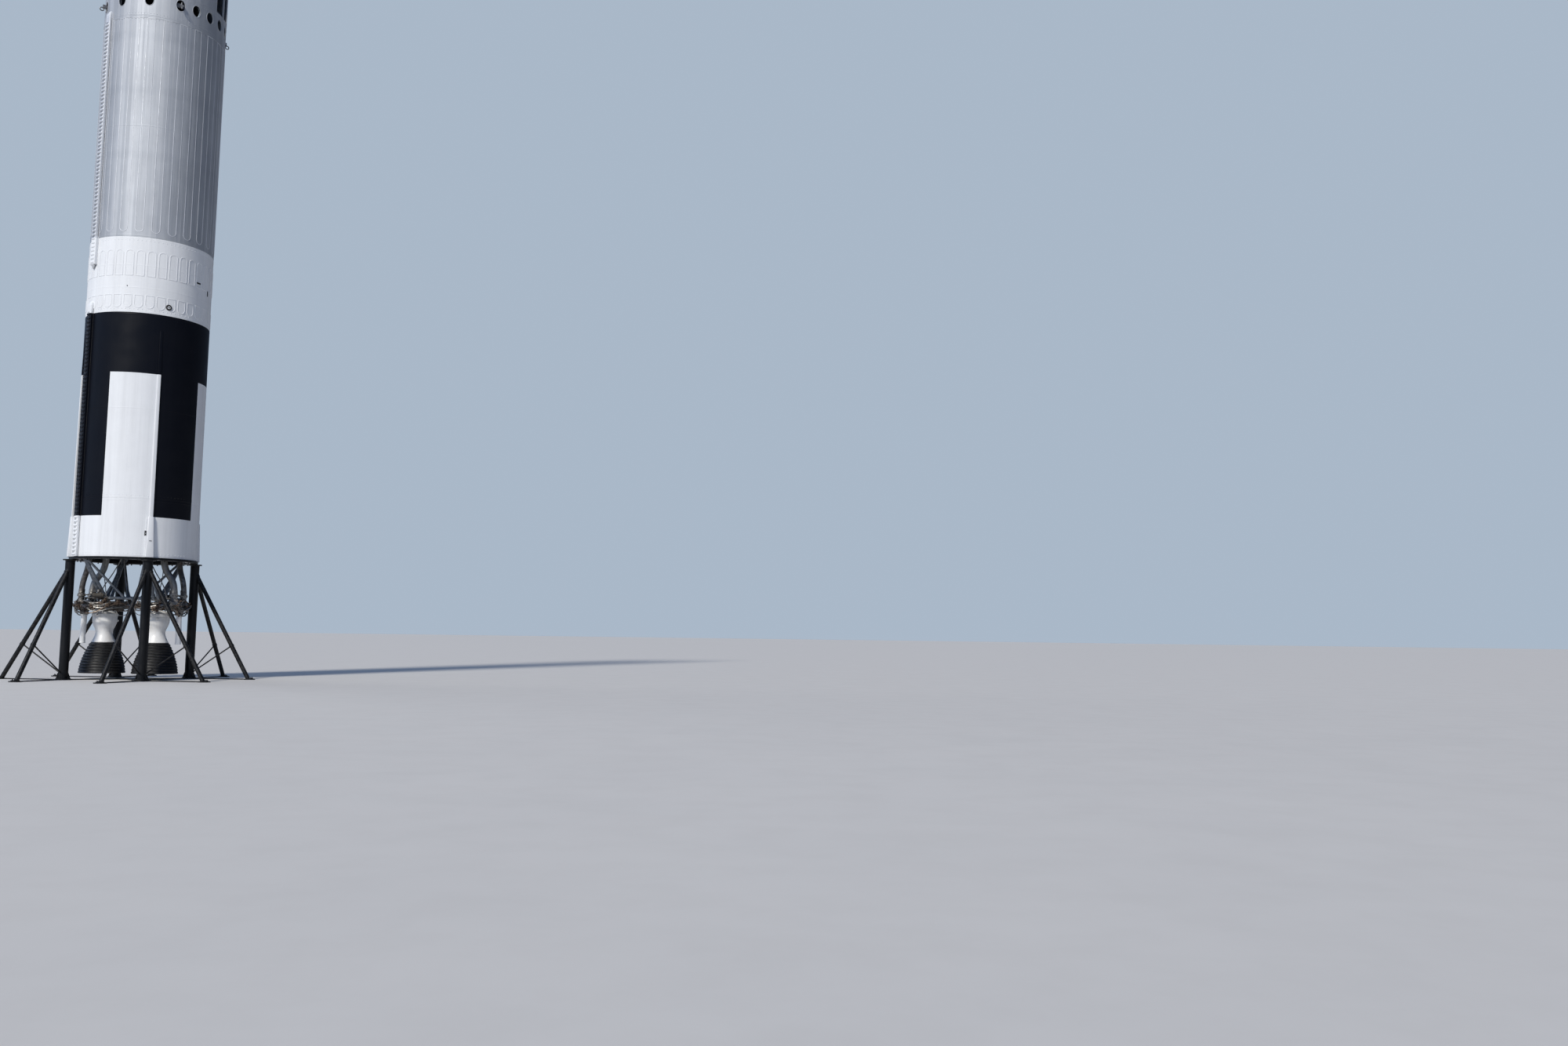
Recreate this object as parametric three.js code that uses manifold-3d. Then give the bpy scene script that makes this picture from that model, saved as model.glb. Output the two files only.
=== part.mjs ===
// Two-stage liquid-fuel rocket with a small crew spacecraft, upright on a four-legged display stand.
// Millimetres, +Z up. The origin is at the middle of the stand's base, on the ground.
// The two main engines lie along X, and the four longerons and stand legs lie at 45 degrees to them.
import * as THREE from "three";
import { mergeVertices } from "three/addons/utils/BufferGeometryUtils.js";
import Module from "manifold-3d";

const wasm = await Module();
wasm.setup();

const GAP = 0.3; // between pieces that touch
const SKIRT_Z = 3200; // height of the skirt's lower edge above the ground
const BODY_R = 1524; // outer radius of both stages
const WALL = 50; // thickness of the open skirts' walls
const ROUND = 48; // sides of the large round pieces
const SMALL = 12; // sides of tubes and small round pieces
const SLIM = 8; // sides of slim tubes
const NECK_SIDES = 32; // sides of the spacecraft's slim upper sections
const TAU = Math.PI * 2;
const LEG_ANGLES = [45, 135, 225, 315];
const UP = new THREE.Vector3(0, 0, 1);

const MATERIALS = {
  black_steel: { color: 0x14161a, roughness: 0.45, metalness: 0.1 },
  white_paint: { color: 0xe6e8ea, roughness: 0.45, metalness: 0.0 },
  black_paint: { color: 0x10131c, roughness: 0.4, metalness: 0.0 },
  bare_aluminium: { color: 0xb9bdc2, roughness: 0.38, metalness: 0.9 },
  engine_metal: { color: 0x8a8680, roughness: 0.5, metalness: 0.8 },
  bell_black: { color: 0x17181b, roughness: 0.6, metalness: 0.1 },
  cabin_dark: { color: 0x1b1d22, roughness: 0.55, metalness: 0.3 },
  window_glass: { color: 0x20262c, roughness: 0.1, metalness: 0.0 },
  seat_cloth: { color: 0x5d6356, roughness: 0.9, metalness: 0.0 },
  panel_grey: { color: 0x6f7478, roughness: 0.6, metalness: 0.0 },
};

const rocket = new THREE.Group();

// Turning and placing.
const rad = THREE.MathUtils.degToRad;
const at = (radius, degrees, z) =>
  new THREE.Vector3(radius * Math.cos(rad(degrees)), radius * Math.sin(rad(degrees)), z);
const vec = (x, y, z) => new THREE.Vector3(x, y, z);

// A three.js geometry as a solid: shared corners merged and flat triangles dropped.
function solidOf(geometry) {
  const bare = geometry.index ? geometry.toNonIndexed() : geometry.clone();
  bare.deleteAttribute("normal");
  bare.deleteAttribute("uv");
  const merged = mergeVertices(bare, 1e-3);
  const corners = [];
  for (let i = 0; i < merged.index.count; i += 3) {
    const [a, b, c] = [0, 1, 2].map((k) => merged.index.getX(i + k));
    if (a !== b && b !== c && a !== c) corners.push(a, b, c);
  }
  const make = (list) =>
    new wasm.Manifold(
      new wasm.Mesh({
        numProp: 3,
        vertProperties: new Float32Array(merged.attributes.position.array),
        triVerts: new Uint32Array(list),
      }),
    );
  const made = make(corners);
  if (made.volume() > 0) return made;
  for (let i = 0; i < corners.length; i += 3)
    [corners[i + 1], corners[i + 2]] = [corners[i + 2], corners[i + 1]];
  return make(corners);
}

function geometryOf(solid) {
  const mesh = solid.getMesh();
  const geometry = new THREE.BufferGeometry();
  geometry.setAttribute("position", new THREE.BufferAttribute(new Float32Array(mesh.vertProperties), 3));
  geometry.setIndex(new THREE.BufferAttribute(new Uint32Array(mesh.triVerts), 1));
  geometry.computeVertexNormals();
  return geometry;
}

const join = (...solids) => solids.flat().reduce((sum, next) => sum.add(next));
const cut = (solid, ...tools) => tools.flat().reduce((rest, tool) => rest.subtract(tool), solid);
const common = (...solids) => solids.flat().reduce((rest, next) => rest.intersect(next));
// The largest of the pieces that a cut leaves.
const largest = (solid) =>
  solid.decompose().reduce((best, next) => (next.volume() > best.volume() ? next : best));

// A body of revolution about Z from [radius, height] points, closed on the axis or on itself.
function lathe(profile, sides = ROUND) {
  const points = profile.map(([r, z]) => new THREE.Vector2(r, z));
  if (profile[0][0] > 0) points.push(points[0].clone());
  return solidOf(new THREE.LatheGeometry(points, sides).rotateX(Math.PI / 2));
}

const ring = (outer, inner, z0, z1, sides = ROUND) =>
  lathe([[inner, z0], [outer, z0], [outer, z1], [inner, z1]], sides);
const drum = (radius, z0, z1, sides = ROUND) =>
  lathe([[0, z0], [radius, z0], [radius, z1], [0, z1]], sides);

// A box by its lowest and highest corners, turned about Z by degrees.
function box(x0, x1, y0, y1, z0, z1, degrees = 0) {
  const geometry = new THREE.BoxGeometry(x1 - x0, y1 - y0, z1 - z0);
  geometry.translate((x0 + x1) / 2, (y0 + y1) / 2, (z0 + z1) / 2);
  return solidOf(geometry.rotateZ(rad(degrees)));
}

// A round bar between two points; the radius may change from one end to the other.
function bar(from, to, radius, sides = SMALL, endRadius = radius) {
  const axis = to.clone().sub(from);
  const geometry = new THREE.CylinderGeometry(endRadius, radius, axis.length(), sides);
  geometry.rotateX(Math.PI / 2);
  geometry.applyQuaternion(new THREE.Quaternion().setFromUnitVectors(UP, axis.clone().normalize()));
  return solidOf(geometry.translate(...from.clone().add(to).multiplyScalar(0.5).toArray()));
}

// A round pipe along a smooth line through points.
function pipe(points, radius, steps, sides = 12) {
  const outline = new THREE.Shape();
  for (let i = 0; i < sides; i += 1) {
    const a = (TAU * i) / sides;
    if (i === 0) outline.moveTo(radius * Math.cos(a), radius * Math.sin(a));
    else outline.lineTo(radius * Math.cos(a), radius * Math.sin(a));
  }
  const path = new THREE.CatmullRomCurve3(points, false, "centripetal");
  return solidOf(
    new THREE.ExtrudeGeometry(outline, { steps, bevelEnabled: false, extrudePath: path }),
  );
}

// A solid through rings of corners, all with the same count, closed at both ends.
function loft(rings) {
  const count = rings[0].length;
  const positions = rings.flat().flatMap((p) => p.toArray());
  const faces = [];
  for (let k = 0; k + 1 < rings.length; k += 1)
    for (let i = 0; i < count; i += 1) {
      const [a, b] = [k * count + i, k * count + ((i + 1) % count)];
      faces.push(a, b, b + count, a, b + count, a + count);
    }
  const last = (rings.length - 1) * count;
  for (let i = 1; i + 1 < count; i += 1) {
    faces.push(0, i + 1, i);
    faces.push(last, last + i, last + i + 1);
  }
  const geometry = new THREE.BufferGeometry();
  geometry.setAttribute("position", new THREE.Float32BufferAttribute(positions, 3));
  geometry.setIndex(faces);
  return solidOf(geometry);
}

// All that lies on the side of a plane that its normal points to.
function halfSpace(point, normal, size = 6000) {
  const geometry = new THREE.BoxGeometry(size, size, size).translate(0, 0, size / 2);
  geometry.applyQuaternion(new THREE.Quaternion().setFromUnitVectors(UP, normal.clone().normalize()));
  return solidOf(geometry.translate(point.x, point.y, point.z));
}

function turned(solid, degrees) {
  return solidOf(geometryOf(solid).rotateZ(rad(degrees)));
}

function add(name, solid, material) {
  const look = new THREE.MeshStandardMaterial(MATERIALS[material]);
  const mesh = new THREE.Mesh(geometryOf(solid), look);
  mesh.name = name;
  rocket.add(mesh);
}

// Everything outside the skin, so that what lies on it is cut to its curve.
const skin = (z0, z1) => drum(BODY_R + GAP, z0, z1);

// The stand.
const LEG_R = 1530; // from the rocket's axis to a leg's
const POST_R = 115;
const RAKER_R = 55;
const RAKER_TOP = 2950;
const FOOT_R = 3020;
const FOOT_SPREAD = 23.4; // degrees to each side of its leg
const BASE_THICK = 25;
const BASE = { hub: 250, armHalf: 80, tieHalf: 45, legPlateR: 230, footPlateR: 150 };
const FLANGE = { wider: 60, thick: 30 }; // at both ends of a post
const BRACE = { r: 18, foot: 120, reach: 0.32 }; // from a post's foot to this share of the raker
const FOOT = { r: 100, thick: 20, sunk: 40 }; // the raker's lower end is cut off level
const RING = { wider: 36, inner: 1300, thick: 60, top: SKIRT_Z - GAP };

function makeStand() {
  const { hub, armHalf, tieHalf } = BASE;
  const bars = [box(-hub, hub, -hub, hub, 0, BASE_THICK)];
  for (const angle of LEG_ANGLES) {
    const leg = at(LEG_R, angle, 0);
    bars.push(box(0, LEG_R, -armHalf, armHalf, 0, BASE_THICK, angle));
    bars.push(drum(BASE.legPlateR, 0, BASE_THICK, SLIM).translate(leg.x, leg.y, 0));
    for (const side of [-1, 1]) {
      const foot = at(FOOT_R, angle + side * FOOT_SPREAD, 0);
      const way = foot.clone().sub(leg);
      const heading = THREE.MathUtils.radToDeg(Math.atan2(way.y, way.x));
      const tie = box(0, way.length(), -tieHalf, tieHalf, 0, BASE_THICK, heading);
      bars.push(tie.translate(leg.x, leg.y, 0));
      bars.push(drum(BASE.footPlateR, 0, BASE_THICK, SLIM).translate(foot.x, foot.y, 0));
    }
  }
  add("stand_base", join(bars), "black_steel");

  const legFoot = BASE_THICK + GAP;
  const legTop = RING.top - RING.thick - GAP;
  LEG_ANGLES.forEach((angle, i) => {
    const post = at(LEG_R, angle, legFoot);
    const pieces = [
      drum(POST_R, legFoot, legTop, SMALL),
      drum(POST_R + FLANGE.wider, legTop - FLANGE.thick, legTop, SMALL),
      drum(POST_R + FLANGE.wider, legFoot, legFoot + FLANGE.thick, SMALL),
    ].map((piece) => piece.translate(post.x, post.y, 0));
    for (const side of [-1, 1]) {
      const foot = at(FOOT_R, angle + side * FOOT_SPREAD, -FOOT.sunk);
      const top = at(LEG_R, angle, RAKER_TOP);
      pieces.push(bar(foot, top, RAKER_R, SLIM));
      pieces.push(bar(at(LEG_R, angle, BRACE.foot), foot.clone().lerp(top, BRACE.reach), BRACE.r, 6));
      pieces.push(drum(FOOT.r, legFoot, legFoot + FOOT.thick, SLIM).translate(foot.x, foot.y, 0));
    }
    const leg = common(join(pieces), halfSpace(vec(post.x, post.y, legFoot), UP));
    add(`stand_leg_${i + 1}`, leg, "black_steel");
  });

  add("stand_ring", ring(BODY_R + RING.wider, RING.inner, RING.top - RING.thick, RING.top), "black_steel");
}

// The two stages' barrels. Heights are above the skirt's lower edge.
const H = {
  skirtTop: 1520,
  fuelTop: 6430,
  betweenTop: 8460,
  oxidizerTop: 14530,
  ventTop: 15240,
  interstageTop: 18420,
  fuel2Top: 20170,
  between2Top: 21340,
  oxidizer2Top: 22970,
  launcherTop: 24070,
};
const TANK_CONE = { apex: 520, tipR: 260, edge: 1380, edgeR: 1400 };

const tankCone = (grow = 0) =>
  lathe([
    [0, SKIRT_Z + TANK_CONE.apex - grow],
    [TANK_CONE.tipR + grow, SKIRT_Z + TANK_CONE.apex - grow],
    [TANK_CONE.edgeR + grow, SKIRT_Z + TANK_CONE.edge - grow],
    [TANK_CONE.edgeR + grow, SKIRT_Z + H.skirtTop + 100],
    [0, SKIRT_Z + H.skirtTop + 100],
  ]);

// A tank barrel with a dome of radius domeR that stands out by rise (down if it is negative).
function domedBarrel(h0, h1, rise, domeR) {
  const [z0, z1] = [SKIRT_Z + h0, SKIRT_Z + h1 - GAP];
  const cap = [];
  for (let i = 0; i <= 3; i += 1) {
    const a = rad(30 * i);
    cap.push([domeR * Math.cos(a), Math.abs(rise) * Math.sin(a)]);
  }
  cap[3][0] = 0;
  if (rise > 0)
    return lathe([[0, z0], [BODY_R, z0], [BODY_R, z1], ...cap.map(([r, up]) => [r, z1 + up])]);
  return lathe([...cap.reverse().map(([r, up]) => [r, z0 - up]), [BODY_R, z0], [BODY_R, z1], [0, z1]]);
}

// Angles of the oval vent holes in one half of the forward skirt; the other half repeats them.
const VENT_ANGLES = [-45, -29, -13, 3, 19, 48, 77, 106];
const VENT = { height: 14990, halfWide: 110, halfTall: 155 };
const LUG_ANGLES = [-45, 48, 135, 228]; // the vents that the stay lugs come out of

function ovalHole(angle) {
  const hole = new THREE.CylinderGeometry(1, 1, WALL * 8, SLIM).rotateZ(Math.PI / 2);
  hole.scale(1, VENT.halfWide, VENT.halfTall);
  hole.translate(BODY_R, 0, SKIRT_Z + VENT.height).rotateZ(rad(angle));
  return solidOf(hole);
}

const LUG_PLATE = { out: 105, half: 12, halfTall: 60, root: 30 };
const SHACKLE = { pinOut: 80, pinDown: 28, pinR: 15, halfWide: 48, out: 120, down: 78, bowR: 46, barR: 14 };

// A plate out of the vent hole with a bow shackle on its end, hanging from its pin.
function stayLug(angle) {
  const z = SKIRT_Z + VENT.height;
  const { out, half, halfTall, root } = LUG_PLATE;
  const [pinX, pinZ] = [BODY_R + SHACKLE.pinOut, z - SHACKLE.pinDown];
  const backing = VENT.halfWide + root;
  const bow = new THREE.TorusGeometry(SHACKLE.bowR, SHACKLE.barR, 5, 9).rotateX(Math.PI / 2);
  bow.translate(BODY_R + SHACKLE.out, 0, z - SHACKLE.down);
  return turned(
    join(
      box(BODY_R - WALL + 10, BODY_R + out, -half, half, z - halfTall, z + halfTall),
      box(BODY_R - WALL + 5, BODY_R - WALL + root, -backing, backing, z - halfTall, z + halfTall),
      bar(vec(pinX, -SHACKLE.halfWide, pinZ), vec(pinX, SHACKLE.halfWide, pinZ), SHACKLE.pinR, SLIM),
      solidOf(bow),
    ),
    angle,
  );
}

// Tall openings round the interstage: groups of three, each opening 13 degrees wide.
const PORT = { bottom: 15300, top: 17000, wideDeg: 13, pitchDeg: 16, inGroup: 3, groups: 4, firstDeg: 2.5 };

function makeStages() {
  const z = (h) => SKIRT_Z + h;
  add("aft_skirt", ring(BODY_R, BODY_R - WALL, z(0), z(H.skirtTop) - GAP), "white_paint");
  const fuelBarrel = drum(BODY_R, z(H.skirtTop), z(H.fuelTop) - GAP);
  add("fuel_tank_1", join(tankCone(), fuelBarrel), "black_paint");
  add("between_tanks_1", drum(BODY_R, z(H.fuelTop), z(H.betweenTop) - GAP), "white_paint");
  add("oxidizer_tank_1", domedBarrel(H.betweenTop, H.oxidizerTop, 520, 1430), "bare_aluminium");

  const vents = [...VENT_ANGLES, ...VENT_ANGLES.map((a) => a + 180)];
  const ventRing = cut(
    ring(BODY_R, BODY_R - WALL, z(H.oxidizerTop), z(H.ventTop) - GAP),
    vents.map(ovalHole),
  );
  add("vent_skirt", join(ventRing, LUG_ANGLES.map(stayLug)), "bare_aluminium");

  const half = BODY_R * Math.sin(rad(PORT.wideDeg / 2));
  const ports = [];
  for (let g = 0; g < PORT.groups; g += 1)
    for (let i = 0; i < PORT.inGroup; i += 1) {
      const angle = PORT.firstDeg + (g * 360) / PORT.groups + i * PORT.pitchDeg;
      ports.push(box(BODY_R - 200, BODY_R + 200, -half, half, z(PORT.bottom), z(PORT.top), angle));
    }
  const shell = ring(BODY_R, BODY_R - WALL, z(H.ventTop), z(H.interstageTop) - GAP);
  add("interstage", cut(shell, ports), "bare_aluminium");

  add("fuel_tank_2", domedBarrel(H.interstageTop, H.fuel2Top, -180, 1290), "bare_aluminium");
  add("between_tanks_2", drum(BODY_R, z(H.fuel2Top), z(H.between2Top) - GAP), "bare_aluminium");
  add("oxidizer_tank_2", drum(BODY_R, z(H.between2Top), z(H.oxidizer2Top) - GAP), "bare_aluminium");
  add("forward_skirt_2", drum(BODY_R, z(H.oxidizer2Top), z(H.launcherTop) - GAP), "bare_aluminium");
}

// Longerons on the skirt: a box that flares to the foot, and the slim strip that runs up from it.
const LONGERON_BOX = [
  // height, half width, stands out by
  [0, 95, 95],
  [520, 72, 80],
  [1060, 56, 62],
];
const LONGERON_STRIP = [
  // height, half width, stands out by
  [1040, 42, 46],
  [4830, 40, 26],
  [6000, 36, 6],
];

function makeLongerons() {
  const tapered = (sections) =>
    loft(
      sections.map(([h, half, out]) => {
        const z = SKIRT_Z + h;
        const [inner, outer] = [BODY_R - 30, BODY_R + out];
        return [vec(inner, -half, z), vec(outer, -half, z), vec(outer, half, z), vec(inner, half, z)];
      }),
    );
  const body = join(tapered(LONGERON_BOX), tapered(LONGERON_STRIP));
  LEG_ANGLES.forEach((angle, i) => {
    const trimmed = cut(turned(body, angle), skin(SKIRT_Z - 10, SKIRT_Z + 6100));
    add(`longeron_${i + 1}`, trimmed, "white_paint");
  });
}

// Raceways: covers over cables and lines, down one side of the rocket, with ribs across their fronts.
const RACEWAY = { angle: -120, halfWide: 110, front: 0.7, out: 76 };
const RACEWAY_RIB = { pitch: 450, half: 17, out: 14 };
const RACEWAYS = [
  // name, bottom, top, length of the tapered or rounded upper end
  ["raceway_lower", 4, 6780, 220],
  ["raceway_upper", 7750, 14780, 220],
  ["raceway_stage_2", 18440, 23700, 220],
];

function makeRaceways() {
  for (const [name, bottom, top, taper] of RACEWAYS) {
    const section = (h, scale) => {
      const z = SKIRT_Z + h;
      const [w, out] = [RACEWAY.halfWide * (0.6 + 0.4 * scale), BODY_R + RACEWAY.out * scale];
      const inner = BODY_R - 30;
      return [
        vec(inner, -w, z), vec(out - 18 * scale, -w, z), vec(out, -w * RACEWAY.front, z),
        vec(out, w * RACEWAY.front, z), vec(out - 18 * scale, w, z), vec(inner, w, z),
      ];
    };
    const rings = [[bottom, 1], [top - taper, 1], [top - taper / 3, 0.8], [top, 0.25]].map(([h, scale]) =>
      section(h, scale),
    );
    const ribs = [];
    const { pitch, half, out } = RACEWAY_RIB;
    const [wide, face] = [RACEWAY.halfWide * RACEWAY.front, BODY_R + RACEWAY.out];
    for (let h = bottom + pitch / 2; h < top - taper - half; h += pitch) {
      const z = SKIRT_Z + h;
      ribs.push(box(face - 20, face + out, -wide, wide, z - half, z + half));
    }
    const cover = turned(join(loft(rings), ribs), RACEWAY.angle);
    const trimmed = cut(cover, skin(SKIRT_Z + bottom - 10, SKIRT_Z + top + 10));
    add(name, trimmed, "bare_aluminium");
  }
}

// The main engines. Heights are above the skirt's lower edge, x is out from the rocket's axis.
const ENGINE = { x: 750, gimbal: -1250 };
const BLOCK = 60; // half side of the gimbal block
const LUG = { half: 40, thick: 35, reach: 45 };
const MOUNT = { half: 130, low: 160, high: 260 }; // the block that takes the thrust, above the gimbal
const ACTUATOR = { arm: 330, barrelR: 42, rodR: 18, low: 150, high: 430 };
// The chamber's ear, and the rod's fork over it: half sizes, heights from the gimbal's centre.
const EAR = { half: 28, halfThick: 9, low: -250, top: 28, root: 280, rootTop: -215 };
const FORK = { half: 20, near: 17, far: 27, low: -20, top: 60, bridge: 45 };
const gz = (up) => SKIRT_Z + ENGINE.gimbal + up; // heights from the gimbal's centre

const ARM = { half: 25, root: 100, low: 180, high: 240 }; // from the mount to an actuator's barrel
const ACTUATORS = [
  // name of the rod, degrees round the gimbal's centre
  ["rod_y", 0],
  ["rod_x", 90],
];

// Two lugs on a block's opposite faces, hanging from or standing on what holds them.
function lugPair(alongX, z0, z1) {
  const [near, far, w] = [BLOCK + GAP, BLOCK + GAP + LUG.thick, LUG.half];
  return [-1, 1].map((side) => {
    const [a, b] = [Math.min(side * near, side * far), Math.max(side * near, side * far)];
    return alongX ? box(a, b, -w, w, z0, z1) : box(-w, w, a, b, z0, z1);
  });
}

function mainMount() {
  const { arm, barrelR, rodR, low, high } = ACTUATOR;
  const barrel = join(
    drum(barrelR, gz(low), gz(high), SMALL).translate(arm, 0, 0),
    box(ARM.root, arm, -ARM.half, ARM.half, gz(ARM.low), gz(ARM.high)),
  );
  const bore = drum(rodR + GAP, gz(low) - 10, gz(high) - 30, SMALL).translate(arm, 0, 0);
  const angles = ACTUATORS.map(([, angle]) => angle);
  const whole = join(
    box(-MOUNT.half, MOUNT.half, -MOUNT.half, MOUNT.half, gz(MOUNT.low), gz(MOUNT.high)),
    lugPair(true, gz(-LUG.reach), gz(MOUNT.low) + 10),
    angles.map((angle) => turned(barrel, angle)),
  );
  return cut(whole, angles.map((angle) => turned(bore, angle)));
}

// The frame's pads under the longerons, and its tubes. Heights are above the skirt's lower edge.
const FRAME_PAD = { inner: 1190, outer: 1462, half: 75, high: 130 };
const FRAME_TUBES = [
  // x, y and height of the lower end, radius
  [815, 105, -1050, 42],
  [680, 105, -1050, 42],
  [170, 80, -1035, 32],
];
const CROSS_TUBES = { x: 700, y: 80, h: -1035, r: 38 };

function makeEngineFrame() {
  const pieces = [];
  for (const angle of LEG_ANGLES) {
    const { inner, outer, half, high } = FRAME_PAD;
    pieces.push(box(inner, outer, -half, half, SKIRT_Z, SKIRT_Z + high, angle));
    const start = at(inner + 40, angle, SKIRT_Z + high / 2);
    const [sx, sy] = [Math.sign(start.x), Math.sign(start.y)];
    for (const [x, y, h, r] of FRAME_TUBES)
      pieces.push(bar(start, vec(sx * x, sy * y, SKIRT_Z + h), r, SLIM));
  }
  const { x, y, h, r } = CROSS_TUBES;
  for (const side of [-y, y])
    pieces.push(bar(vec(-x, side, SKIRT_Z + h), vec(x, side, SKIRT_Z + h), r, SLIM));
  pieces.push(mainMount().translate(ENGINE.x, 0, 0));
  pieces.push(turned(mainMount().translate(ENGINE.x, 0, 0), 180));
  add("engine_frame", join(pieces), "engine_metal");
}

// Outer and inner outlines from the gimbal's centre down: [radius, height].
const CHAMBER = {
  outer: [[0, -105], [150, -115], [250, -165], [262, -205], [318, -210], [318, -262], [300, -270],
    [297, -420], [268, -530], [222, -630], [205, -710], [222, -820], [300, -970]],
  inner: [[270, -970], [185, -820], [168, -710], [180, -640], [240, -520], [0, -500]],
  lugRoot: -175,
};
const BELL = {
  outer: [[296, -970.3], [364, -1105], [460, -1340], [526, -1580], [556, -1790]],
  inner: [[526, -1790], [496, -1580], [430, -1340], [334, -1105], [266, -970.3]],
};
const BELL_BAND = { count: 9, out: 10, lip: 6 };

// The radius of an outline at a height, by straight lines between its corners.
function radiusAt(outline, up) {
  const i = outline.findIndex(([, z], k) => k > 0 && z <= up);
  const [[r0, z0], [r1, z1]] = [outline[i - 1], outline[i]];
  return r0 + ((r1 - r0) * (up - z0)) / (z1 - z0);
}

// The bell's outer line with bands on it like tiles, each standing out at its lower edge.
function bandedOutline() {
  const [top, low] = [BELL.outer[0][1], BELL.outer.at(-1)[1]];
  const pitch = (top - low) / BELL_BAND.count;
  const points = [];
  for (let i = 0; i < BELL_BAND.count; i += 1) {
    const upper = top - i * pitch;
    const lower = Math.max(low, upper - pitch);
    points.push([radiusAt(BELL.outer, upper), upper]);
    points.push([radiusAt(BELL.outer, lower) + BELL_BAND.out, lower + BELL_BAND.lip]);
  }
  return [...points, BELL.outer.at(-1)];
}

function gimballedChamber() {
  const base = lathe([...CHAMBER.outer, ...CHAMBER.inner].map(([r, up]) => [r, gz(up)]), 20);
  const pieces = [base, ...lugPair(false, gz(CHAMBER.lugRoot), gz(LUG.reach))];
  const { half, halfThick, low, top, root, rootTop } = EAR;
  const far = ACTUATOR.arm + half;
  const ear = join(
    box(ACTUATOR.arm - half, far, -halfThick, halfThick, gz(low), gz(top)),
    box(root, far, -halfThick, halfThick, gz(low), gz(rootTop)),
  );
  for (const [, angle] of ACTUATORS) pieces.push(turned(ear, angle));
  return join(pieces);
}

function actuatorRod(angle) {
  const { arm, rodR, high } = ACTUATOR;
  const { half, near, far, low, top, bridge } = FORK;
  const rod = join(
    box(arm - half, arm + half, near, far, gz(low), gz(top)),
    box(arm - half, arm + half, -far, -near, gz(low), gz(top)),
    box(arm - half, arm + half, -far, far, gz(bridge), gz(top + 5)),
    drum(rodR, gz(top), gz(high - 90), SMALL).translate(arm, 0, 0),
  );
  return turned(rod, angle);
}

// Pumps, gearbox and turbine beside each chamber, measured from the gimbal's centre.
const PUMP_PIECES = [
  // x, y, z of one end, x, y, z of the other, radius
  [560, -330, 60, 560, -120, 60, 150],
  [560, 120, 40, 560, 330, 40, 140],
  [560, -120, 40, 560, 120, 40, 95],
  [560, -400, 60, 560, -330, 60, 85],
  [560, 330, 40, 560, 400, 40, 80],
  [600, 0, -230, 600, 0, -20, 105],
  [470, -230, -60, 470, 230, -60, 48],
  [130.3, -95, 210, 540, -95, 210, 24],
  [130.3, 95, 210, 540, 95, 210, 24],
  [520, -95, 225, 520, -95, 60, 24],
  [520, 95, 225, 520, 95, 60, 24],
  [560, -225, 60, 560, -225, 300, 92],
  [560, 225, 40, 560, 225, 300, 78],
];
// Lines round the pumps and the chamber's head, clear of what swings: radius, steps and the way in x, y, z.
const PUMP_LINES = [
  {
    r: 30,
    steps: 12,
    way: [[500, -210, 60], [200, -440, 60], [-200, -440, 70], [-440, -150, 90],
      [-440, 150, 90], [-200, 440, 70], [200, 440, 60], [500, 210, 60]],
  },
  {
    r: 20,
    steps: 7,
    way: [[520, -380, 50], [260, -520, -60], [-60, -530, -90], [-320, -400, 0], [-440, -150, 90]],
  },
  {
    r: 20,
    steps: 7,
    way: [[520, 380, 50], [260, 520, -60], [-60, 530, -90], [-320, 400, 0], [-440, 150, 90]],
  },
  { r: 24, steps: 5, way: [[620, 50, -120], [730, 190, -60], [720, 310, 20], [580, 380, 40]] },
  { r: 20, steps: 5, way: [[620, -50, -160], [730, -200, -110], [730, -320, 20], [580, -380, 60]] },
];
const DUCT = { r: 72, way: [[600, 0, -230.3], [600, 0, -420], [612, 0, -700], [612, 0, -1000]] };
const [FEED_STEPS, FEED_SIDES] = [9, 10];
const FEED = {
  oxidizer: {
    y: -225,
    r: 84,
    via: [[560, -225, 420], [520, -240, 640], [330, -300, 1000], [250, -300, 1500]],
  },
  fuel: {
    y: 225,
    r: 70,
    via: [[560, 225, 420], [520, 240, 640], [380, 300, 1000], [330, 300, 1500]],
  },
};

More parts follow.
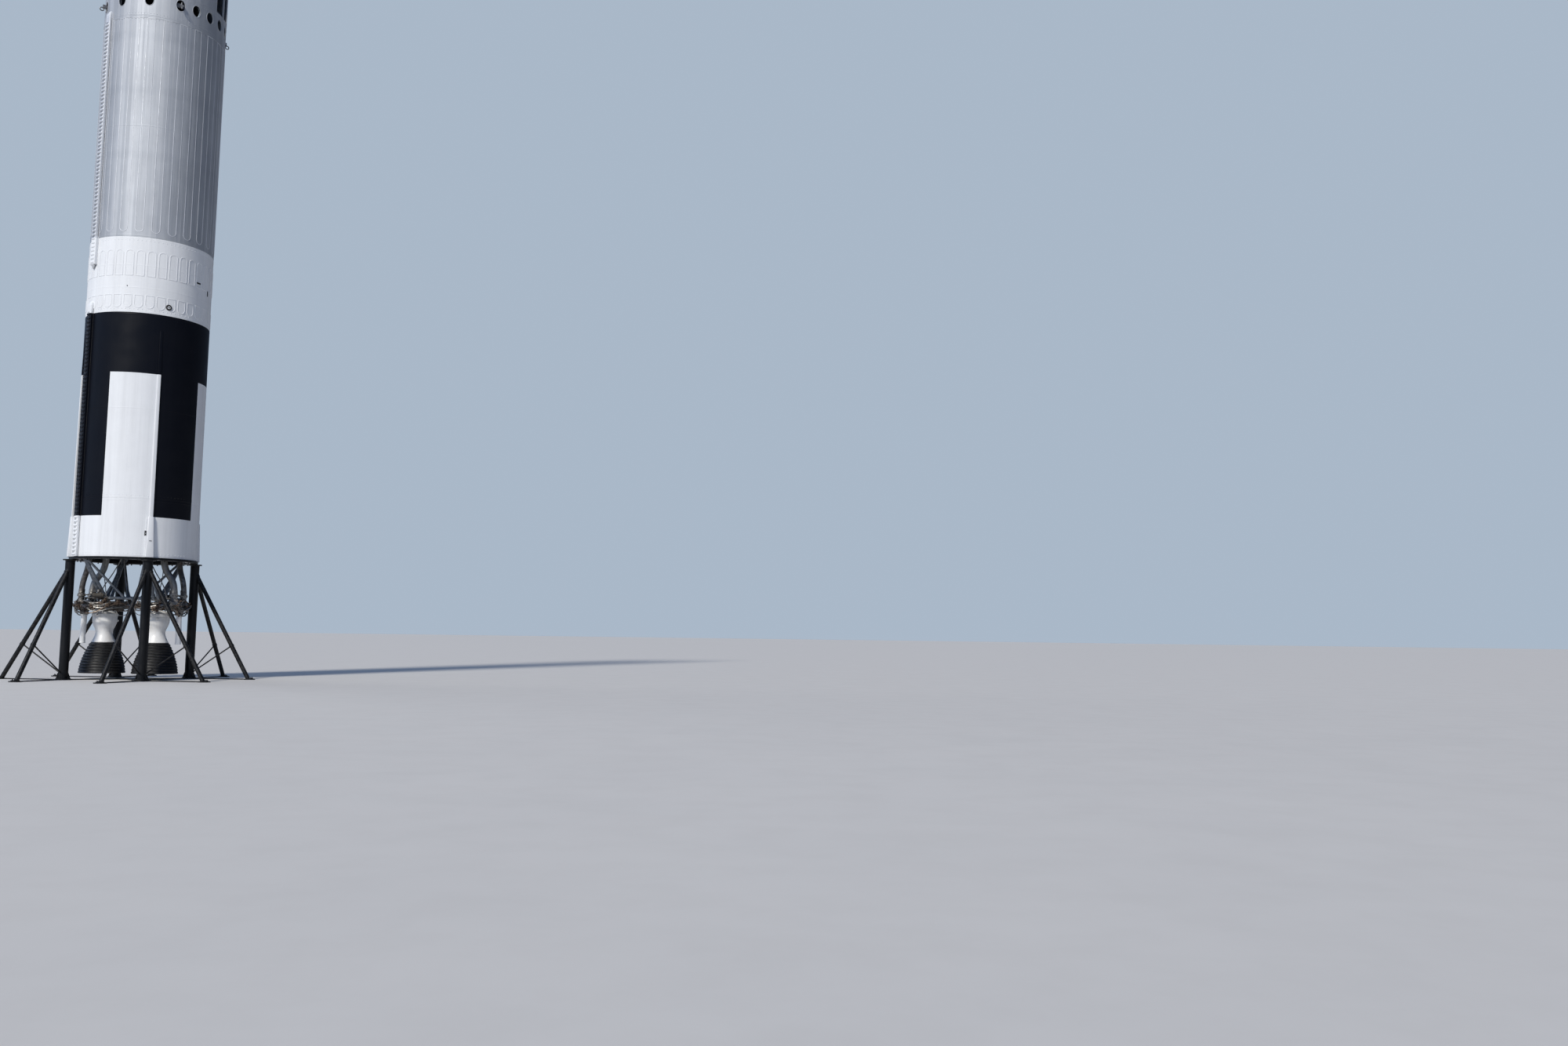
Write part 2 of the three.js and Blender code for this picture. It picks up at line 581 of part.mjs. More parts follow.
function makeEngine(number) {
  const spin = number === 1 ? 0 : 180;
  const put = (solid) => turned(solid.translate(ENGINE.x, 0, 0), spin);
  const block = box(-BLOCK, BLOCK, -BLOCK, BLOCK, gz(-45), gz(45));
  add(`gimbal_block_${number}`, put(block), "engine_metal");
  add(`thrust_chamber_${number}`, put(gimballedChamber()), "white_paint");
  const bell = lathe([...bandedOutline(), ...BELL.inner].map(([r, up]) => [r, gz(up)]), SMALL * 2);
  add(`nozzle_bell_${number}`, put(bell), "bell_black");
  for (const [name, angle] of ACTUATORS)
    add(`${name}_${number}`, put(actuatorRod(angle)), "engine_metal");

  const pumps = PUMP_PIECES.map(([ax, ay, az, bx, by, bz, r]) =>
    bar(vec(ax, ay, gz(az)), vec(bx, by, gz(bz)), r, SMALL),
  );
  const lines = PUMP_LINES.map(({ r, steps, way }) =>
    pipe(way.map(([x, y, up]) => vec(x, y, gz(up))), r, steps, 6),
  );
  add(`turbopump_${number}`, put(join(pumps, lines)), "engine_metal");

  const duct = pipe(DUCT.way.map(([x, y, up]) => vec(x, y, gz(up))), DUCT.r, 6, 10);
  add(`exhaust_duct_${number}`, put(duct), "white_paint");

  for (const [fluid, { y, r, via }] of Object.entries(FEED)) {
    const path = [[560, y, 300.3], ...via].map(([x, py, up]) => vec(x, py, gz(up)));
    const line = cut(pipe(path, r, FEED_STEPS, FEED_SIDES), tankCone(GAP));
    add(`${fluid}_line_${number}`, put(largest(line)), "engine_metal");
  }
}

// The second stage's engine hangs in the interstage. Heights from its own gimbal's centre.
const ENGINE2 = { gimbal: 17600 };
const SPIDER = { count: 8, r: 26, out: 1365, inner: 150 }; // tubes from the hoop to the thrust block
const CHAMBER2 = {
  outer: [[0, -105], [140, -115], [205, -150], [215, -190], [240, -195], [240, -240], [205, -250],
    [200, -400], [135, -560], [135, -600], [260, -760]],
  inner: [[225, -760], [102, -600], [102, -560], [150, -420], [0, -410]],
};
const BELL2 = {
  outer: [[262, -760.3], [430, -1060], [600, -1430], [720, -1760], [800, -2050]],
  inner: [[770, -2050], [690, -1760], [570, -1430], [400, -1060], [226, -760.3]],
};

function makeSecondEngine() {
  const g2 = (up) => SKIRT_Z + ENGINE2.gimbal + up;
  const raise = g2(0) - gz(0);
  const hoop = { outer: 1400, inner: 1330, low: SKIRT_Z + H.interstageTop - 80, sides: SMALL * 2 };
  const hoopTop = SKIRT_Z + H.interstageTop - GAP;
  add("thrust_ring_2", ring(hoop.outer, hoop.inner, hoop.low, hoopTop, hoop.sides), "engine_metal");
  const frame = [
    drum(190, g2(MOUNT.low), g2(MOUNT.high) - 20, SMALL),
    ...lugPair(true, gz(-LUG.reach), gz(MOUNT.low) + 10).map((s) => s.translate(0, 0, raise)),
  ];
  const { count, r, out, inner } = SPIDER;
  for (let i = 0; i < count; i += 1) {
    const angle = ((i + 0.5) * 360) / count;
    frame.push(bar(at(out, angle, hoop.low + 35), at(inner, angle, g2(MOUNT.low + 40)), r, 6));
  }
  const hoopRoom = ring(hoop.outer + 200, hoop.inner - GAP, hoop.low - 200, hoopTop + 200, hoop.sides);
  add("thrust_frame_2", cut(join(frame), hoopRoom), "engine_metal");
  const block = box(-BLOCK, BLOCK, -BLOCK, BLOCK, g2(-45), g2(45));
  add("gimbal_block_3", block, "engine_metal");
  const chamber = lathe([...CHAMBER2.outer, ...CHAMBER2.inner].map(([r, up]) => [r, g2(up)]), 20);
  const lugs = lugPair(false, gz(-150), gz(LUG.reach)).map((s) => s.translate(0, 0, raise));
  add("thrust_chamber_3", join(chamber, lugs), "white_paint");
  const bell = lathe([...BELL2.outer, ...BELL2.inner].map(([r, up]) => [r, g2(up)]), SMALL * 2);
  add("nozzle_bell_3", bell, "bell_black");
}

// The spacecraft: adapter, cabin with two hatches, control section and nose.
const CRAFT = {
  adapterTop: 26370,
  retroFoot: 25530,
  cabinR: 1143, // at the cabin's foot
  neckR: 490,
  neck: 28170,
  controlTop: 28630,
  noseR: 400,
  noseFoot: 29400,
  noseTop: 29640,
  wall: 40,
};
const coneR = (h) =>
  CRAFT.cabinR + ((CRAFT.neckR - CRAFT.cabinR) * (h - CRAFT.adapterTop)) / (CRAFT.neck - CRAFT.adapterTop);
const adapterR = (h) =>
  BODY_R + ((CRAFT.cabinR - BODY_R) * (h - H.launcherTop)) / (CRAFT.adapterTop - H.launcherTop);

const HATCH = {
  low: 26720, // along the hinge line
  high: 27900,
  hingeAngle: -46,
  sill: 34, // from the middle plane to the hatch's free edge
  gap: 6,
  pinOut: 20, // the hinge line lies this far outside the skin
  knuckleR: 15,
};
const WINDOW = { low: 27260, high: 27560, x0: 120, x1: 330 };

// The hinge line of the hatch on the side of +X: its foot, its direction and the way out of the skin.
function hingeLine() {
  const foot = at(coneR(HATCH.low), HATCH.hingeAngle, SKIRT_Z + HATCH.low);
  const head = at(coneR(HATCH.high), HATCH.hingeAngle, SKIRT_Z + HATCH.high);
  const along = head.clone().sub(foot);
  const length = along.length();
  along.normalize();
  const sideways = vec(-Math.sin(rad(HATCH.hingeAngle)), Math.cos(rad(HATCH.hingeAngle)), 0);
  const out = sideways.clone().cross(along).normalize();
  foot.addScaledVector(out, HATCH.pinOut);
  return { foot, along, length, sideways, out };
}

// The part of the cabin's wall that the hatch fills, taken in by inset on all sides.
function hatchRegion(inset) {
  const { foot, along, length, sideways } = hingeLine();
  const low = foot.clone().addScaledVector(along, inset);
  const high = foot.clone().addScaledVector(along, length - inset);
  const edge = foot.clone().addScaledVector(sideways, -inset - HATCH.knuckleR - 4);
  return common(
    halfSpace(low, along),
    halfSpace(high, along.clone().negate()),
    halfSpace(edge, sideways.clone().negate()),
    halfSpace(vec(HATCH.sill + inset, 0, low.z), vec(1, 0, 0)),
    box(0, 2500, -2500, -100, SKIRT_Z + 26000, SKIRT_Z + 29000),
  );
}

// A solid cone between two heights, this much larger than the cabin.
const coneBlock = (grow, h0, h1) =>
  lathe([
    [0, SKIRT_Z + h0],
    [coneR(h0) + grow, SKIRT_Z + h0],
    [coneR(h1) + grow, SKIRT_Z + h1],
    [0, SKIRT_Z + h1],
  ]);

const coneShell = (outer, inner, h0, h1) => cut(coneBlock(outer, h0, h1), coneBlock(inner, h0 - 1, h1 + 1));

function windowPrism(inset) {
  const { low, high, x0, x1 } = WINDOW;
  return box(x0 + inset, x1 - inset, -1500, -100, SKIRT_Z + low + inset, SKIRT_Z + high - inset);
}

const KNUCKLES = [0.2, 0.8]; // places along the hinge line, from its foot at 0 to its head at 1
const KNUCKLE_HALF = 40;
// Webs from the knuckles to the walls, as [sideways, out] from the hinge line.
const HATCH_WEB = [[-28, -13], [-30, -34], [-70, -38], [-70, -14], [0, 12], [0, -10]];
const CABIN_WEB = [[0, 12], [0, -36], [50, -38], [50, -14]];

function knuckles(onHatch) {
  const { foot, along, length, out, sideways } = hingeLine();
  const spans = onHatch
    ? [[-KNUCKLE_HALF, KNUCKLE_HALF]]
    : [[-KNUCKLE_HALF * 2, -KNUCKLE_HALF - GAP], [KNUCKLE_HALF + GAP, KNUCKLE_HALF * 2]];
  const web = onHatch ? HATCH_WEB : CABIN_WEB;
  const pieces = [];
  for (const share of KNUCKLES) {
    const middle = foot.clone().addScaledVector(along, share * length);
    for (const span of spans) {
      const [p, q] = span.map((s) => middle.clone().addScaledVector(along, s));
      const section = (end) =>
        web.map(([s, o]) => end.clone().addScaledVector(sideways, s).addScaledVector(out, o));
      pieces.push(bar(p, q, HATCH.knuckleR, 12), loft([section(p), section(q)]));
    }
  }
  return pieces;
}

// The crew's seats on their sill, and the panel that hangs from the roof on its post.
const SEAT = {
  x: 260, // from the middle plane to a seat's
  sill: { half: 480, y: 80, high: 60 },
  blocks: [
    // half width, front, back, heights above the floor
    [200, -640, 120, 60, 170],
    [200, 60, 170, 60, 560],
    [120, -640, -520, 160, 230],
  ],
};
const PANEL = { half: 430, y0: -90, y1: 240, low: 27560, high: 27640, post: 80 };

const mirrored = (solid) => solidOf(geometryOf(solid).scale(-1, 1, 1));

function makeSpacecraft() {
  const z = (h) => SKIRT_Z + h;
  const cone = (h0, h1, r0, r1) => lathe([[0, z(h0)], [r0, z(h0)], [r1, z(h1) - GAP], [0, z(h1) - GAP]]);
  const { adapterTop, retroFoot, neck, neckR, controlTop, noseR, noseFoot, noseTop, wall } = CRAFT;
  add("adapter_lower", cone(H.launcherTop, retroFoot, BODY_R, adapterR(retroFoot)), "white_paint");
  add("adapter_upper", cone(retroFoot, adapterTop, adapterR(retroFoot), CRAFT.cabinR), "white_paint");

  const hull = cone(adapterTop, neck, CRAFT.cabinR, neckR);
  const [floorTop, roof] = [adapterTop + 120, neck - 110];
  const inside = coneBlock(-wall, floorTop, roof);
  const openings = hatchRegion(0);
  const cabin = cut(hull, inside, openings, mirrored(openings));
  const fixed = knuckles(false);
  add("cabin", join(cabin, fixed, fixed.map(mirrored)), "cabin_dark");

  const wallShell = coneShell(0, -wall, 26500, 28100);
  const lid = common(wallShell, hatchRegion(HATCH.gap));
  const hatch = cut(join(lid, knuckles(true)), windowPrism(0));
  const pane = common(coneShell(-8, -26, 26500, 28100), windowPrism(GAP));
  add("hatch_right", hatch, "cabin_dark");
  add("hatch_left", mirrored(hatch), "cabin_dark");
  add("hatch_window_right", pane, "window_glass");
  add("hatch_window_left", mirrored(pane), "window_glass");

  const seats = [];
  for (const x of [-SEAT.x, SEAT.x])
    for (const [half, y0, y1, low, high] of SEAT.blocks)
      seats.push(box(x - half, x + half, y0, y1, z(floorTop + low), z(floorTop + high)));
  const { half: sillHalf, y: sillY, high: sillTop } = SEAT.sill;
  seats.push(box(-sillHalf, sillHalf, -sillY, sillY, z(floorTop) + GAP, z(floorTop) + sillTop));
  add("crew_seats", join(seats), "seat_cloth");
  const { half, y0, y1, low, high, post } = PANEL;
  const panel = join(
    box(-half, half, y0, y1, z(low), z(high)),
    box(-post, post, 0, post * 2, z(high) - 20, z(roof) - GAP),
  );
  add("instrument_panel", panel, "panel_grey");

  add("control_section", drum(neckR, z(neck), z(controlTop) - GAP, NECK_SIDES), "cabin_dark");
  const outline = [[0, controlTop], [neckR - 6, controlTop], [noseR, noseFoot], [noseR - 20, noseFoot + 90],
    [noseR - 110, noseTop - 40], [0, noseTop]];
  add("nose_section", lathe(outline.map(([r, h]) => [r, z(h)]), NECK_SIDES), "cabin_dark");
}

makeStand();
makeStages();
makeLongerons();
makeRaceways();
makeEngineFrame();
makeEngine(1);
makeEngine(2);
makeSecondEngine();
makeSpacecraft();

export default rocket;
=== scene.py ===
"""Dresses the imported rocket: smooth skins, fine parts and finishes round its fixed frame. Metres, +Z up.

The origin is at the middle of the stand's base, on the ground. The two main engines lie along X,
and the four longerons and stand legs lie at 45 degrees to them. Heights written h are above the
skirt's lower edge, and heights written z are above the ground.
"""

from __future__ import annotations

import logging
import math
import random
from dataclasses import dataclass
from enum import Enum
from typing import Callable, ClassVar, Sequence

import bpy
from mathutils import Matrix, Vector

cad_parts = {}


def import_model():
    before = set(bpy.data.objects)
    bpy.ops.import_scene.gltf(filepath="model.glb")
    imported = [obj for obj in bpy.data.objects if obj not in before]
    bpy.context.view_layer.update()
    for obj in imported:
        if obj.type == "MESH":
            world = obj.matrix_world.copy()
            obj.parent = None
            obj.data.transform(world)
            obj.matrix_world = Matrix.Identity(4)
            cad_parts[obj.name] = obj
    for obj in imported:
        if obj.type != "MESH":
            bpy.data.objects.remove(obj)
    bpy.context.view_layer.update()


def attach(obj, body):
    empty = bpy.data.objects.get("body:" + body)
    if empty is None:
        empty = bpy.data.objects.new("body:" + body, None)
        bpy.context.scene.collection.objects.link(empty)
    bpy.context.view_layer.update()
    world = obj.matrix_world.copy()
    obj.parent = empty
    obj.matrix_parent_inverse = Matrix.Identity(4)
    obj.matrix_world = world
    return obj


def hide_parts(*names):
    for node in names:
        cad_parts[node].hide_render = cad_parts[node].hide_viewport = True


LOG = logging.getLogger("rocket")
TAU = math.tau

Point = Sequence[float]
Outline = Sequence[tuple[float, float]]
Colour = tuple[float, float, float]
Object = bpy.types.Object
Socket = bpy.types.NodeSocket

SKIRT_Z = 3.2  # the skirt's lower edge above the ground
BODY_R = 1.524  # outer radius of both stages
ROUND = 144  # sides of the skins
LEG_ANGLES = (45, 135, 225, 315)
PHOTO_SIDE = -57  # the side of the body that the camera looks at, in degrees from +X
THIN_WALL = 0.05  # between the inner and the outer face of the open sections
JOINT_GAP = 0.0003  # between two pieces that stand on each other, as in the solids
MERGE = 1e-5  # corners nearer than this are merged
SPIN_MERGE = 2e-5  # the same in a spun form


class Body(str, Enum):
    """The bodies that the skins and the hatches ride on."""

    ROCKET = "rocket"
    HATCH_RIGHT = "hatch_r"
    HATCH_LEFT = "hatch_l"


class Slot(str, Enum):
    """The record's material slots."""

    STAND = "stand_black"
    WHITE = "white_paint"
    BLACK = "black_paint"
    ALUMINIUM = "bare_aluminium"
    ENGINE = "engine_metal"
    BELL = "bell_black"
    CABIN = "cabin_dark"
    GLASS = "window_glass"
    CLOTH = "seat_cloth"
    PANEL = "panel_grey"


# Modelling tools: each leaves one mesh object at the origin, with its place in its mesh.


def object_mode() -> None:
    """Leaves edit mode, if it is on."""
    if bpy.context.mode != "OBJECT":
        bpy.ops.object.mode_set(mode="OBJECT")


def freeze() -> None:
    """Puts the selected objects' place, turn and scale into their meshes."""
    bpy.ops.object.transform_apply(location=True, rotation=True, scale=True)


def radians(turn: Point) -> list[float]:
    """Turns about X, Y and Z, from degrees."""
    return [math.radians(a) for a in turn]


def pick(*objects: Object) -> Object:
    """Selects only these objects, in object mode.

    Args:
        objects: what to select; the first one becomes the active object.

    Returns:
        The active object.
    """
    clear()
    for obj in objects:
        obj.select_set(True)
    bpy.context.view_layer.objects.active = objects[0]
    return objects[0]


def clear() -> None:
    """Goes to object mode with nothing selected."""
    object_mode()
    bpy.ops.object.select_all(action="DESELECT")


def open_edit(obj: Object) -> None:
    """Enters edit mode on an object, with all of it selected.

    Args:
        obj: the object to edit.
    """
    pick(obj)
    bpy.ops.object.mode_set(mode="EDIT")
    bpy.ops.mesh.select_all(action="SELECT")


def settled(obj: Object, name: str, smooth: float = 32.0) -> Object:
    """Puts an object's place into its mesh, names both and shades it.

    Args:
        obj: a mesh object.
        name: its name from now on.
        smooth: edges sharper than this many degrees stay sharp.

    Returns:
        The same object.
    """
    pick(obj)
    freeze()
    bpy.ops.object.shade_smooth_by_angle(angle=math.radians(smooth))
    obj.name = name
    obj.data.name = name
    return obj


def with_modifier(obj: Object, kind: str, **settings: object) -> Object:
    """Adds a modifier, sets it and applies it.

    Args:
        obj: a mesh object.
        kind: the modifier's type.
        settings: its values by name.

    Returns:
        The same object.
    """
    pick(obj)
    bpy.ops.object.modifier_add(type=kind)
    modifier = obj.modifiers[-1]
    for key, value in settings.items():
        setattr(modifier, key, value)
    bpy.ops.object.modifier_apply(modifier=modifier.name)
    return obj


def bevelled(obj: Object, width: float, segments: int = 2, angle: float = 40.0) -> Object:
    """Rounds the edges that are sharper than an angle in degrees.

    Args:
        obj: a mesh object.
        width: width of the rounded edges.
        segments: faces across an edge.
        angle: edges sharper than this many degrees are rounded.

    Returns:
        The same object.
    """
    return with_modifier(
        obj, "BEVEL", width=width, segments=segments, limit_method="ANGLE", angle_limit=math.radians(angle)
    )


def lathe(
    name: str, outline: Outline, sides: int = ROUND, centre: Point = (0, 0), smooth: float = 32
) -> Object:
    """Draws an outline vertex by vertex and spins it about a vertical axis.

    Args:
        name: the piece's name.
        outline: [radius, z] corners; it closes on itself or on the axis.
        sides: steps of the spin.
        centre: where the axis stands.
        smooth: edges sharper than this many degrees stay sharp.

    Returns:
        The closed solid.
    """
    clear()
    x, z = outline[0]
    bpy.ops.mesh.primitive_plane_add(size=0.01, location=(centre[0] + x, centre[1], z))
    obj = bpy.context.object
    open_edit(obj)
    bpy.ops.mesh.merge(type="CENTER")
    last = [outline[0]] if x > 0 or outline[-1][0] > 0 else []
    for next_x, next_z in [*outline[1:], *last]:
        step = (next_x - x, 0, next_z - z)
        bpy.ops.mesh.extrude_vertices_move(TRANSFORM_OT_translate={"value": step})
        x, z = next_x, next_z
    bpy.ops.mesh.select_all(action="SELECT")
    bpy.ops.mesh.spin(steps=sides, angle=TAU, center=(centre[0], centre[1], 0), axis=(0, 0, 1))
    bpy.ops.mesh.select_all(action="SELECT")
    bpy.ops.mesh.remove_doubles(threshold=SPIN_MERGE)
    bpy.ops.mesh.normals_make_consistent(inside=False)
    object_mode()
    return settled(obj, name, smooth)


def block(name: str, size: Point, middle: Point, bevel: float = 0.004, turn: Point = (0, 0, 0)) -> Object:
    """A box with rounded edges.

    Args:
        name: the piece's name.
        size: its length along X, Y and Z before it is turned.
        middle: the place of its middle.
        bevel: width of the rounded edges.
        turn: turns about X, Y and Z in degrees.

    Returns:
        The solid.
    """
    clear()
    bpy.ops.mesh.primitive_cube_add(size=1, location=middle, rotation=radians(turn), scale=size)
    obj = settled(bpy.context.object, name)
    return bevelled(obj, bevel) if bevel else obj


def turn_to(direction: Vector) -> tuple[float, float, float]:
    """The Euler turn that lays +Z along a direction."""
    return tuple(direction.to_track_quat("Z", "Y").to_euler())


def rod(name: str, start: Point, end: Point, radius: float, sides: int = 20, bevel: float = 0.0) -> Object:
    """A round bar between two points.

    Args:
        name: the piece's name.
        start: one end.
        end: the other end.
        radius: its radius.
        sides: sides of its section.
        bevel: width of its rounded rims.

    Returns:
        The solid.
    """
    clear()
    axis = Vector(end) - Vector(start)
    middle = (Vector(end) + Vector(start)) / 2
    bpy.ops.mesh.primitive_cylinder_add(
        vertices=sides, radius=radius, depth=axis.length, location=middle, rotation=turn_to(axis)
    )
    obj = settled(bpy.context.object, name)
    return settled(bevelled(obj, bevel, 2, 50), name) if bevel else obj


def pipe(name: str, points: Sequence[Point], radius: float, turns: int = 6, fine: int = 2) -> Object:
    """A round pipe along a smooth line.

    Args:
        name: the piece's name.
        points: what the line goes through.
        radius: the pipe's radius.
        turns: steps between two points.
        fine: fineness of its round section.

    Returns:
        The closed pipe.
    """
    clear()
    bpy.ops.curve.primitive_bezier_curve_add(location=(0, 0, 0))
    obj = bpy.context.object
    bpy.ops.object.mode_set(mode="EDIT")
    bpy.ops.curve.select_all(action="SELECT")
    bpy.ops.curve.delete(type="VERT")
    for point in points:
        bpy.ops.curve.vertex_add(location=point)
    bpy.ops.curve.select_all(action="SELECT")
    bpy.ops.curve.handle_type_set(type="AUTOMATIC")
    object_mode()
    line = obj.data
    line.dimensions = "3D"
    line.bevel_depth = radius
    line.bevel_resolution = fine
    line.resolution_u = turns
    line.use_fill_caps = True
    bpy.ops.object.convert(target="MESH")
    return sealed(bpy.context.object, name)


def sealed(obj: Object, name: str, smooth: float = 32) -> Object:
    """Merges doubled corners, points all faces outwards and settles the piece.

    Args:
        obj: a mesh object.
        name: its name from now on.
        smooth: edges sharper than this many degrees stay sharp.

    Returns:
        The same object.
    """
    open_edit(obj)
    bpy.ops.mesh.remove_doubles(threshold=MERGE)
    bpy.ops.mesh.normals_make_consistent(inside=False)
    object_mode()
    return settled(obj, name, smooth)


def torus(
    name: str, middle: Point, major: float, minor: float, turn: Point = (0, 0, 0), sides: int = 48
) -> Object:
    """A round ring.

    Args:
        name: the piece's name.
        middle: the place of its middle.
        major: radius of its middle line.
        minor: radius of its section.
        turn: turns about X, Y and Z in degrees.
        sides: steps round it.

    Returns:
        The solid.
    """
    clear()
    bpy.ops.mesh.primitive_torus_add(
        major_radius=major, minor_radius=minor, major_segments=sides, minor_segments=10,
        location=middle, rotation=radians(turn),
    )
    return settled(bpy.context.object, name)


def fused(name: str, pieces: Sequence[Object], smooth: float = 32) -> Object:
    """Joins pieces into one object.

    Args:
        name: the name of the whole.
        pieces: mesh objects; the first keeps its materials first.
        smooth: edges sharper than this many degrees stay sharp.

    Returns:
        The whole.
    """
    pick(*pieces)
    if len(pieces) > 1:
        bpy.ops.object.join()
    return settled(bpy.context.object, name, smooth)


def copied(obj: Object, name: str) -> Object:
    """A copy of an object, with a mesh of its own.

    Args:
        obj: what to copy.
        name: the copy's name.

    Returns:
        The copy.
    """
    pick(obj)
    bpy.ops.object.duplicate(linked=False)
    copy = bpy.context.object
    copy.name = name
    copy.data.name = name
    return copy


def moved(obj: Object, offset: Point) -> Object:
    """Moves an object and puts the move into its mesh.

    Args:
        obj: what to move.
        offset: how far, along X, Y and Z.

    Returns:
        The same object.
    """
    pick(obj)
    bpy.ops.transform.translate(value=offset)
    freeze()
    return obj


def swung(obj: Object, degrees: float, centre: Point = (0, 0, 0), axis: str = "Z") -> Object:
    """Turns an object about a line through a point, anticlockwise seen from the axis's far end.

    Args:
        obj: what to turn.
        degrees: how far.
        centre: a point on the line.
        axis: the line's direction.

    Returns:
        The same object.
    """
    pick(obj)
    bpy.ops.transform.rotate(value=-math.radians(degrees), orient_axis=axis, center_override=centre)
    freeze()
    return obj


def mirrored(obj: Object, name: str) -> Object:
    """A copy of an object on the other side of the plane x = 0, with its faces outwards.

    Args:
        obj: what to copy.
        name: the copy's name.

    Returns:
        The copy.
    """
    copy = copied(obj, name)
    bpy.ops.transform.resize(value=(-1, 1, 1), center_override=(0, 0, 0))
    freeze()
    if copy.data.polygons and volume_of(copy) < 0:
        open_edit(copy)
        bpy.ops.mesh.flip_normals()
        object_mode()
    return copy


def volume_of(obj: Object) -> float:
    """The signed volume of a closed mesh: below zero where its faces point inwards.

    Args:
        obj: a mesh object.

    Returns:
        Its volume in cubic metres.
    """
    mesh = obj.data
    mesh.calc_loop_triangles()
    corners = mesh.vertices
    total = 0.0
    for triangle in mesh.loop_triangles:
        a, b, c = (corners[i].co for i in triangle.vertices)
        total += a.dot(b.cross(c)) / 6
    return total


def round_row(obj: Object, count: int, centre: Point = (0, 0, 0), axis: Point = (0, 0, 1)) -> Object:
    """Repeats a piece round an axis.

    Args:
        obj: the first piece.
        count: how many there are in the full circle.
        centre: a point on the axis.
        axis: the axis's direction.

    Returns:
        The same object, with all copies in its mesh.
    """
    open_edit(obj)
    span = TAU * (count - 1) / count
    bpy.ops.mesh.spin(dupli=True, steps=count - 1, angle=span, center=centre, axis=axis)
    object_mode()
    return obj


def row_of(obj: Object, count: int, step: Point) -> Object:
    """Repeats a piece in a straight row, by an array with a fixed step.

    Args:
        obj: the first piece.
        count: how many there are.
        step: the way from one to the next.

    Returns:
        The same object, with all copies in its mesh.
    """
    return with_modifier(
        obj, "ARRAY", count=count, use_relative_offset=False, use_constant_offset=True,
        constant_offset_displace=step,
    )


def carved(obj: Object, tool: Object, how: str = "DIFFERENCE") -> Object:
    """Cuts an object with a tool, or keeps what both share, and removes the tool.

    Args:
        obj: what to cut.
        tool: what it is cut with.
        how: the boolean operation.

    Returns:
        The same object.
    """
    with_modifier(obj, "BOOLEAN", operation=how, object=tool, solver="EXACT")
    bpy.data.objects.remove(tool)
    return obj


def wrapped(obj: Object, radius: float, degrees: float = 0.0) -> Object:
    """Lays a flat piece on a round skin.

    Args:
        obj: a piece whose x is the way out of the skin, y the way along it and z up.
        radius: the skin's radius.
        degrees: where its middle comes to lie.

    Returns:
        The same object.
    """
    start = math.radians(degrees)
    for vertex in obj.data.vertices:
        out, along, up = vertex.co
        angle = start + along / radius
        vertex.co = ((radius + out) * math.cos(angle), (radius + out) * math.sin(angle), up)
    obj.data.update()
    return obj


def at(radius: float, degrees: float, z: float) -> Vector:
    """The point at a radius, an angle in degrees and a height."""
    angle = math.radians(degrees)
    return Vector((radius * math.cos(angle), radius * math.sin(angle), z))


def stud_ring(
    name: str, radius: float, z: float, count: int, size: float = 0.012, phase: float = 0.0
) -> Object:
    """A ring of round fastener heads on a round skin.

    Args:
        name: the piece's name.
        radius: the skin's radius.
        z: the ring's height.
        count: how many heads there are.
        size: radius of a head.
        phase: the first head's angle in degrees.

    Returns:
        The heads as one object.
    """
    clear()
    bpy.ops.mesh.primitive_cone_add(
        vertices=8, radius1=size, radius2=size * 0.55, depth=size * 0.7,
        location=(radius + size * 0.3, 0, z), rotation=(0, math.pi / 2, 0),
    )
    head = settled(bpy.context.object, name, 50)
    return swung(round_row(head, count), phase)


def inner_hoops(
    radius: float, heights: Sequence[float], half: float, deep: float, foot: float
) -> list[Object]:
    """Hoops of an angle section inside a round wall.

    Args:
        radius: the wall's inner radius.
        heights: the hoops' heights above the skirt's lower edge.
        half: half of a hoop's height.
        deep: how far it reaches inwards.
        foot: how far below its middle its flat side ends.

    Returns:
        The hoops.
    """
    sunk, web = 0.005, 0.012  # into the wall, and the thickness against it
    made = []
    for z in (SKIRT_Z + h for h in heights):
        outline = [
            (radius + sunk, z - half), (radius - deep, z - half), (radius - deep, z - foot),
            (radius - web, z - foot), (radius - web, z + half), (radius + sunk, z + half),
        ]
        made.append(lathe("hoop", outline, 96))
    return made


# Shader wiring.


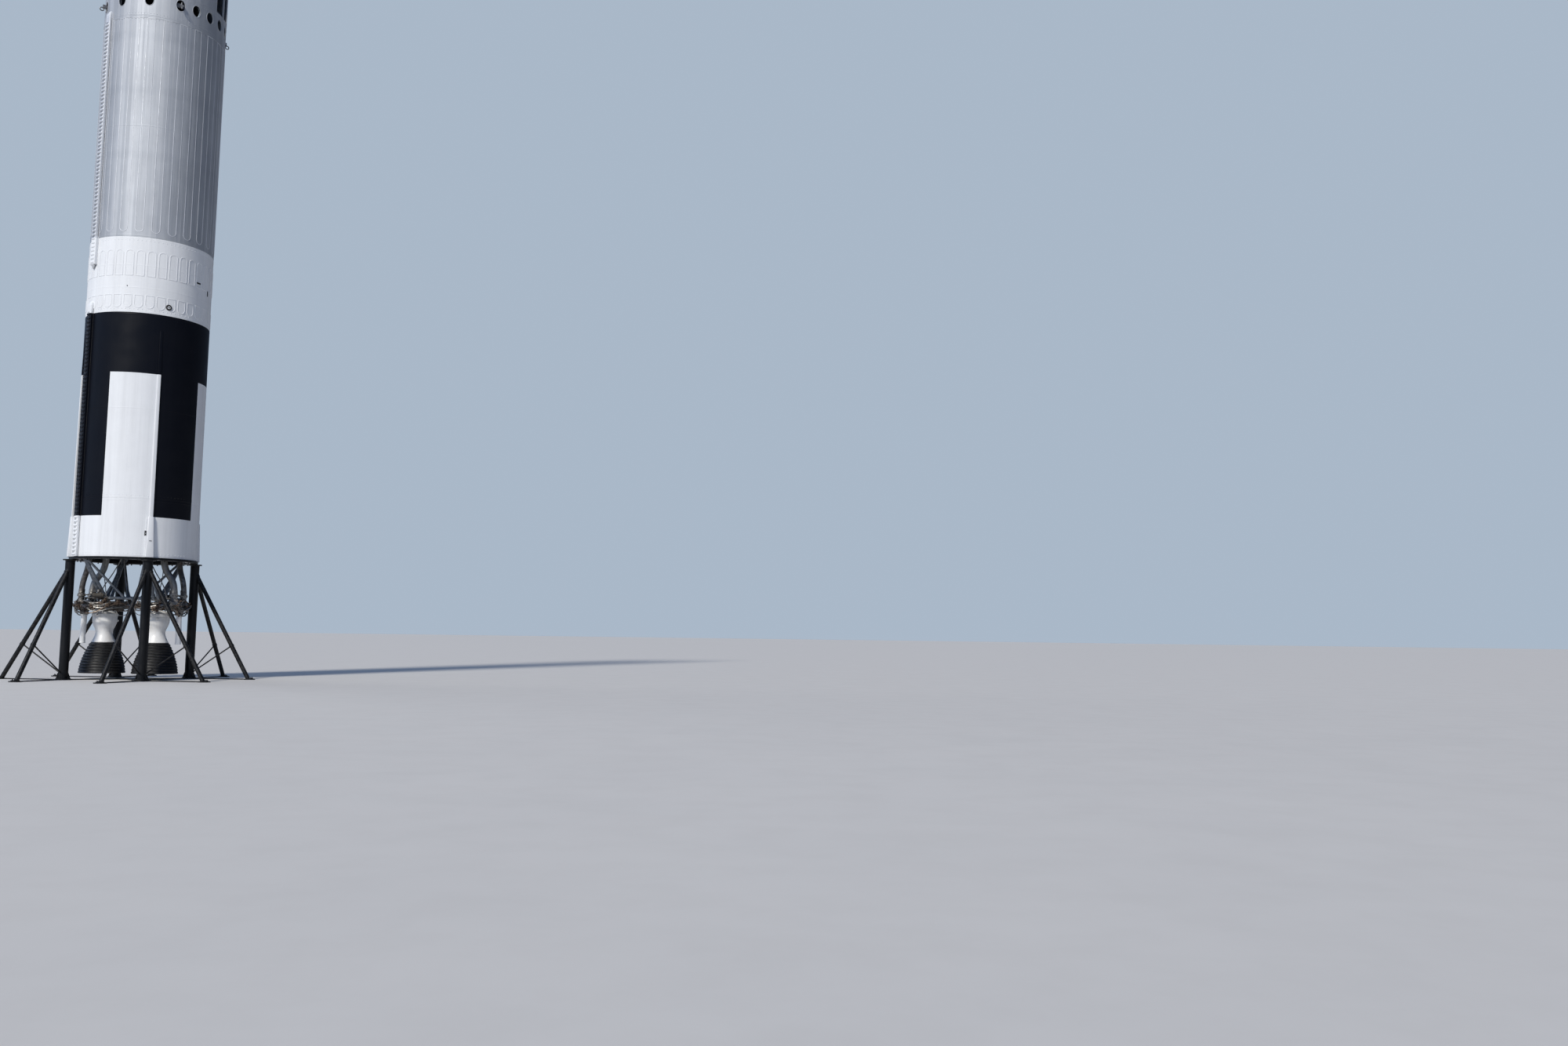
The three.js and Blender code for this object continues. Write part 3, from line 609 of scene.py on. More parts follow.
class Wiring:
    """Adds and joins the nodes of one tree."""

    def __init__(self, tree: bpy.types.NodeTree) -> None:
        """Starts on an empty tree."""
        self.tree = tree

    def node(self, kind: str, **settings: object) -> bpy.types.Node:
        """Adds a node of a kind with its settings.

        Args:
            kind: the node's type.
            settings: its values by name.

        Returns:
            The node.
        """
        made = self.tree.nodes.new(kind)
        for key, value in settings.items():
            setattr(made, key, value)
        return made

    def feed(self, socket: Socket, value: object) -> None:
        """Links a socket to another one, or sets its own value.

        Args:
            socket: an input.
            value: a socket, a number or a colour.
        """
        if isinstance(value, Socket):
            self.tree.links.new(value, socket)
        else:
            socket.default_value = value

    def math(self, operation: str, *values: object) -> Socket:
        """The result of a math node on sockets or numbers.

        Args:
            operation: what the node does.
            values: its inputs.

        Returns:
            The result.
        """
        made = self.node("ShaderNodeMath", operation=operation)
        for socket, value in zip(made.inputs, values):
            self.feed(socket, value)
        return made.outputs[0]

    def mix(self, share: object, first: object, second: object) -> Socket:
        """A colour between two, by a share from 0 to 1.

        Args:
            share: how much of the second colour.
            first: a colour or a socket.
            second: a colour or a socket.

        Returns:
            The colour.
        """
        made = self.node("ShaderNodeMix", data_type="RGBA")
        self.feed(made.inputs["Factor"], share)
        colours = [s for s in made.inputs if s.type == "RGBA"]
        for socket, value in zip(colours, (first, second)):
            self.feed(socket, (*value, 1.0) if isinstance(value, tuple) else value)
        return next(s for s in made.outputs if s.type == "RGBA")

    def ranged(
        self, value: object, low: float, high: float, to_low: float = 0.0, to_high: float = 1.0
    ) -> Socket:
        """A value from one range laid on another, smoothly and within its ends.

        Args:
            value: the value to lay anew.
            low: where its range starts.
            high: where its range ends.
            to_low: what the start becomes.
            to_high: what the end becomes.

        Returns:
            The new value.
        """
        made = self.node("ShaderNodeMapRange", interpolation_type="SMOOTHSTEP")
        for key, number in (("From Min", low), ("From Max", high), ("To Min", to_low), ("To Max", to_high)):
            made.inputs[key].default_value = number
        self.feed(made.inputs["Value"], value)
        return made.outputs[0]

    def stretched(self, vector: object, scale: Point) -> Socket:
        """Coordinates scaled along each axis.

        Args:
            vector: the coordinates.
            scale: the factor along X, Y and Z.

        Returns:
            The scaled coordinates.
        """
        made = self.node("ShaderNodeMapping")
        self.feed(made.inputs["Vector"], vector)
        made.inputs["Scale"].default_value = scale
        return made.outputs[0]

    def noise(self, vector: object, scale: object, detail: float = 4.0, rough: float = 0.55) -> Socket:
        """A fractal noise value.

        Args:
            vector: the coordinates.
            scale: how fine the noise is.
            detail: how many finer layers it has.
            rough: how strong the finer layers are.

        Returns:
            The value.
        """
        made = self.node("ShaderNodeTexNoise")
        self.feed(made.inputs["Vector"], vector)
        self.feed(made.inputs["Scale"], scale)
        made.inputs["Detail"].default_value = detail
        made.inputs["Roughness"].default_value = rough
        return made.outputs["Fac"]

    def parts(self, vector: object) -> tuple[Socket, ...]:
        """The x, y and z of a vector.

        Args:
            vector: a vector socket.

        Returns:
            Its x, y and z.
        """
        made = self.node("ShaderNodeSeparateXYZ")
        self.feed(made.inputs[0], vector)
        return tuple(made.outputs)

    def group(self, tree: bpy.types.NodeTree, **inputs: object) -> bpy.types.Node:
        """Places a node group with its own values.

        Args:
            tree: the group.
            inputs: its values, named with underscores.

        Returns:
            The group's node.
        """
        made = self.node("ShaderNodeGroup")
        made.node_tree = tree
        for key, value in inputs.items():
            self.feed(made.inputs[key.replace("_", " ").title()], value)
        return made


def blank_material(name: str) -> tuple[bpy.types.Material, Wiring, Socket, bpy.types.Node]:
    """Starts a material with a principled shader on its output.

    Args:
        name: the material's name.

    Returns:
        The material, its wiring, the object's coordinates and the shader.
    """
    made = bpy.data.materials.new(name)
    made.use_nodes = True
    made.node_tree.nodes.clear()
    w = Wiring(made.node_tree)
    shader = w.node("ShaderNodeBsdfPrincipled")
    w.feed(w.node("ShaderNodeOutputMaterial").inputs["Surface"], shader.outputs[0])
    return made, w, w.node("ShaderNodeTexCoord").outputs["Object"], shader


class Effects:
    """The shader groups that several finishes share, each built once."""

    VECTOR: ClassVar[tuple[str, str, None]] = ("Vector", "NodeSocketVector", None)
    _made: ClassVar[dict[str, bpy.types.NodeTree]] = {}

    @classmethod
    def _group(
        cls, name: str, inputs: Sequence[tuple[str, str, object]], outputs: Sequence[str],
        build: Callable[[Wiring, dict[str, Socket]], dict[str, Socket]],
    ) -> bpy.types.NodeTree:
        """Makes a group the first time that it is asked for.

        Args:
            name: the group's name.
            inputs: name, kind of socket and value of each input.
            outputs: names of the float outputs.
            build: wires the inputs to what the outputs give.

        Returns:
            The group.
        """
        if name in cls._made:
            return cls._made[name]
        tree = bpy.data.node_groups.new(name, "ShaderNodeTree")
        for title, kind, value in inputs:
            socket = tree.interface.new_socket(title, in_out="INPUT", socket_type=kind)
            if value is not None:
                socket.default_value = value
        for title in outputs:
            tree.interface.new_socket(title, in_out="OUTPUT", socket_type="NodeSocketFloat")
        wires = Wiring(tree)
        entry = wires.node("NodeGroupInput")
        leave = wires.node("NodeGroupOutput")
        given = {title: entry.outputs[title] for title, _, _ in inputs}
        for title, socket in build(wires, given).items():
            tree.links.new(socket, leave.inputs[title])
        cls._made[name] = tree
        return tree

    @classmethod
    def weather(cls) -> bpy.types.NodeTree:
        """Streaks that rain draws down a surface, and soft blotches.

        Returns:
            The group.
        """

        def build(w: Wiring, given: dict) -> dict:
            """Wires the streaks and the blotches.

            Args:
                w: the group's wiring.
                given: the sockets of its inputs.

            Returns:
                What each output gives.
            """
            narrow = w.stretched(given["Vector"], (1.0, 1.0, 0.045))
            streaks = w.ranged(w.noise(narrow, given["Streak Scale"], 5.0, 0.6), 0.42, 0.78)
            blotches = w.ranged(w.noise(given["Vector"], given["Blotch Scale"], 5.0, 0.6), 0.35, 0.75)
            return {"Streaks": streaks, "Blotches": blotches}

        inputs = [
            cls.VECTOR,
            ("Streak Scale", "NodeSocketFloat", 9.0),
            ("Blotch Scale", "NodeSocketFloat", 1.6),
        ]
        return cls._group("Weather", inputs, ["Streaks", "Blotches"], build)

    @classmethod
    def edges(cls) -> bpy.types.NodeTree:
        """Where a form's outer edges are, broken up by noise.

        Returns:
            The group.
        """

        def build(w: Wiring, given: dict) -> dict:
            """Wires the pointed places through noise.

            Args:
                w: the group's wiring.
                given: the sockets of its inputs.

            Returns:
                What each output gives.
            """
            point = w.node("ShaderNodeNewGeometry").outputs["Pointiness"]
            sharp = w.ranged(point, 0.515, 0.56)
            broken = w.ranged(w.noise(given["Vector"], 14.0, 6.0, 0.7), 0.42, 0.62)
            worn = w.math("MULTIPLY", sharp, broken)
            return {"Wear": w.math("MULTIPLY", worn, given["Strength"])}

        inputs = [cls.VECTOR, ("Strength", "NodeSocketFloat", 1.0)]
        return cls._group("Edge Wear", inputs, ["Wear"], build)

    @classmethod
    def grain(cls) -> bpy.types.NodeTree:
        """The fine texture of a surface, for its roughness and its bumps.

        Returns:
            The group.
        """

        def build(w: Wiring, given: dict) -> dict:
            """Wires two sizes of noise together.

            Args:
                w: the group's wiring.
                given: the sockets of its inputs.

            Returns:
                What each output gives.
            """
            fine = w.noise(given["Vector"], given["Scale"], 3.0, 0.5)
            coarse = w.noise(given["Vector"], w.math("MULTIPLY", given["Scale"], 0.08), 2.0, 0.5)
            return {"Height": w.math("ADD", w.math("MULTIPLY", fine, 0.3), coarse), "Tone": coarse}

        inputs = [cls.VECTOR, ("Scale", "NodeSocketFloat", 60.0)]
        return cls._group("Surface Grain", inputs, ["Height", "Tone"], build)

    @classmethod
    def outside(cls) -> bpy.types.NodeTree:
        """Where a point lies on the outer face of the round body and not on its inner one.

        Returns:
            The group.
        """

        def build(w: Wiring, given: dict) -> dict:
            """Wires the distance from the axis.

            Args:
                w: the group's wiring.
                given: the sockets of its inputs.

            Returns:
                What each output gives.
            """
            x, y, _ = w.parts(given["Vector"])
            across = w.math("ADD", w.math("MULTIPLY", x, x), w.math("MULTIPLY", y, y))
            return {"Outside": w.math("GREATER_THAN", across, (BODY_R - 0.02) ** 2)}

        return cls._group("Outer Face", [cls.VECTOR], ["Outside"], build)

    @classmethod
    def bands(cls) -> bpy.types.NodeTree:
        """The rocket's painted pattern: where it is white and where it is bare metal.

        Returns:
            The group.
        """

        def build(w: Wiring, given: dict) -> dict:
            """Wires the sectors and the bands by angle and height.

            Args:
                w: the group's wiring.
                given: the sockets of its inputs.

            Returns:
                What each output gives.
            """
            x, y, z = w.parts(given["Vector"])
            h = w.math("SUBTRACT", z, SKIRT_Z)
            sector = w.math("DIVIDE", w.math("ARCTAN2", y, x), TAU / Livery.SECTORS)
            even = w.math("LESS_THAN", w.math("FRACT", w.math("MULTIPLY", sector, 0.5)), 0.5 + Livery.STRIP)
            panels = w.math("MULTIPLY", even, w.math("LESS_THAN", h, Livery.PANEL_TOP))
            low = w.math("LESS_THAN", h, Livery.BORDER_TOP)
            high = w.math("GREATER_THAN", h, Livery.BLACK_TOP)
            white = w.math("MAXIMUM", w.math("MAXIMUM", low, high), panels)
            return {"White": white, "Bare": w.math("GREATER_THAN", h, Livery.WHITE_TOP)}

        return cls._group("Painted Bands", [cls.VECTOR], ["White", "Bare"], build)

    @classmethod
    def brushed(cls) -> bpy.types.NodeTree:
        """Sheet metal rolled along its height: lighter and darker strips, and lines between them.

        Returns:
            The group.
        """

        def build(w: Wiring, given: dict) -> dict:
            """Wires strips by angle, brushing lines and handling marks.

            Args:
                w: the group's wiring.
                given: the sockets of its inputs.

            Returns:
                What each output gives.
            """
            x, y, z = w.parts(given["Vector"])
            angle = w.math("DIVIDE", w.math("ARCTAN2", y, x), math.radians(7.5))
            strip = w.node("ShaderNodeTexWhiteNoise", noise_dimensions="1D")
            w.feed(strip.inputs["W"], w.math("FLOOR", w.math("ADD", angle, 0.37)))
            lines = w.noise(w.stretched(given["Vector"], (1.0, 1.0, 0.012)), 26.0, 6.0, 0.7)
            clouds = w.noise(w.stretched(given["Vector"], (0.5, 0.5, 0.25)), 2.1, 4.0, 0.6)
            tone = w.math(
                "ADD", w.math("MULTIPLY", strip.outputs["Value"], 0.22), w.math("MULTIPLY", lines, 0.55)
            )
            for h in Livery.SEAMS:
                away = w.math("ABSOLUTE", w.math("SUBTRACT", z, SKIRT_Z + h))
                tone = w.math("SUBTRACT", tone, w.ranged(away, 0.02, 0.2, 0.05, 0.0))
            return {"Tone": w.math("ADD", tone, w.math("MULTIPLY", clouds, 0.3)), "Lines": lines}

        return cls._group("Rolled Sheet", [cls.VECTOR], ["Tone", "Lines"], build)


class Livery:
    """Heights above the skirt's edge where the painted pattern changes."""

    SECTORS: ClassVar[int] = 8
    BORDER_TOP: ClassVar[float] = 1.06
    PANEL_TOP: ClassVar[float] = 4.83
    BLACK_TOP: ClassVar[float] = 6.43
    WHITE_TOP: ClassVar[float] = 8.46
    SEAMS: ClassVar[Point] = (10.7, 12.5, 14.0)  # faint darker belts round the bare tank
    STRIP: ClassVar[float] = 0.018  # how far the white reaches over a longeron, as a share of two sectors


@dataclass(frozen=True)
class Finish:
    """A painted or bare surface with streaks, blotches, worn edges and grain.

    Attributes:
        name: the material's name.
        colour: its clean colour.
        stain: what streaks and blotches turn it to.
        worn: what its edges wear to.
        roughness: from 0, mirror, to 1, matt.
        metallic: 1 for bare metal.
        streaks: how strongly the streaks show.
        blotches: how strongly the blotches show.
        wear: how strongly the edges are worn.
        grain: scale of the fine texture.
        bump: depth of the fine texture in metres.
        coat: weight of a clear gloss over it.
        specular: strength of its reflections, 0.5 for plain paint.
        shell: whether it covers the round body, whose inner faces get a dark colour as painted shade.
    """

    # The inner faces of the round body, and the tank's cone under the skirt, are painted this dark colour as
    # shade.
    INSIDE: ClassVar[Colour] = (0.03, 0.036, 0.048)
    COAT_ROUGH: ClassVar[float] = 0.12
    BUMP_STRENGTH: ClassVar[float] = 0.6

    name: str
    colour: Colour
    stain: Colour
    worn: Colour = (0.45, 0.43, 0.4)
    roughness: float = 0.45
    metallic: float = 0.0
    streaks: float = 0.25
    blotches: float = 0.2
    wear: float = 0.0
    grain: float = 60.0
    bump: float = 0.0006
    coat: float = 0.0
    specular: float = 0.5
    shell: bool = False

    def base(self, w: Wiring, vector: Socket) -> object:
        """The clean colour, as a colour or a socket."""
        return self.colour

    def stain_of(self, w: Wiring, vector: Socket) -> object:
        """What dirt turns it to, as a colour or a socket."""
        return self.stain

    def roughness_of(self, w: Wiring, vector: Socket, tone: Socket) -> object:
        """The roughness, varied by the grain's tone."""
        return w.ranged(tone, 0.3, 0.7, max(0.04, self.roughness - 0.07), min(1.0, self.roughness + 0.1))

    def metallic_of(self, w: Wiring, vector: Socket) -> object:
        """The metallic share."""
        return self.metallic

    def height(self, w: Wiring, vector: Socket, grain: Socket) -> object:
        """The height that feeds the bump."""
        return grain

    def material(self) -> bpy.types.Material:
        """The finish as a Blender material, built the first time that it is asked for.

        Returns:
            The material.
        """
        found = bpy.data.materials.get(self.name)
        if found:
            return found
        made, w, vector, shader = blank_material(self.name)
        weather = w.group(Effects.weather(), vector=vector, streak_scale=9.0, blotch_scale=1.6)
        grain = w.group(Effects.grain(), vector=vector, scale=self.grain)
        stained = w.math("MULTIPLY", weather.outputs["Streaks"], self.streaks)
        spotted = w.math("MULTIPLY", weather.outputs["Blotches"], self.blotches)
        dirt = w.math("MINIMUM", w.math("ADD", stained, spotted), 1.0)
        colour = w.mix(dirt, self.base(w, vector), self.stain_of(w, vector))
        if self.wear:
            edges = w.group(Effects.edges(), vector=vector, strength=self.wear)
            colour = w.mix(edges.outputs["Wear"], colour, self.worn)
        metallic = self.metallic_of(w, vector)
        # Inside the round body the colour turns to painted shade and the metal to dull paint.
        if self.shell:
            outside = w.group(Effects.outside(), vector=vector).outputs["Outside"]
            colour = w.mix(outside, self.INSIDE, colour)
            metallic = w.math("MULTIPLY", outside, metallic)
        w.feed(shader.inputs["Base Color"], colour)
        w.feed(shader.inputs["Roughness"], self.roughness_of(w, vector, grain.outputs["Tone"]))
        w.feed(shader.inputs["Metallic"], metallic)
        shader.inputs["Coat Weight"].default_value = self.coat
        shader.inputs["Coat Roughness"].default_value = self.COAT_ROUGH
        shader.inputs["Specular IOR Level"].default_value = self.specular
        bump = w.node("ShaderNodeBump")
        bump.inputs["Distance"].default_value = self.bump
        bump.inputs["Strength"].default_value = self.BUMP_STRENGTH
        w.feed(bump.inputs["Height"], self.height(w, vector, grain.outputs["Height"]))
        w.feed(shader.inputs["Normal"], bump.outputs[0])
        return made


@dataclass(frozen=True)
class BandedPaint(Finish):
    """The rocket's black and white pattern, with bare metal above it.

    Attributes:
        black: the black paint's clean colour.
        black_stain: what streaks and blotches turn the black to.
        bare: the bare metal's colour.
        bare_metallic: its metallic share, low because it is dull.
        dimmed: how dark the white's darker strips are.
        black_rough: the black's roughness.
        white_rougher: how much rougher the white is.
    """

    black: Colour = (0.0034, 0.0042, 0.0075)
    black_stain: Colour = (0.011, 0.0125, 0.018)
    bare: Colour = (0.7, 0.71, 0.73)
    bare_metallic: float = 0.45
    dimmed: float = 0.93
    black_rough: float = 0.38
    white_rougher: float = 0.1

    def base(self, w: Wiring, vector: Socket) -> object:
        """White, black or bare metal by angle and height, with faint strips in the paint.

        Args:
            w: the material's wiring.
            vector: object coordinates.

        Returns:
            The colour.
        """
        bands = w.group(Effects.bands(), vector=vector)
        sheet = w.group(Effects.brushed(), vector=vector)
        darker = tuple(c * self.dimmed for c in self.colour)
        white = w.mix(w.ranged(sheet.outputs["Tone"], 0.3, 0.85), darker, self.colour)
        paint = w.mix(bands.outputs["White"], self.black, white)
        return w.mix(bands.outputs["Bare"], paint, self.bare)

    def stain_of(self, w: Wiring, vector: Socket) -> object:
        """Dirt shows on the white and the metal, and hardly on the black.

        Args:
            w: the material's wiring.
            vector: object coordinates.

        Returns:
            The colour.
        """
        bands = w.group(Effects.bands(), vector=vector)
        light = w.math("MAXIMUM", bands.outputs["White"], bands.outputs["Bare"])
        return w.mix(light, self.black_stain, self.stain)

    def metallic_of(self, w: Wiring, vector: Socket) -> object:
        """Dull metal above the painted bands."""
        return w.math("MULTIPLY", w.group(Effects.bands(), vector=vector).outputs["Bare"], self.bare_metallic)

    def roughness_of(self, w: Wiring, vector: Socket, tone: Socket) -> object:
        """The black is glossier than the white.

        Args:
            w: the material's wiring.
            vector: object coordinates.
            tone: the grain's tone.

        Returns:
            The roughness.
        """
        white = w.group(Effects.bands(), vector=vector).outputs["White"]
        uneven = w.ranged(tone, 0.3, 0.7, -0.04, 0.06)
        paint = w.math("ADD", w.math("MULTIPLY", white, self.white_rougher), self.black_rough)
        return w.math("ADD", paint, uneven)


@dataclass(frozen=True)
class RolledSheet(Finish):
    """Bare sheet metal in strips of slightly different tone.

    Attributes:
        dark: the darkest strips' colour.
    """

    dark: Colour = (0.4, 0.42, 0.45)

    def base(self, w: Wiring, vector: Socket) -> object:
        """Lighter and darker strips."""
        tone = w.group(Effects.brushed(), vector=vector).outputs["Tone"]
        return w.mix(w.ranged(tone, 0.3, 0.85), self.dark, self.colour)

    def roughness_of(self, w: Wiring, vector: Socket, tone: Socket) -> object:
        """Rougher along the darker brushing lines."""
        lines = w.group(Effects.brushed(), vector=vector).outputs["Lines"]
        return w.ranged(lines, 0.3, 0.7, self.roughness - 0.08, self.roughness + 0.1)


@dataclass(frozen=True)
class Glass:
    """Clear window glass, slightly dark.

    Attributes:
        name: the material's name.
        colour: the glass's colour.
        smeared: its colour at the smears.
        roughness: from 0, mirror, to 1, matt.
    """

    name: str = "Window Glass"
    colour: Colour = (0.3, 0.34, 0.36)
    smeared: Colour = (0.24, 0.27, 0.29)
    roughness: float = 0.03

    def material(self) -> bpy.types.Material:
        """The glass, with faint smears in its roughness.

        Returns:
            The material.
        """
        found = bpy.data.materials.get(self.name)
        if found:
            return found
        made, w, vector, shader = blank_material(self.name)
        shader.inputs["Transmission Weight"].default_value = 0.92
        shader.inputs["IOR"].default_value = 1.46
        smears = w.noise(w.stretched(vector, (4.0, 4.0, 1.5)), 5.0)
        w.feed(shader.inputs["Roughness"], w.ranged(smears, 0.4, 0.7, self.roughness, self.roughness + 0.04))
        w.feed(shader.inputs["Base Color"], w.mix(smears, self.colour, self.smeared))
        return made


STAND_BLACK = Finish(
    "Stand Black", (0.004, 0.0045, 0.0055), (0.014, 0.014, 0.015), (0.05, 0.047, 0.043), roughness=0.4,
    streaks=0.3, blotches=0.3, wear=0.4, grain=90, bump=0.0008, specular=0.25,
)
LIVERY_PAINT = BandedPaint(
    "Banded Paint", (0.84, 0.85, 0.86), (0.36, 0.36, 0.36), roughness=0.42, streaks=0.12, blotches=0.07,
    grain=26, bump=0.0011, specular=0.15, shell=True,
)
WHITE = Finish(
    "White Paint", (0.86, 0.865, 0.87), (0.36, 0.34, 0.31), roughness=0.42, streaks=0.12, blotches=0.1,
    wear=0.25, grain=40, bump=0.0008,
)
CHAMBER_WHITE = Finish(
    "Chamber White", (0.87, 0.865, 0.85), (0.42, 0.37, 0.3), (0.5, 0.46, 0.4), roughness=0.34, streaks=0.2,
    blotches=0.18, wear=0.3, grain=70, bump=0.0005, coat=0.25,
)
ALUMINIUM = RolledSheet(
    "Bare Aluminium", (0.61, 0.625, 0.645), (0.29, 0.305, 0.33), roughness=0.66, metallic=0.72, streaks=0.22,
    blotches=0.16, grain=18, bump=0.0008, specular=0.3, shell=True,
)
# The raised lands on the bare tank are lighter and duller than the sheet as a painted highlight, so that they
# read as bright lines on the shaded side.
LAND_HIGHLIGHT = Finish(
    "Weld Land Painted Highlight", (0.67, 0.685, 0.71), (0.42, 0.43, 0.45), roughness=0.62, metallic=0.5, streaks=0.25,
    blotches=0.3, grain=120, bump=0.0006, specular=0.3,
)
# The pieces between the raceway ribs: mid grey on the white and dark grey on the bare metal as painted shade
# between the ribs, and dark grey on the black as a painted glint.
RIB_GAP_SHADE = BandedPaint(
    "Painted Rib Gap Shade", (0.5, 0.51, 0.52), (0.3, 0.3, 0.3), roughness=0.6, streaks=0.1, blotches=0.2, grain=60,
    bump=0.0006, specular=0.15, black=(0.03, 0.032, 0.038), bare=(0.3, 0.31, 0.33),
)
BELL_BLACK = Finish(
    "Bell Black", (0.006, 0.006, 0.0068), (0.03, 0.029, 0.028), (0.1, 0.095, 0.085), roughness=0.48,
    streaks=0.3, blotches=0.35, wear=0.5, grain=110, bump=0.0012, specular=0.3,
)
PUMP_STEEL = Finish(
    "Pump Steel", (0.15, 0.142, 0.135), (0.05, 0.038, 0.028), (0.45, 0.43, 0.4), roughness=0.48,
    metallic=0.85, streaks=0.4, blotches=0.6, wear=0.8, grain=130, bump=0.0015,
)
LINE_STEEL = Finish(
    "Line Steel", (0.3, 0.292, 0.28), (0.09, 0.078, 0.066), (0.55, 0.54, 0.52), roughness=0.48, metallic=0.95,
    streaks=0.3, blotches=0.6, wear=0.5, grain=150, bump=0.0008,
)
SHACKLE = Finish(
    "Shackle Zinc", (0.2, 0.2, 0.205), (0.07, 0.065, 0.06), (0.5, 0.5, 0.5), roughness=0.45, metallic=0.8,
    streaks=0.2, blotches=0.3, wear=0.5, grain=180, bump=0.0006,
)
HEAT_BROWN = Finish(
    "Heat Brown", (0.13, 0.085, 0.06), (0.04, 0.035, 0.034), (0.42, 0.34, 0.27), roughness=0.5, metallic=0.7,
    streaks=0.3, blotches=0.7, wear=0.6, grain=120, bump=0.0014,
)
FRAME_GREY = Finish(
    "Frame Grey", (0.2, 0.235, 0.28), (0.09, 0.095, 0.1), (0.5, 0.5, 0.5), roughness=0.45, metallic=0.3,
    streaks=0.3, blotches=0.3, wear=0.5, grain=90, bump=0.0008,
)
HARNESS = Finish(
    "Harness Wrap", (0.03, 0.028, 0.026), (0.12, 0.1, 0.075), roughness=0.7, streaks=0.2, blotches=0.6,
    grain=260, bump=0.002,
)
# Primer of the ribs inside the open sections and of the plates in the vent holes, darkened to dark navy as
# painted shade inside the openings.
INNER_SHADE_PRIMER = Finish(
    "Inner Primer Painted Shade", (0.035, 0.042, 0.058), (0.06, 0.06, 0.062), roughness=0.6, streaks=0.3, blotches=0.4,
    grain=60, bump=0.0006,
)
SHINGLE = Finish(
    "Cabin Shingle", (0.024, 0.026, 0.031), (0.05, 0.051, 0.058), (0.16, 0.155, 0.15), roughness=0.44,
    metallic=0.4, streaks=0.35, blotches=0.16, wear=0.5, grain=40, bump=0.0008,
)
# Black for the port's ring and the small covers, and for the strips of painted shadow along the raceways.
MARK_AND_SHADOW_BLACK = Finish(
    "Marks And Painted Shadow Black", (0.012, 0.012, 0.013), (0.05, 0.048, 0.045), roughness=0.7, streaks=0.1, blotches=0.4,
    grain=140, bump=0.001,
)
SEAT_CLOTH = Finish(
    "Cushion Cloth", (0.17, 0.18, 0.13), (0.1, 0.1, 0.075), roughness=0.9, streaks=0.15, blotches=0.3,
    grain=520, bump=0.0016,
)
PANEL_GREY = Finish(
    "Panel Grey", (0.21, 0.22, 0.225), (0.13, 0.13, 0.13), (0.4, 0.4, 0.4), roughness=0.5, streaks=0.15,
    blotches=0.25, wear=0.4, grain=160, bump=0.0004,
)
DIAL_WHITE = Finish(
    "Dial White", (0.75, 0.74, 0.7), (0.5, 0.48, 0.42), roughness=0.5, streaks=0.1, blotches=0.2, grain=200,
    bump=0.0002,
)
GLASS = Glass()


def dress(
    obj: Object, finish: Finish | Glass, body: str = Body.ROCKET.value,
    stands_for: Sequence[str] = (),
) -> Object:
    """Gives a piece its finish, the body that it rides on and the nodes that it stands for.

    Args:
        obj: a settled mesh object.
        finish: its material.
        body: the name of its body.
        stands_for: CAD nodes that it replaces.

    Returns:
        The same object.
    """
    obj.data.materials.clear()
    obj.data.materials.append(finish.material())
    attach(obj, body)
    if stands_for:
        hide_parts(*stands_for)
    LOG.info("%s: %d faces on %s", obj.name, len(obj.data.polygons), body)
    return obj


# The stand.


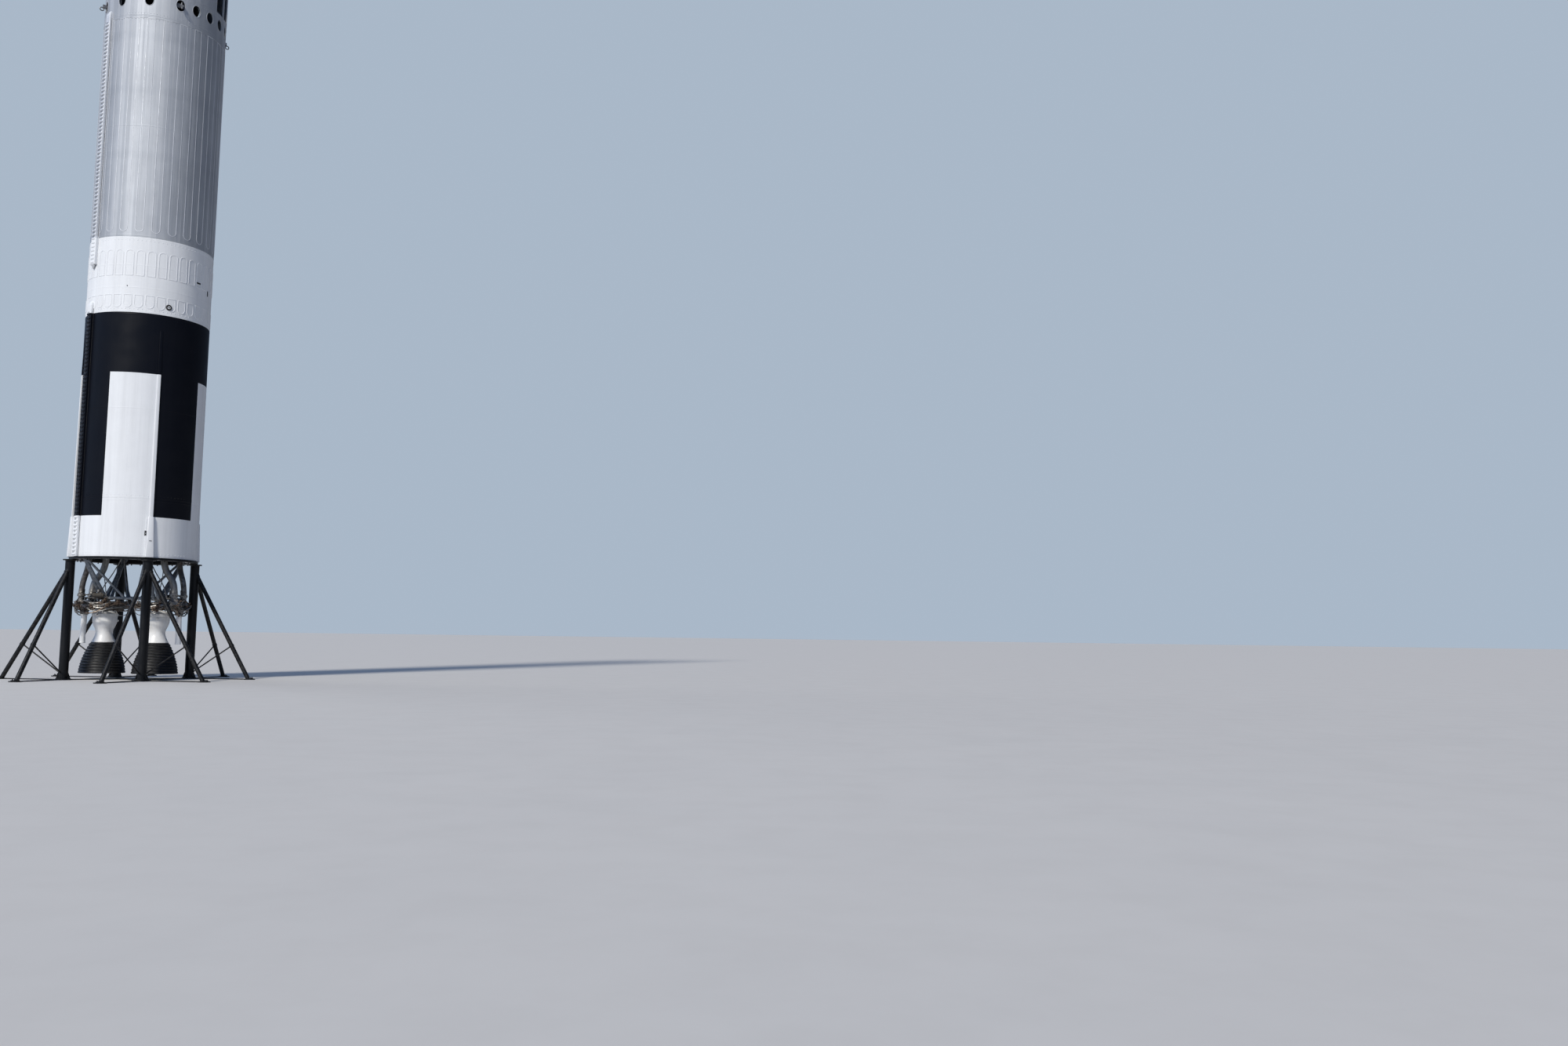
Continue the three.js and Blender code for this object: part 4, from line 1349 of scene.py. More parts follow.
@dataclass
class Stand:
    """The black steel stand: a cross on the ground, four posts with rakers, and the ring they carry.

    Attributes:
        leg_r: distance of the posts from the axis.
        post_r: a post's radius.
        raker_r: a raker's radius.
        raker_top: height where the rakers meet the post.
        foot_r: distance of the rakers' feet from the axis.
        foot_spread: degrees between a raker's foot and its post.
        base: thickness of the plates on the ground.
        ring_thick: the ring's thickness.
        ring_inner: its inner radius.
        gap: gap between a leg and what it stands on or carries.
    """

    leg_r: float = 1.53
    post_r: float = 0.115
    raker_r: float = 0.055
    raker_top: float = 2.95
    foot_r: float = 3.02
    foot_spread: float = 23.4
    base: float = 0.025
    ring_thick: float = 0.06
    ring_inner: float = 1.3
    gap: float = JOINT_GAP

    def foot(self, angle: float, side: int, z: float = 0.0) -> Vector:
        """Where a raker meets the ground."""
        return at(self.foot_r, angle + side * self.foot_spread, z)

    def bolt(self, name: str, place: Vector, radius: float = 0.02) -> Object:
        """A hexagonal nut on a threaded end.

        Args:
            name: the piece's name.
            place: the middle of its foot.
            radius: the nut's radius.

        Returns:
            The nut with its threaded end.
        """
        nut = rod(name, place, place + Vector((0, 0, 0.02)), radius, 6, 0.002)
        end = rod("end", place, place + Vector((0, 0, 0.032)), radius * 0.5, 10, 0.002)
        return fused(name, [nut, end])

    def bolts(self, centre: Vector, radius: float, count: int, size: float = 0.02) -> Object:
        """A circle of nuts round a point."""
        first = self.bolt("bolts", centre + Vector((radius, 0, 0)), size)
        return round_row(first, count, centre)

    def make_base(self) -> None:
        """Flat bars and plates on the ground, with nuts on each plate."""
        b = self.base
        pieces = [block("cross", (0.5, 0.5, b), (0, 0, b / 2))]
        for angle in LEG_ANGLES:
            leg = at(self.leg_r, angle, 0)
            arm = block("arm", (self.leg_r, 0.16, b - 0.001), (self.leg_r / 2, 0, (b - 0.001) / 2), 0.003)
            pieces.append(swung(arm, angle))
            plate = [(0, 0), (0.226, 0), (0.23, 0.004), (0.23, b - 0.004), (0.226, b), (0, b)]
            pieces.append(lathe("plate", plate, 40, leg))
            for side in (-1, 1):
                foot = self.foot(angle, side)
                way = foot - leg
                turn = math.degrees(math.atan2(way.y, way.x))
                middle = (leg + foot) / 2 + Vector((0, 0, b / 2))
                pieces.append(block("tie", (way.length, 0.09, b - 0.002), middle, 0.003, (0, 0, turn)))
                pad = [(0, 0), (0.147, 0), (0.15, 0.003), (0.15, b - 0.003), (0.147, b), (0, b)]
                pieces.append(lathe("pad", pad, 32, foot))
        dress(fused("stand_base_plates", pieces), STAND_BLACK, stands_for=["stand_base"])

    def make_leg(self, number: int, angle: float) -> None:
        """One post with its flanges, gussets, two rakers and thin braces.

        Args:
            number: the leg's number.
            angle: its angle in degrees.
        """
        low = self.base + self.gap
        top = SKIRT_Z - self.gap - self.ring_thick - self.gap
        post = at(self.leg_r, angle, 0)
        r, flange = self.post_r, self.post_r + 0.06
        outline = [
            (0, low), (flange, low), (flange, low + 0.022), (flange - 0.003, low + 0.025),
            (r + 0.012, low + 0.025), (r, low + 0.037), (r, top - 0.042), (r + 0.012, top - 0.03),
            (flange - 0.003, top - 0.03), (flange, top - 0.027), (flange, top), (0, top),
        ]
        nuts = self.bolts(post + Vector((0, 0, low + 0.025)), flange - 0.027, 8, 0.014)
        pieces = [lathe("post", outline, 48, post), nuts]
        for turn in range(4):
            rib = block("gusset", (0.052, 0.012, 0.16), (self.post_r + 0.02, 0, low + 0.1), 0.002)
            open_edit(rib)
            bpy.ops.mesh.bisect(
                plane_co=(self.post_r + 0.046, 0, low + 0.045), plane_no=(0.9, 0, 0.33), use_fill=True,
                clear_outer=True
            )
            object_mode()
            pieces.append(moved(swung(rib, 45 + 90 * turn), post))
        head = at(self.leg_r, angle, self.raker_top)
        for side in (-1, 1):
            foot = self.foot(angle, side, -0.04)
            way = (head - foot).normalized()
            start = foot + way * ((low - foot.z) / way.z)
            pieces.append(rod("raker", start + way * 0.01, head, self.raker_r, 28))
            collar, joint = foot.lerp(head, 0.955), foot.lerp(head, 0.32)
            pieces.append(
                rod("collar", collar - way * 0.03, collar + way * 0.05, self.raker_r + 0.012, 28, 0.004)
            )
            pieces.append(rod("brace", at(self.leg_r, angle, 0.12), joint, 0.018, 14))
            pieces.append(
                rod("clamp", joint - way * 0.03, joint + way * 0.03, self.raker_r + 0.008, 28, 0.004)
            )
            shoe = [(0, low), (0.1, low), (0.1, low + 0.017), (0.097, low + 0.02), (0, low + 0.02)]
            pieces.append(lathe("shoe", shoe, 32, self.foot(angle, side)))
            pieces.append(self.bolts(self.foot(angle, side, low + 0.018), 0.078, 4, 0.011))
        name = f"stand_leg_{number}"
        dress(fused(f"{name}_dressed", pieces), STAND_BLACK, stands_for=[name])

    def make_ring(self) -> None:
        """The ring that the skirt stands on, with its clamp bolts."""
        outer, inner = BODY_R + 0.036, self.ring_inner
        top = SKIRT_Z - self.gap
        low = top - self.ring_thick
        outline = [
            (inner, low), (outer - 0.004, low), (outer, low + 0.004), (outer, low + 0.02),
            (outer - 0.012, low + 0.024), (outer - 0.012, top - 0.014), (outer, top - 0.01),
            (outer, top - 0.002), (outer - 0.002, top), (inner, top),
        ]
        ring = lathe("ring", outline, ROUND)
        nuts = round_row(self.bolt("nuts", Vector((1.41, 0, low - 0.03)), 0.018), 40)
        dress(fused("stand_ring_dressed", [ring, nuts]), STAND_BLACK, stands_for=["stand_ring"])

    def build(self) -> None:
        """Builds the whole stand."""
        self.make_base()
        for i, angle in enumerate(LEG_ANGLES):
            self.make_leg(i + 1, angle)
        self.make_ring()


# The stages' skins.


@dataclass
class Skin:
    """One closed section of the rocket's round body.

    Attributes:
        node: the CAD node that it stands for.
        low: height of its lower edge above the skirt's.
        high: height of its upper edge.
        finish: its finish.
        slot: the record's slot; not used.
        beads: heights of the raised joints round it.
        studs: heights of rings of fastener heads.
        bore: radius of its inner wall, or 0 where it is closed.
    """

    BEAD_WIDE: ClassVar[float] = 0.014
    BEAD_OUT: ClassVar[float] = 0.0022
    STUD_COUNT: ClassVar[int] = 96

    node: str
    low: float
    high: float
    finish: Finish
    slot: Slot
    beads: Sequence[float] = ()
    studs: Sequence[float] = ()
    bore: float = 0.0

    def outer(self) -> list[tuple[float, float]]:
        """The outer outline from the lower edge up, with its beads.

        Returns:
            [radius, z] of its corners.
        """
        low, high, near = SKIRT_Z + self.low, SKIRT_Z + self.high, 0.004
        points = [(BODY_R - 0.002, low + JOINT_GAP), (BODY_R, low + 0.003), (BODY_R, low + 0.003 + near)]
        for h in sorted(self.beads):
            z, w, out = SKIRT_Z + h, self.BEAD_WIDE, self.BEAD_OUT
            points += [(BODY_R, z - w - near), (BODY_R, z - w), (BODY_R + out, z - w * 0.5)]
            points += [(BODY_R + out, z + w * 0.5), (BODY_R, z + w), (BODY_R, z + w + near)]
        return [
            *points, (BODY_R, high - 0.003 - near), (BODY_R, high - 0.003),
            (BODY_R - 0.002, high - 2 * JOINT_GAP),
        ]

    def shell(self) -> Object:
        """The section's own solid.

        Returns:
            The closed solid.
        """
        outer = self.outer()
        inner = [(self.bore, outer[-1][1]), (self.bore, outer[0][1])]
        return lathe(f"{self.node}_skin", [*outer, *inner], ROUND)

    def build(self, extra: Sequence[Object] = ()) -> Object:
        """Builds the section, with its fastener heads and any extra pieces of the same finish.

        Args:
            extra: pieces that become part of it.

        Returns:
            The dressed section.
        """
        pieces = [self.shell(), *extra]
        pieces += [stud_ring("studs", BODY_R, SKIRT_Z + h, self.STUD_COUNT) for h in self.studs]
        whole = fused(f"{self.node}_skin", pieces)
        return dress(whole, self.finish, stands_for=[self.node])


@dataclass
class Lands:
    """Raised outlines of the thinner pockets in a skin, with round or square ends.

    Attributes:
        name: the piece's name.
        low: height of their feet above the skirt's lower edge.
        high: height of their heads.
        half_wide: half of an outline's width.
        count: how many there are round the skin.
        first: angle of the first one.
        wide: half of the bar's width.
        out: how far the bar stands out of the skin.
        square_top: whether the head is square.
        square_foot: whether the foot is square.
    """

    name: str
    low: float
    high: float
    half_wide: float
    count: int
    first: float
    wide: float = 0.014
    out: float = 0.003
    square_top: bool = False
    square_foot: bool = False

    def build(self, finish: Finish, slot: Slot) -> Object:
        """One outline from a circle pulled long, then a row of them round the skin.

        Args:
            finish: the outlines' finish.
            slot: the record's slot; not used.

        Returns:
            The outlines as one piece.
        """
        clear()
        middle = SKIRT_Z + self.low + self.half_wide
        bpy.ops.mesh.primitive_circle_add(
            vertices=20, radius=self.half_wide, location=(0, 0, middle), rotation=radians((90, 0, 90))
        )
        loop = settled(bpy.context.object, self.name)
        open_edit(loop)
        bpy.ops.mesh.select_all(action="DESELECT")
        object_mode()
        for vertex in loop.data.vertices:
            vertex.select = vertex.co.z > middle + 1e-4
        bpy.ops.object.mode_set(mode="EDIT")
        bpy.ops.transform.translate(value=(0, 0, self.high - self.low - 2 * self.half_wide))
        flat = (1, 1, 0.02)
        if self.square_top:
            bpy.ops.transform.resize(value=flat, center_override=(0, 0, SKIRT_Z + self.high))
        if self.square_foot:
            bpy.ops.mesh.select_all(action="INVERT")
            bpy.ops.transform.resize(value=flat, center_override=(0, 0, SKIRT_Z + self.low))
        object_mode()
        bpy.ops.object.convert(target="CURVE")
        line = bpy.context.object
        line.data.dimensions = "3D"
        line.data.bevel_depth = self.wide
        line.data.bevel_resolution = 1
        bpy.ops.object.convert(target="MESH")
        loop = bpy.context.object
        bpy.ops.transform.resize(value=(self.out / self.wide, 1, 1), center_override=(0, 0, 0))
        loop = sealed(loop, self.name, 60)
        wrapped(loop, BODY_R, self.first)
        return dress(round_row(loop, self.count), finish)


class Rail(Enum):
    """The covers over the cables, from the skirt up: node, bottom, top."""

    LOWER = ("raceway_lower", 0.004, 6.78)
    UPPER = ("raceway_upper", 7.75, 14.78)
    STAGE_2 = ("raceway_stage_2", 18.44, 23.7)


@dataclass
class Raceways:
    """Ribbed covers over the cables, down one side of the rocket.

    Attributes:
        angle: the side that they are on.
        half: half of a cover's width.
        out: how far it stands out of the skin.
        pitch: distance between two ribs.
        nose: height of its rounded top.
        margin: height of the first rib above the cover's foot.
        rib_half: half of a rib's width.
        rib_tall: a rib's height.
        rib_out: how far it stands out of the cover.
        shadow_strip: width of the dark strips along both sides, which are painted shadow of the cover's
            edges.
        shoe_top: height up to which the upper cover is wrapped in a smooth box.
    """

    angle: float = -120.0
    half: float = 0.097
    out: float = 0.07
    pitch: float = 0.1075
    nose: float = 0.22
    margin: float = 0.06
    rib_half: float = 0.082
    rib_tall: float = 0.06
    rib_out: float = 0.02
    shadow_strip: float = 0.01
    shoe_top: float = 8.5

    def straight(self, low: float, high: float) -> float:
        """The height of a cover below its rounded top."""
        return high - low - self.nose

    def rib_count(self, low: float, high: float) -> int:
        """How many ribs fit on a cover."""
        return int((self.straight(low, high) - self.margin) / self.pitch)

    def cover(self, low: float, high: float) -> Object:
        """The smooth cover with its rounded top, pulled up step by step from a flat section.

        Args:
            low: height of its foot.
            high: height of its top.

        Returns:
            The cover, still flat.
        """
        z0, z1 = SKIRT_Z + low, SKIRT_Z + high
        sunk = 0.02
        deep, tall = self.out + sunk, self.straight(low, high)
        body = block("cover", (deep, self.half * 2, tall), (deep / 2 - sunk, 0, z0 + tall / 2), 0)
        open_edit(body)
        bpy.ops.mesh.select_all(action="DESELECT")
        object_mode()
        for face in body.data.polygons:
            face.select = face.normal.z > 0.9
        bpy.ops.object.mode_set(mode="EDIT")
        foot = (-sunk, 0, z1)
        for rise, scale in ((0.35, 0.96), (0.3, 0.86), (0.2, 0.68), (0.15, 0.5)):
            bpy.ops.mesh.extrude_region_move(TRANSFORM_OT_translate={"value": (0, 0, self.nose * rise)})
            bpy.ops.transform.resize(value=(scale, scale, 1), center_override=foot)
        object_mode()
        return settled(bevelled(body, 0.014, 3, 50), "cover")

    def gap_shades(self, low: float, high: float) -> Object:
        """The row of pieces between the ribs, towards one side of the cover, that carry the painted shade
        between the ribs.

        Args:
            low: the cover's foot.
            high: the cover's top.

        Returns:
            The row, still flat.
        """
        middle = (self.out - 0.002, -0.028, SKIRT_Z + low + self.margin + self.pitch / 2)
        gap = block("gap", (0.012, 0.1, self.pitch - self.rib_tall - 0.008), middle, 0.004)
        return row_of(gap, self.rib_count(low, high), (0, 0, self.pitch))

    def shadow_strips(self, low: float, high: float) -> list[Object]:
        """Dark strips along both sides, painted shadow that the cover's edges cast on the skin.

        Args:
            low: the cover's foot.
            high: the cover's top.

        Returns:
            The strips, still flat.
        """
        tall = self.straight(low, high)
        made = []
        for side in (-1, 1):
            middle = (0.004, side * (self.half + self.shadow_strip / 2 - 0.001), SKIRT_Z + low + tall / 2)
            made.append(block("shadow_strip", (0.014, self.shadow_strip, tall), middle, 0.003))
        return made

    def mouth(self, z: float) -> Object:
        """The cables' tapered mouth under the upper cover, grey with the same painted shade as between the
        ribs.

        Args:
            z: the cover's foot above the ground.

        Returns:
            The funnel, still flat.
        """
        tip, rim, top = z - 0.11, z + 0.002, z + 0.03
        outline = [(0, tip), (0.012, tip), (0.03, tip + 0.02), (0.085, rim), (0.085, top), (0, top)]
        funnel = lathe("mouth", outline, 32)
        bpy.ops.transform.resize(value=(0.4, 1, 1), center_override=(0, 0, 0))
        return moved(funnel, (0.034, 0, 0))

    def build(self) -> None:
        """Builds the three covers with their rounded ribs, side flanges and fastener heads, the dark strips
        of painted shadow along their sides, and the row of painted shade between the ribs.
        """
        # The mouth goes with the pieces between the ribs, in their painted shade.
        shadow_strips, gap_shades = [], [self.mouth(SKIRT_Z + Rail.UPPER.value[1])]
        for rail in Rail:
            node, low, high = rail.value
            z0, first = SKIRT_Z + low, SKIRT_Z + low + self.margin
            count, straight = self.rib_count(low, high), self.straight(low, high)
            reach = self.out + self.rib_out
            rib = block("rib", (reach, self.rib_half * 2, self.rib_tall), (reach / 2, 0, first), 0)
            pieces = [self.cover(low, high), row_of(bevelled(rib, 0.018, 3), count, (0, 0, self.pitch))]
            if rail is Rail.UPPER:
                tall = self.shoe_top - low
                size = (self.out + 0.008, self.half * 2 + 0.05, tall)
                pieces.append(block("shoe", size, (self.out / 2 + 0.004, 0, z0 + tall / 2), 0.016))
            for side in (-1, 1):
                edge = side * (self.half + self.shadow_strip + 0.01)
                pieces.append(
                    block("flange", (0.008, 0.022, straight), (0.003, edge, z0 + straight / 2), 0.002)
                )
                head = block("head", (0.006, 0.01, 0.01), (0.009, edge, first), 0.002)
                pieces.append(row_of(head, count, (0, 0, self.pitch)))
            whole = wrapped(fused(f"{node}_ribbed", pieces), BODY_R, self.angle)
            finish = ALUMINIUM if rail is Rail.STAGE_2 else LIVERY_PAINT
            dress(whole, finish, stands_for=[node])
            shadow_strips += self.shadow_strips(low, high)
            gap_shades.append(self.gap_shades(low, high))
        dress(wrapped(fused("raceway_rib_gap_shade", gap_shades), BODY_R, self.angle), RIB_GAP_SHADE)
        dress(wrapped(fused("raceway_shadow_strips", shadow_strips), BODY_R, self.angle), MARK_AND_SHADOW_BLACK)


@dataclass
class Longerons:
    """The four stiffeners over the skirt: a flared box and the slim strip above it.

    Attributes:
        box: height, half width and reach of the box, from its foot up.
        strip: the same of the strip.
    """

    box: Sequence[tuple[float, float, float]] = ((0, 0.095, 0.095), (0.52, 0.072, 0.08), (1.06, 0.056, 0.062))
    strip: Sequence[tuple[float, float, float]] = (
        (1.04, 0.042, 0.046), (4.83, 0.04, 0.026), (6.0, 0.036, 0.006)
    )

    def tapered(self, sections: Sequence[tuple[float, float, float]], bevel: float) -> Object:
        """A bar pulled up from a flat section, wider or narrower at each [height, half width, out].

        Args:
            sections: [height, half width, out] from the foot up.
            bevel: width of its rounded edges.

        Returns:
            The bar, still flat.
        """
        h, half, out = sections[0]
        sunk = 0.012
        z = SKIRT_Z + h
        clear()
        bpy.ops.mesh.primitive_plane_add(size=1, location=((out - sunk) / 2, 0, z), scale=(1, 1, 1))
        bar = bpy.context.object
        bar.scale = (out + sunk, half * 2, 1)
        freeze()
        open_edit(bar)
        for next_h, next_half, next_out in sections[1:]:
            bpy.ops.mesh.extrude_region_move(TRANSFORM_OT_translate={"value": (0, 0, next_h - h)})
            scale = ((next_out + sunk) / (out + sunk), next_half / half, 1)
            bpy.ops.transform.resize(value=scale, center_override=(-sunk, 0, SKIRT_Z + next_h))
            h, half, out = next_h, next_half, next_out
        bpy.ops.mesh.select_all(action="SELECT")
        bpy.ops.mesh.normals_make_consistent(inside=False)
        object_mode()
        return settled(bevelled(bar, bevel, 3), "bar")

    def build(self) -> None:
        """Builds one longeron with its foot plate and heads, and copies it to the four corners."""
        pieces = [self.tapered(self.box, 0.008), self.tapered(self.strip, 0.005)]
        for side in (-1, 1):
            pieces.append(block("flange", (0.008, 0.03, 1.02), (0.003, side * 0.1, SKIRT_Z + 0.52), 0.002))
            head = block("head", (0.008, 0.014, 0.014), (0.009, side * 0.104, SKIRT_Z + 0.05), 0.003)
            pieces.append(row_of(head, 14, (0, 0, 0.072)))
        first = wrapped(fused("longeron", pieces), BODY_R, 0)
        for i, angle in enumerate(LEG_ANGLES):
            part = swung(copied(first, f"longeron_{i + 1}_painted"), angle)
            dress(part, LIVERY_PAINT, stands_for=[f"longeron_{i + 1}"])
        bpy.data.objects.remove(first)


@dataclass
class VentSkirt:
    """The open ring above the tank, with its oval holes, and lugs with shackles.

    Attributes:
        low: height of its lower edge above the skirt's.
        high: height of its upper edge.
        height: height of the holes' middle.
        half_wide: half of a hole's width.
        half_tall: half of a hole's height.
        angles: the holes on one half of the ring.
        lugs: the holes that a lug comes out of.
    """

    low: float = 14.53
    high: float = 15.24
    height: float = 14.99
    half_wide: float = 0.11
    half_tall: float = 0.155
    angles: Sequence[float] = (-45, -29, -13, 3, 19, 48, 77, 106)
    lugs: Sequence[float] = (-45, 48, 135, 228)

    def all_angles(self) -> list[float]:
        """The holes' angles in both halves of the ring."""
        return [*self.angles, *(a + 180 for a in self.angles)]

    def hole(self, angle: float) -> Object:
        """The oval bar that cuts one hole.

        Args:
            angle: the hole's angle in degrees.

        Returns:
            The bar.
        """
        clear()
        bpy.ops.mesh.primitive_cylinder_add(vertices=40, radius=1, depth=0.4, location=(0, 0, 0))
        bar = bpy.context.object
        bar.scale = (self.half_tall, self.half_wide, 1)
        bar.rotation_euler = (0, math.pi / 2, 0)
        bar.location = (BODY_R, 0, SKIRT_Z + self.height)
        return swung(settled(bar, "hole"), angle)

    def rim(self, angle: float) -> Object:
        """The raised lip round one hole, laid on the skin.

        Args:
            angle: the hole's angle in degrees.

        Returns:
            The lip.
        """
        lip = torus("rim", (0, 0, 0), 1.0, 0.055, (0, 90, 0), 48)
        open_edit(lip)
        size = (0.11, self.half_wide + 0.006, self.half_tall + 0.008)
        bpy.ops.transform.resize(value=size, center_override=(0, 0, 0))
        bpy.ops.transform.translate(value=(0, 0, SKIRT_Z + self.height))
        object_mode()
        return wrapped(lip, BODY_R, angle)

    def lug(self, angle: float) -> Object:
        """A plate out of a hole, with a bow shackle, its pin and nuts.

        Args:
            angle: the lug's angle in degrees.

        Returns:
            The lug and its shackle as one piece.
        """
        z, plate = SKIRT_Z + self.height, 0.024
        tongue = block("tongue", (0.145, plate, 0.12), (BODY_R + 0.0325, 0, z), 0.012)
        bow = torus("bow", (BODY_R + 0.12, 0, z - 0.078), 0.046, 0.014, (90, 0, 0), 32)
        x, low = BODY_R + 0.08, z - 0.028
        pin = rod("pin", (x, -0.048, low), (x, 0.048, low), 0.015, 20, 0.003)
        nut = rod("nut", (x, 0.04, low), (x, 0.058, low), 0.022, 6, 0.002)
        return swung(fused("lug", [tongue, bow, pin, nut]), angle)

    def plate(self, angle: float) -> Object:
        """The plate inside a hole that a lug stands on, in the dark primer that is painted shade in the hole.
        """
        size = (0.025, self.half_wide * 2 + 0.06, 0.12)
        return swung(block("plate", size, (BODY_R - 0.0325, 0, SKIRT_Z + self.height), 0.004), angle)

    def build(self) -> None:
        """Cuts the ring's holes, and adds rims, fastener heads and the lugs."""
        section = Skin(
            "vent_skirt", self.low, self.high, ALUMINIUM, Slot.ALUMINIUM, (14.57, 15.2),
            bore=BODY_R - THIN_WALL,
        )
        shell = carved(section.shell(), fused("holes", [self.hole(a) for a in self.all_angles()]))
        shell = sealed(shell, "vent_skirt_skin", 30)
        rims = fused("vent_rims", [self.rim(a) for a in self.all_angles()])
        studs = [stud_ring("studs", BODY_R, SKIRT_Z + h, 120, 0.01) for h in (14.6, 15.17)]
        dress(fused("vent_skirt_skin", [shell, *studs]), ALUMINIUM, stands_for=["vent_skirt"])
        dress(rims, ALUMINIUM)
        dress(fused("stay_lugs", [self.lug(a) for a in self.lugs]), SHACKLE)
        dress(fused("stay_plates", [self.plate(a) for a in self.lugs]), INNER_SHADE_PRIMER)


@dataclass
class Interstage:
    """The shell between the stages, with tall openings in groups.

    Attributes:
        low: height of its lower edge above the skirt's.
        high: height of its upper edge.
        bottom: height of the openings' lower edge.
        top: height of their upper edge.
        wide: an opening's width in degrees.
        pitch: degrees between two openings of a group.
        in_group: openings in a group.
        groups: groups round the shell.
        first: angle of the first opening's middle.
    """

    low: float = 15.24
    high: float = 18.42
    bottom: float = 15.3
    top: float = 17.0
    wide: float = 13.0
    pitch: float = 16.0
    in_group: int = 3
    groups: int = 4
    first: float = 2.5

    def port_angles(self) -> list[float]:
        """The middle angle of each opening."""
        starts = [self.first + g * 360 / self.groups for g in range(self.groups)]
        return [start + i * self.pitch for start in starts for i in range(self.in_group)]

    def port(self, angle: float) -> Object:
        """A bar as large as one opening.

        Args:
            angle: the opening's middle in degrees.

        Returns:
            The bar.
        """
        half = BODY_R * math.sin(math.radians(self.wide / 2))
        size = (0.4, half * 2, self.top - self.bottom)
        return swung(block("port", size, (BODY_R, 0, SKIRT_Z + (self.bottom + self.top) / 2), 0.025), angle)

    def frame(self, angle: float) -> Object:
        """A thin raised frame round one opening, on the skin.

        Args:
            angle: the opening's middle in degrees.

        Returns:
            The frame.
        """
        half = BODY_R * math.radians(self.wide / 2)
        z0, z1 = SKIRT_Z + self.bottom, SKIRT_Z + self.top
        lip, thick = 0.022, 0.006
        side, end = (thick, lip, z1 - z0 + lip * 2), (thick, half * 2, lip)
        bars = [
            block("side", side, (thick / 2, s * (half + lip / 2), (z0 + z1) / 2), 0.0015) for s in (-1, 1)
        ]
        bars += [block("end", end, (thick / 2, 0, z), 0.0015) for z in (z0 - lip / 2, z1 + lip / 2)]
        return wrapped(fused("frame", bars), BODY_R, angle)

    def build(self) -> None:
        """Cuts the openings, and adds frames, inner hoops and stringers."""
        beads = (15.27, 17.3, 17.9, 18.39)
        inner = BODY_R - THIN_WALL
        section = Skin("interstage", self.low, self.high, ALUMINIUM, Slot.ALUMINIUM, beads, bore=inner)
        shell = carved(section.shell(), fused("ports", [self.port(a) for a in self.port_angles()]))
        shell = sealed(shell, "interstage_skin", 30)
        frames = [self.frame(a) for a in self.port_angles()]
        studs = [stud_ring("studs", BODY_R, SKIRT_Z + h, 120, 0.01) for h in (17.36, 17.84, 18.33)]
        whole = fused("interstage_skin", [shell, *frames, *studs])
        dress(whole, ALUMINIUM, stands_for=["interstage"])
        hoops = inner_hoops(inner, (15.36, 17.12, 17.7, 18.28), half=0.02, deep=0.05, foot=0.005)
        stringer = block("stringer", (0.03, 0.02, 1.2), (inner - 0.012, 0, SKIRT_Z + 17.74), 0.003)
        hoops.append(round_row(stringer, 48))
        dress(fused("interstage_ribs", hoops), INNER_SHADE_PRIMER)


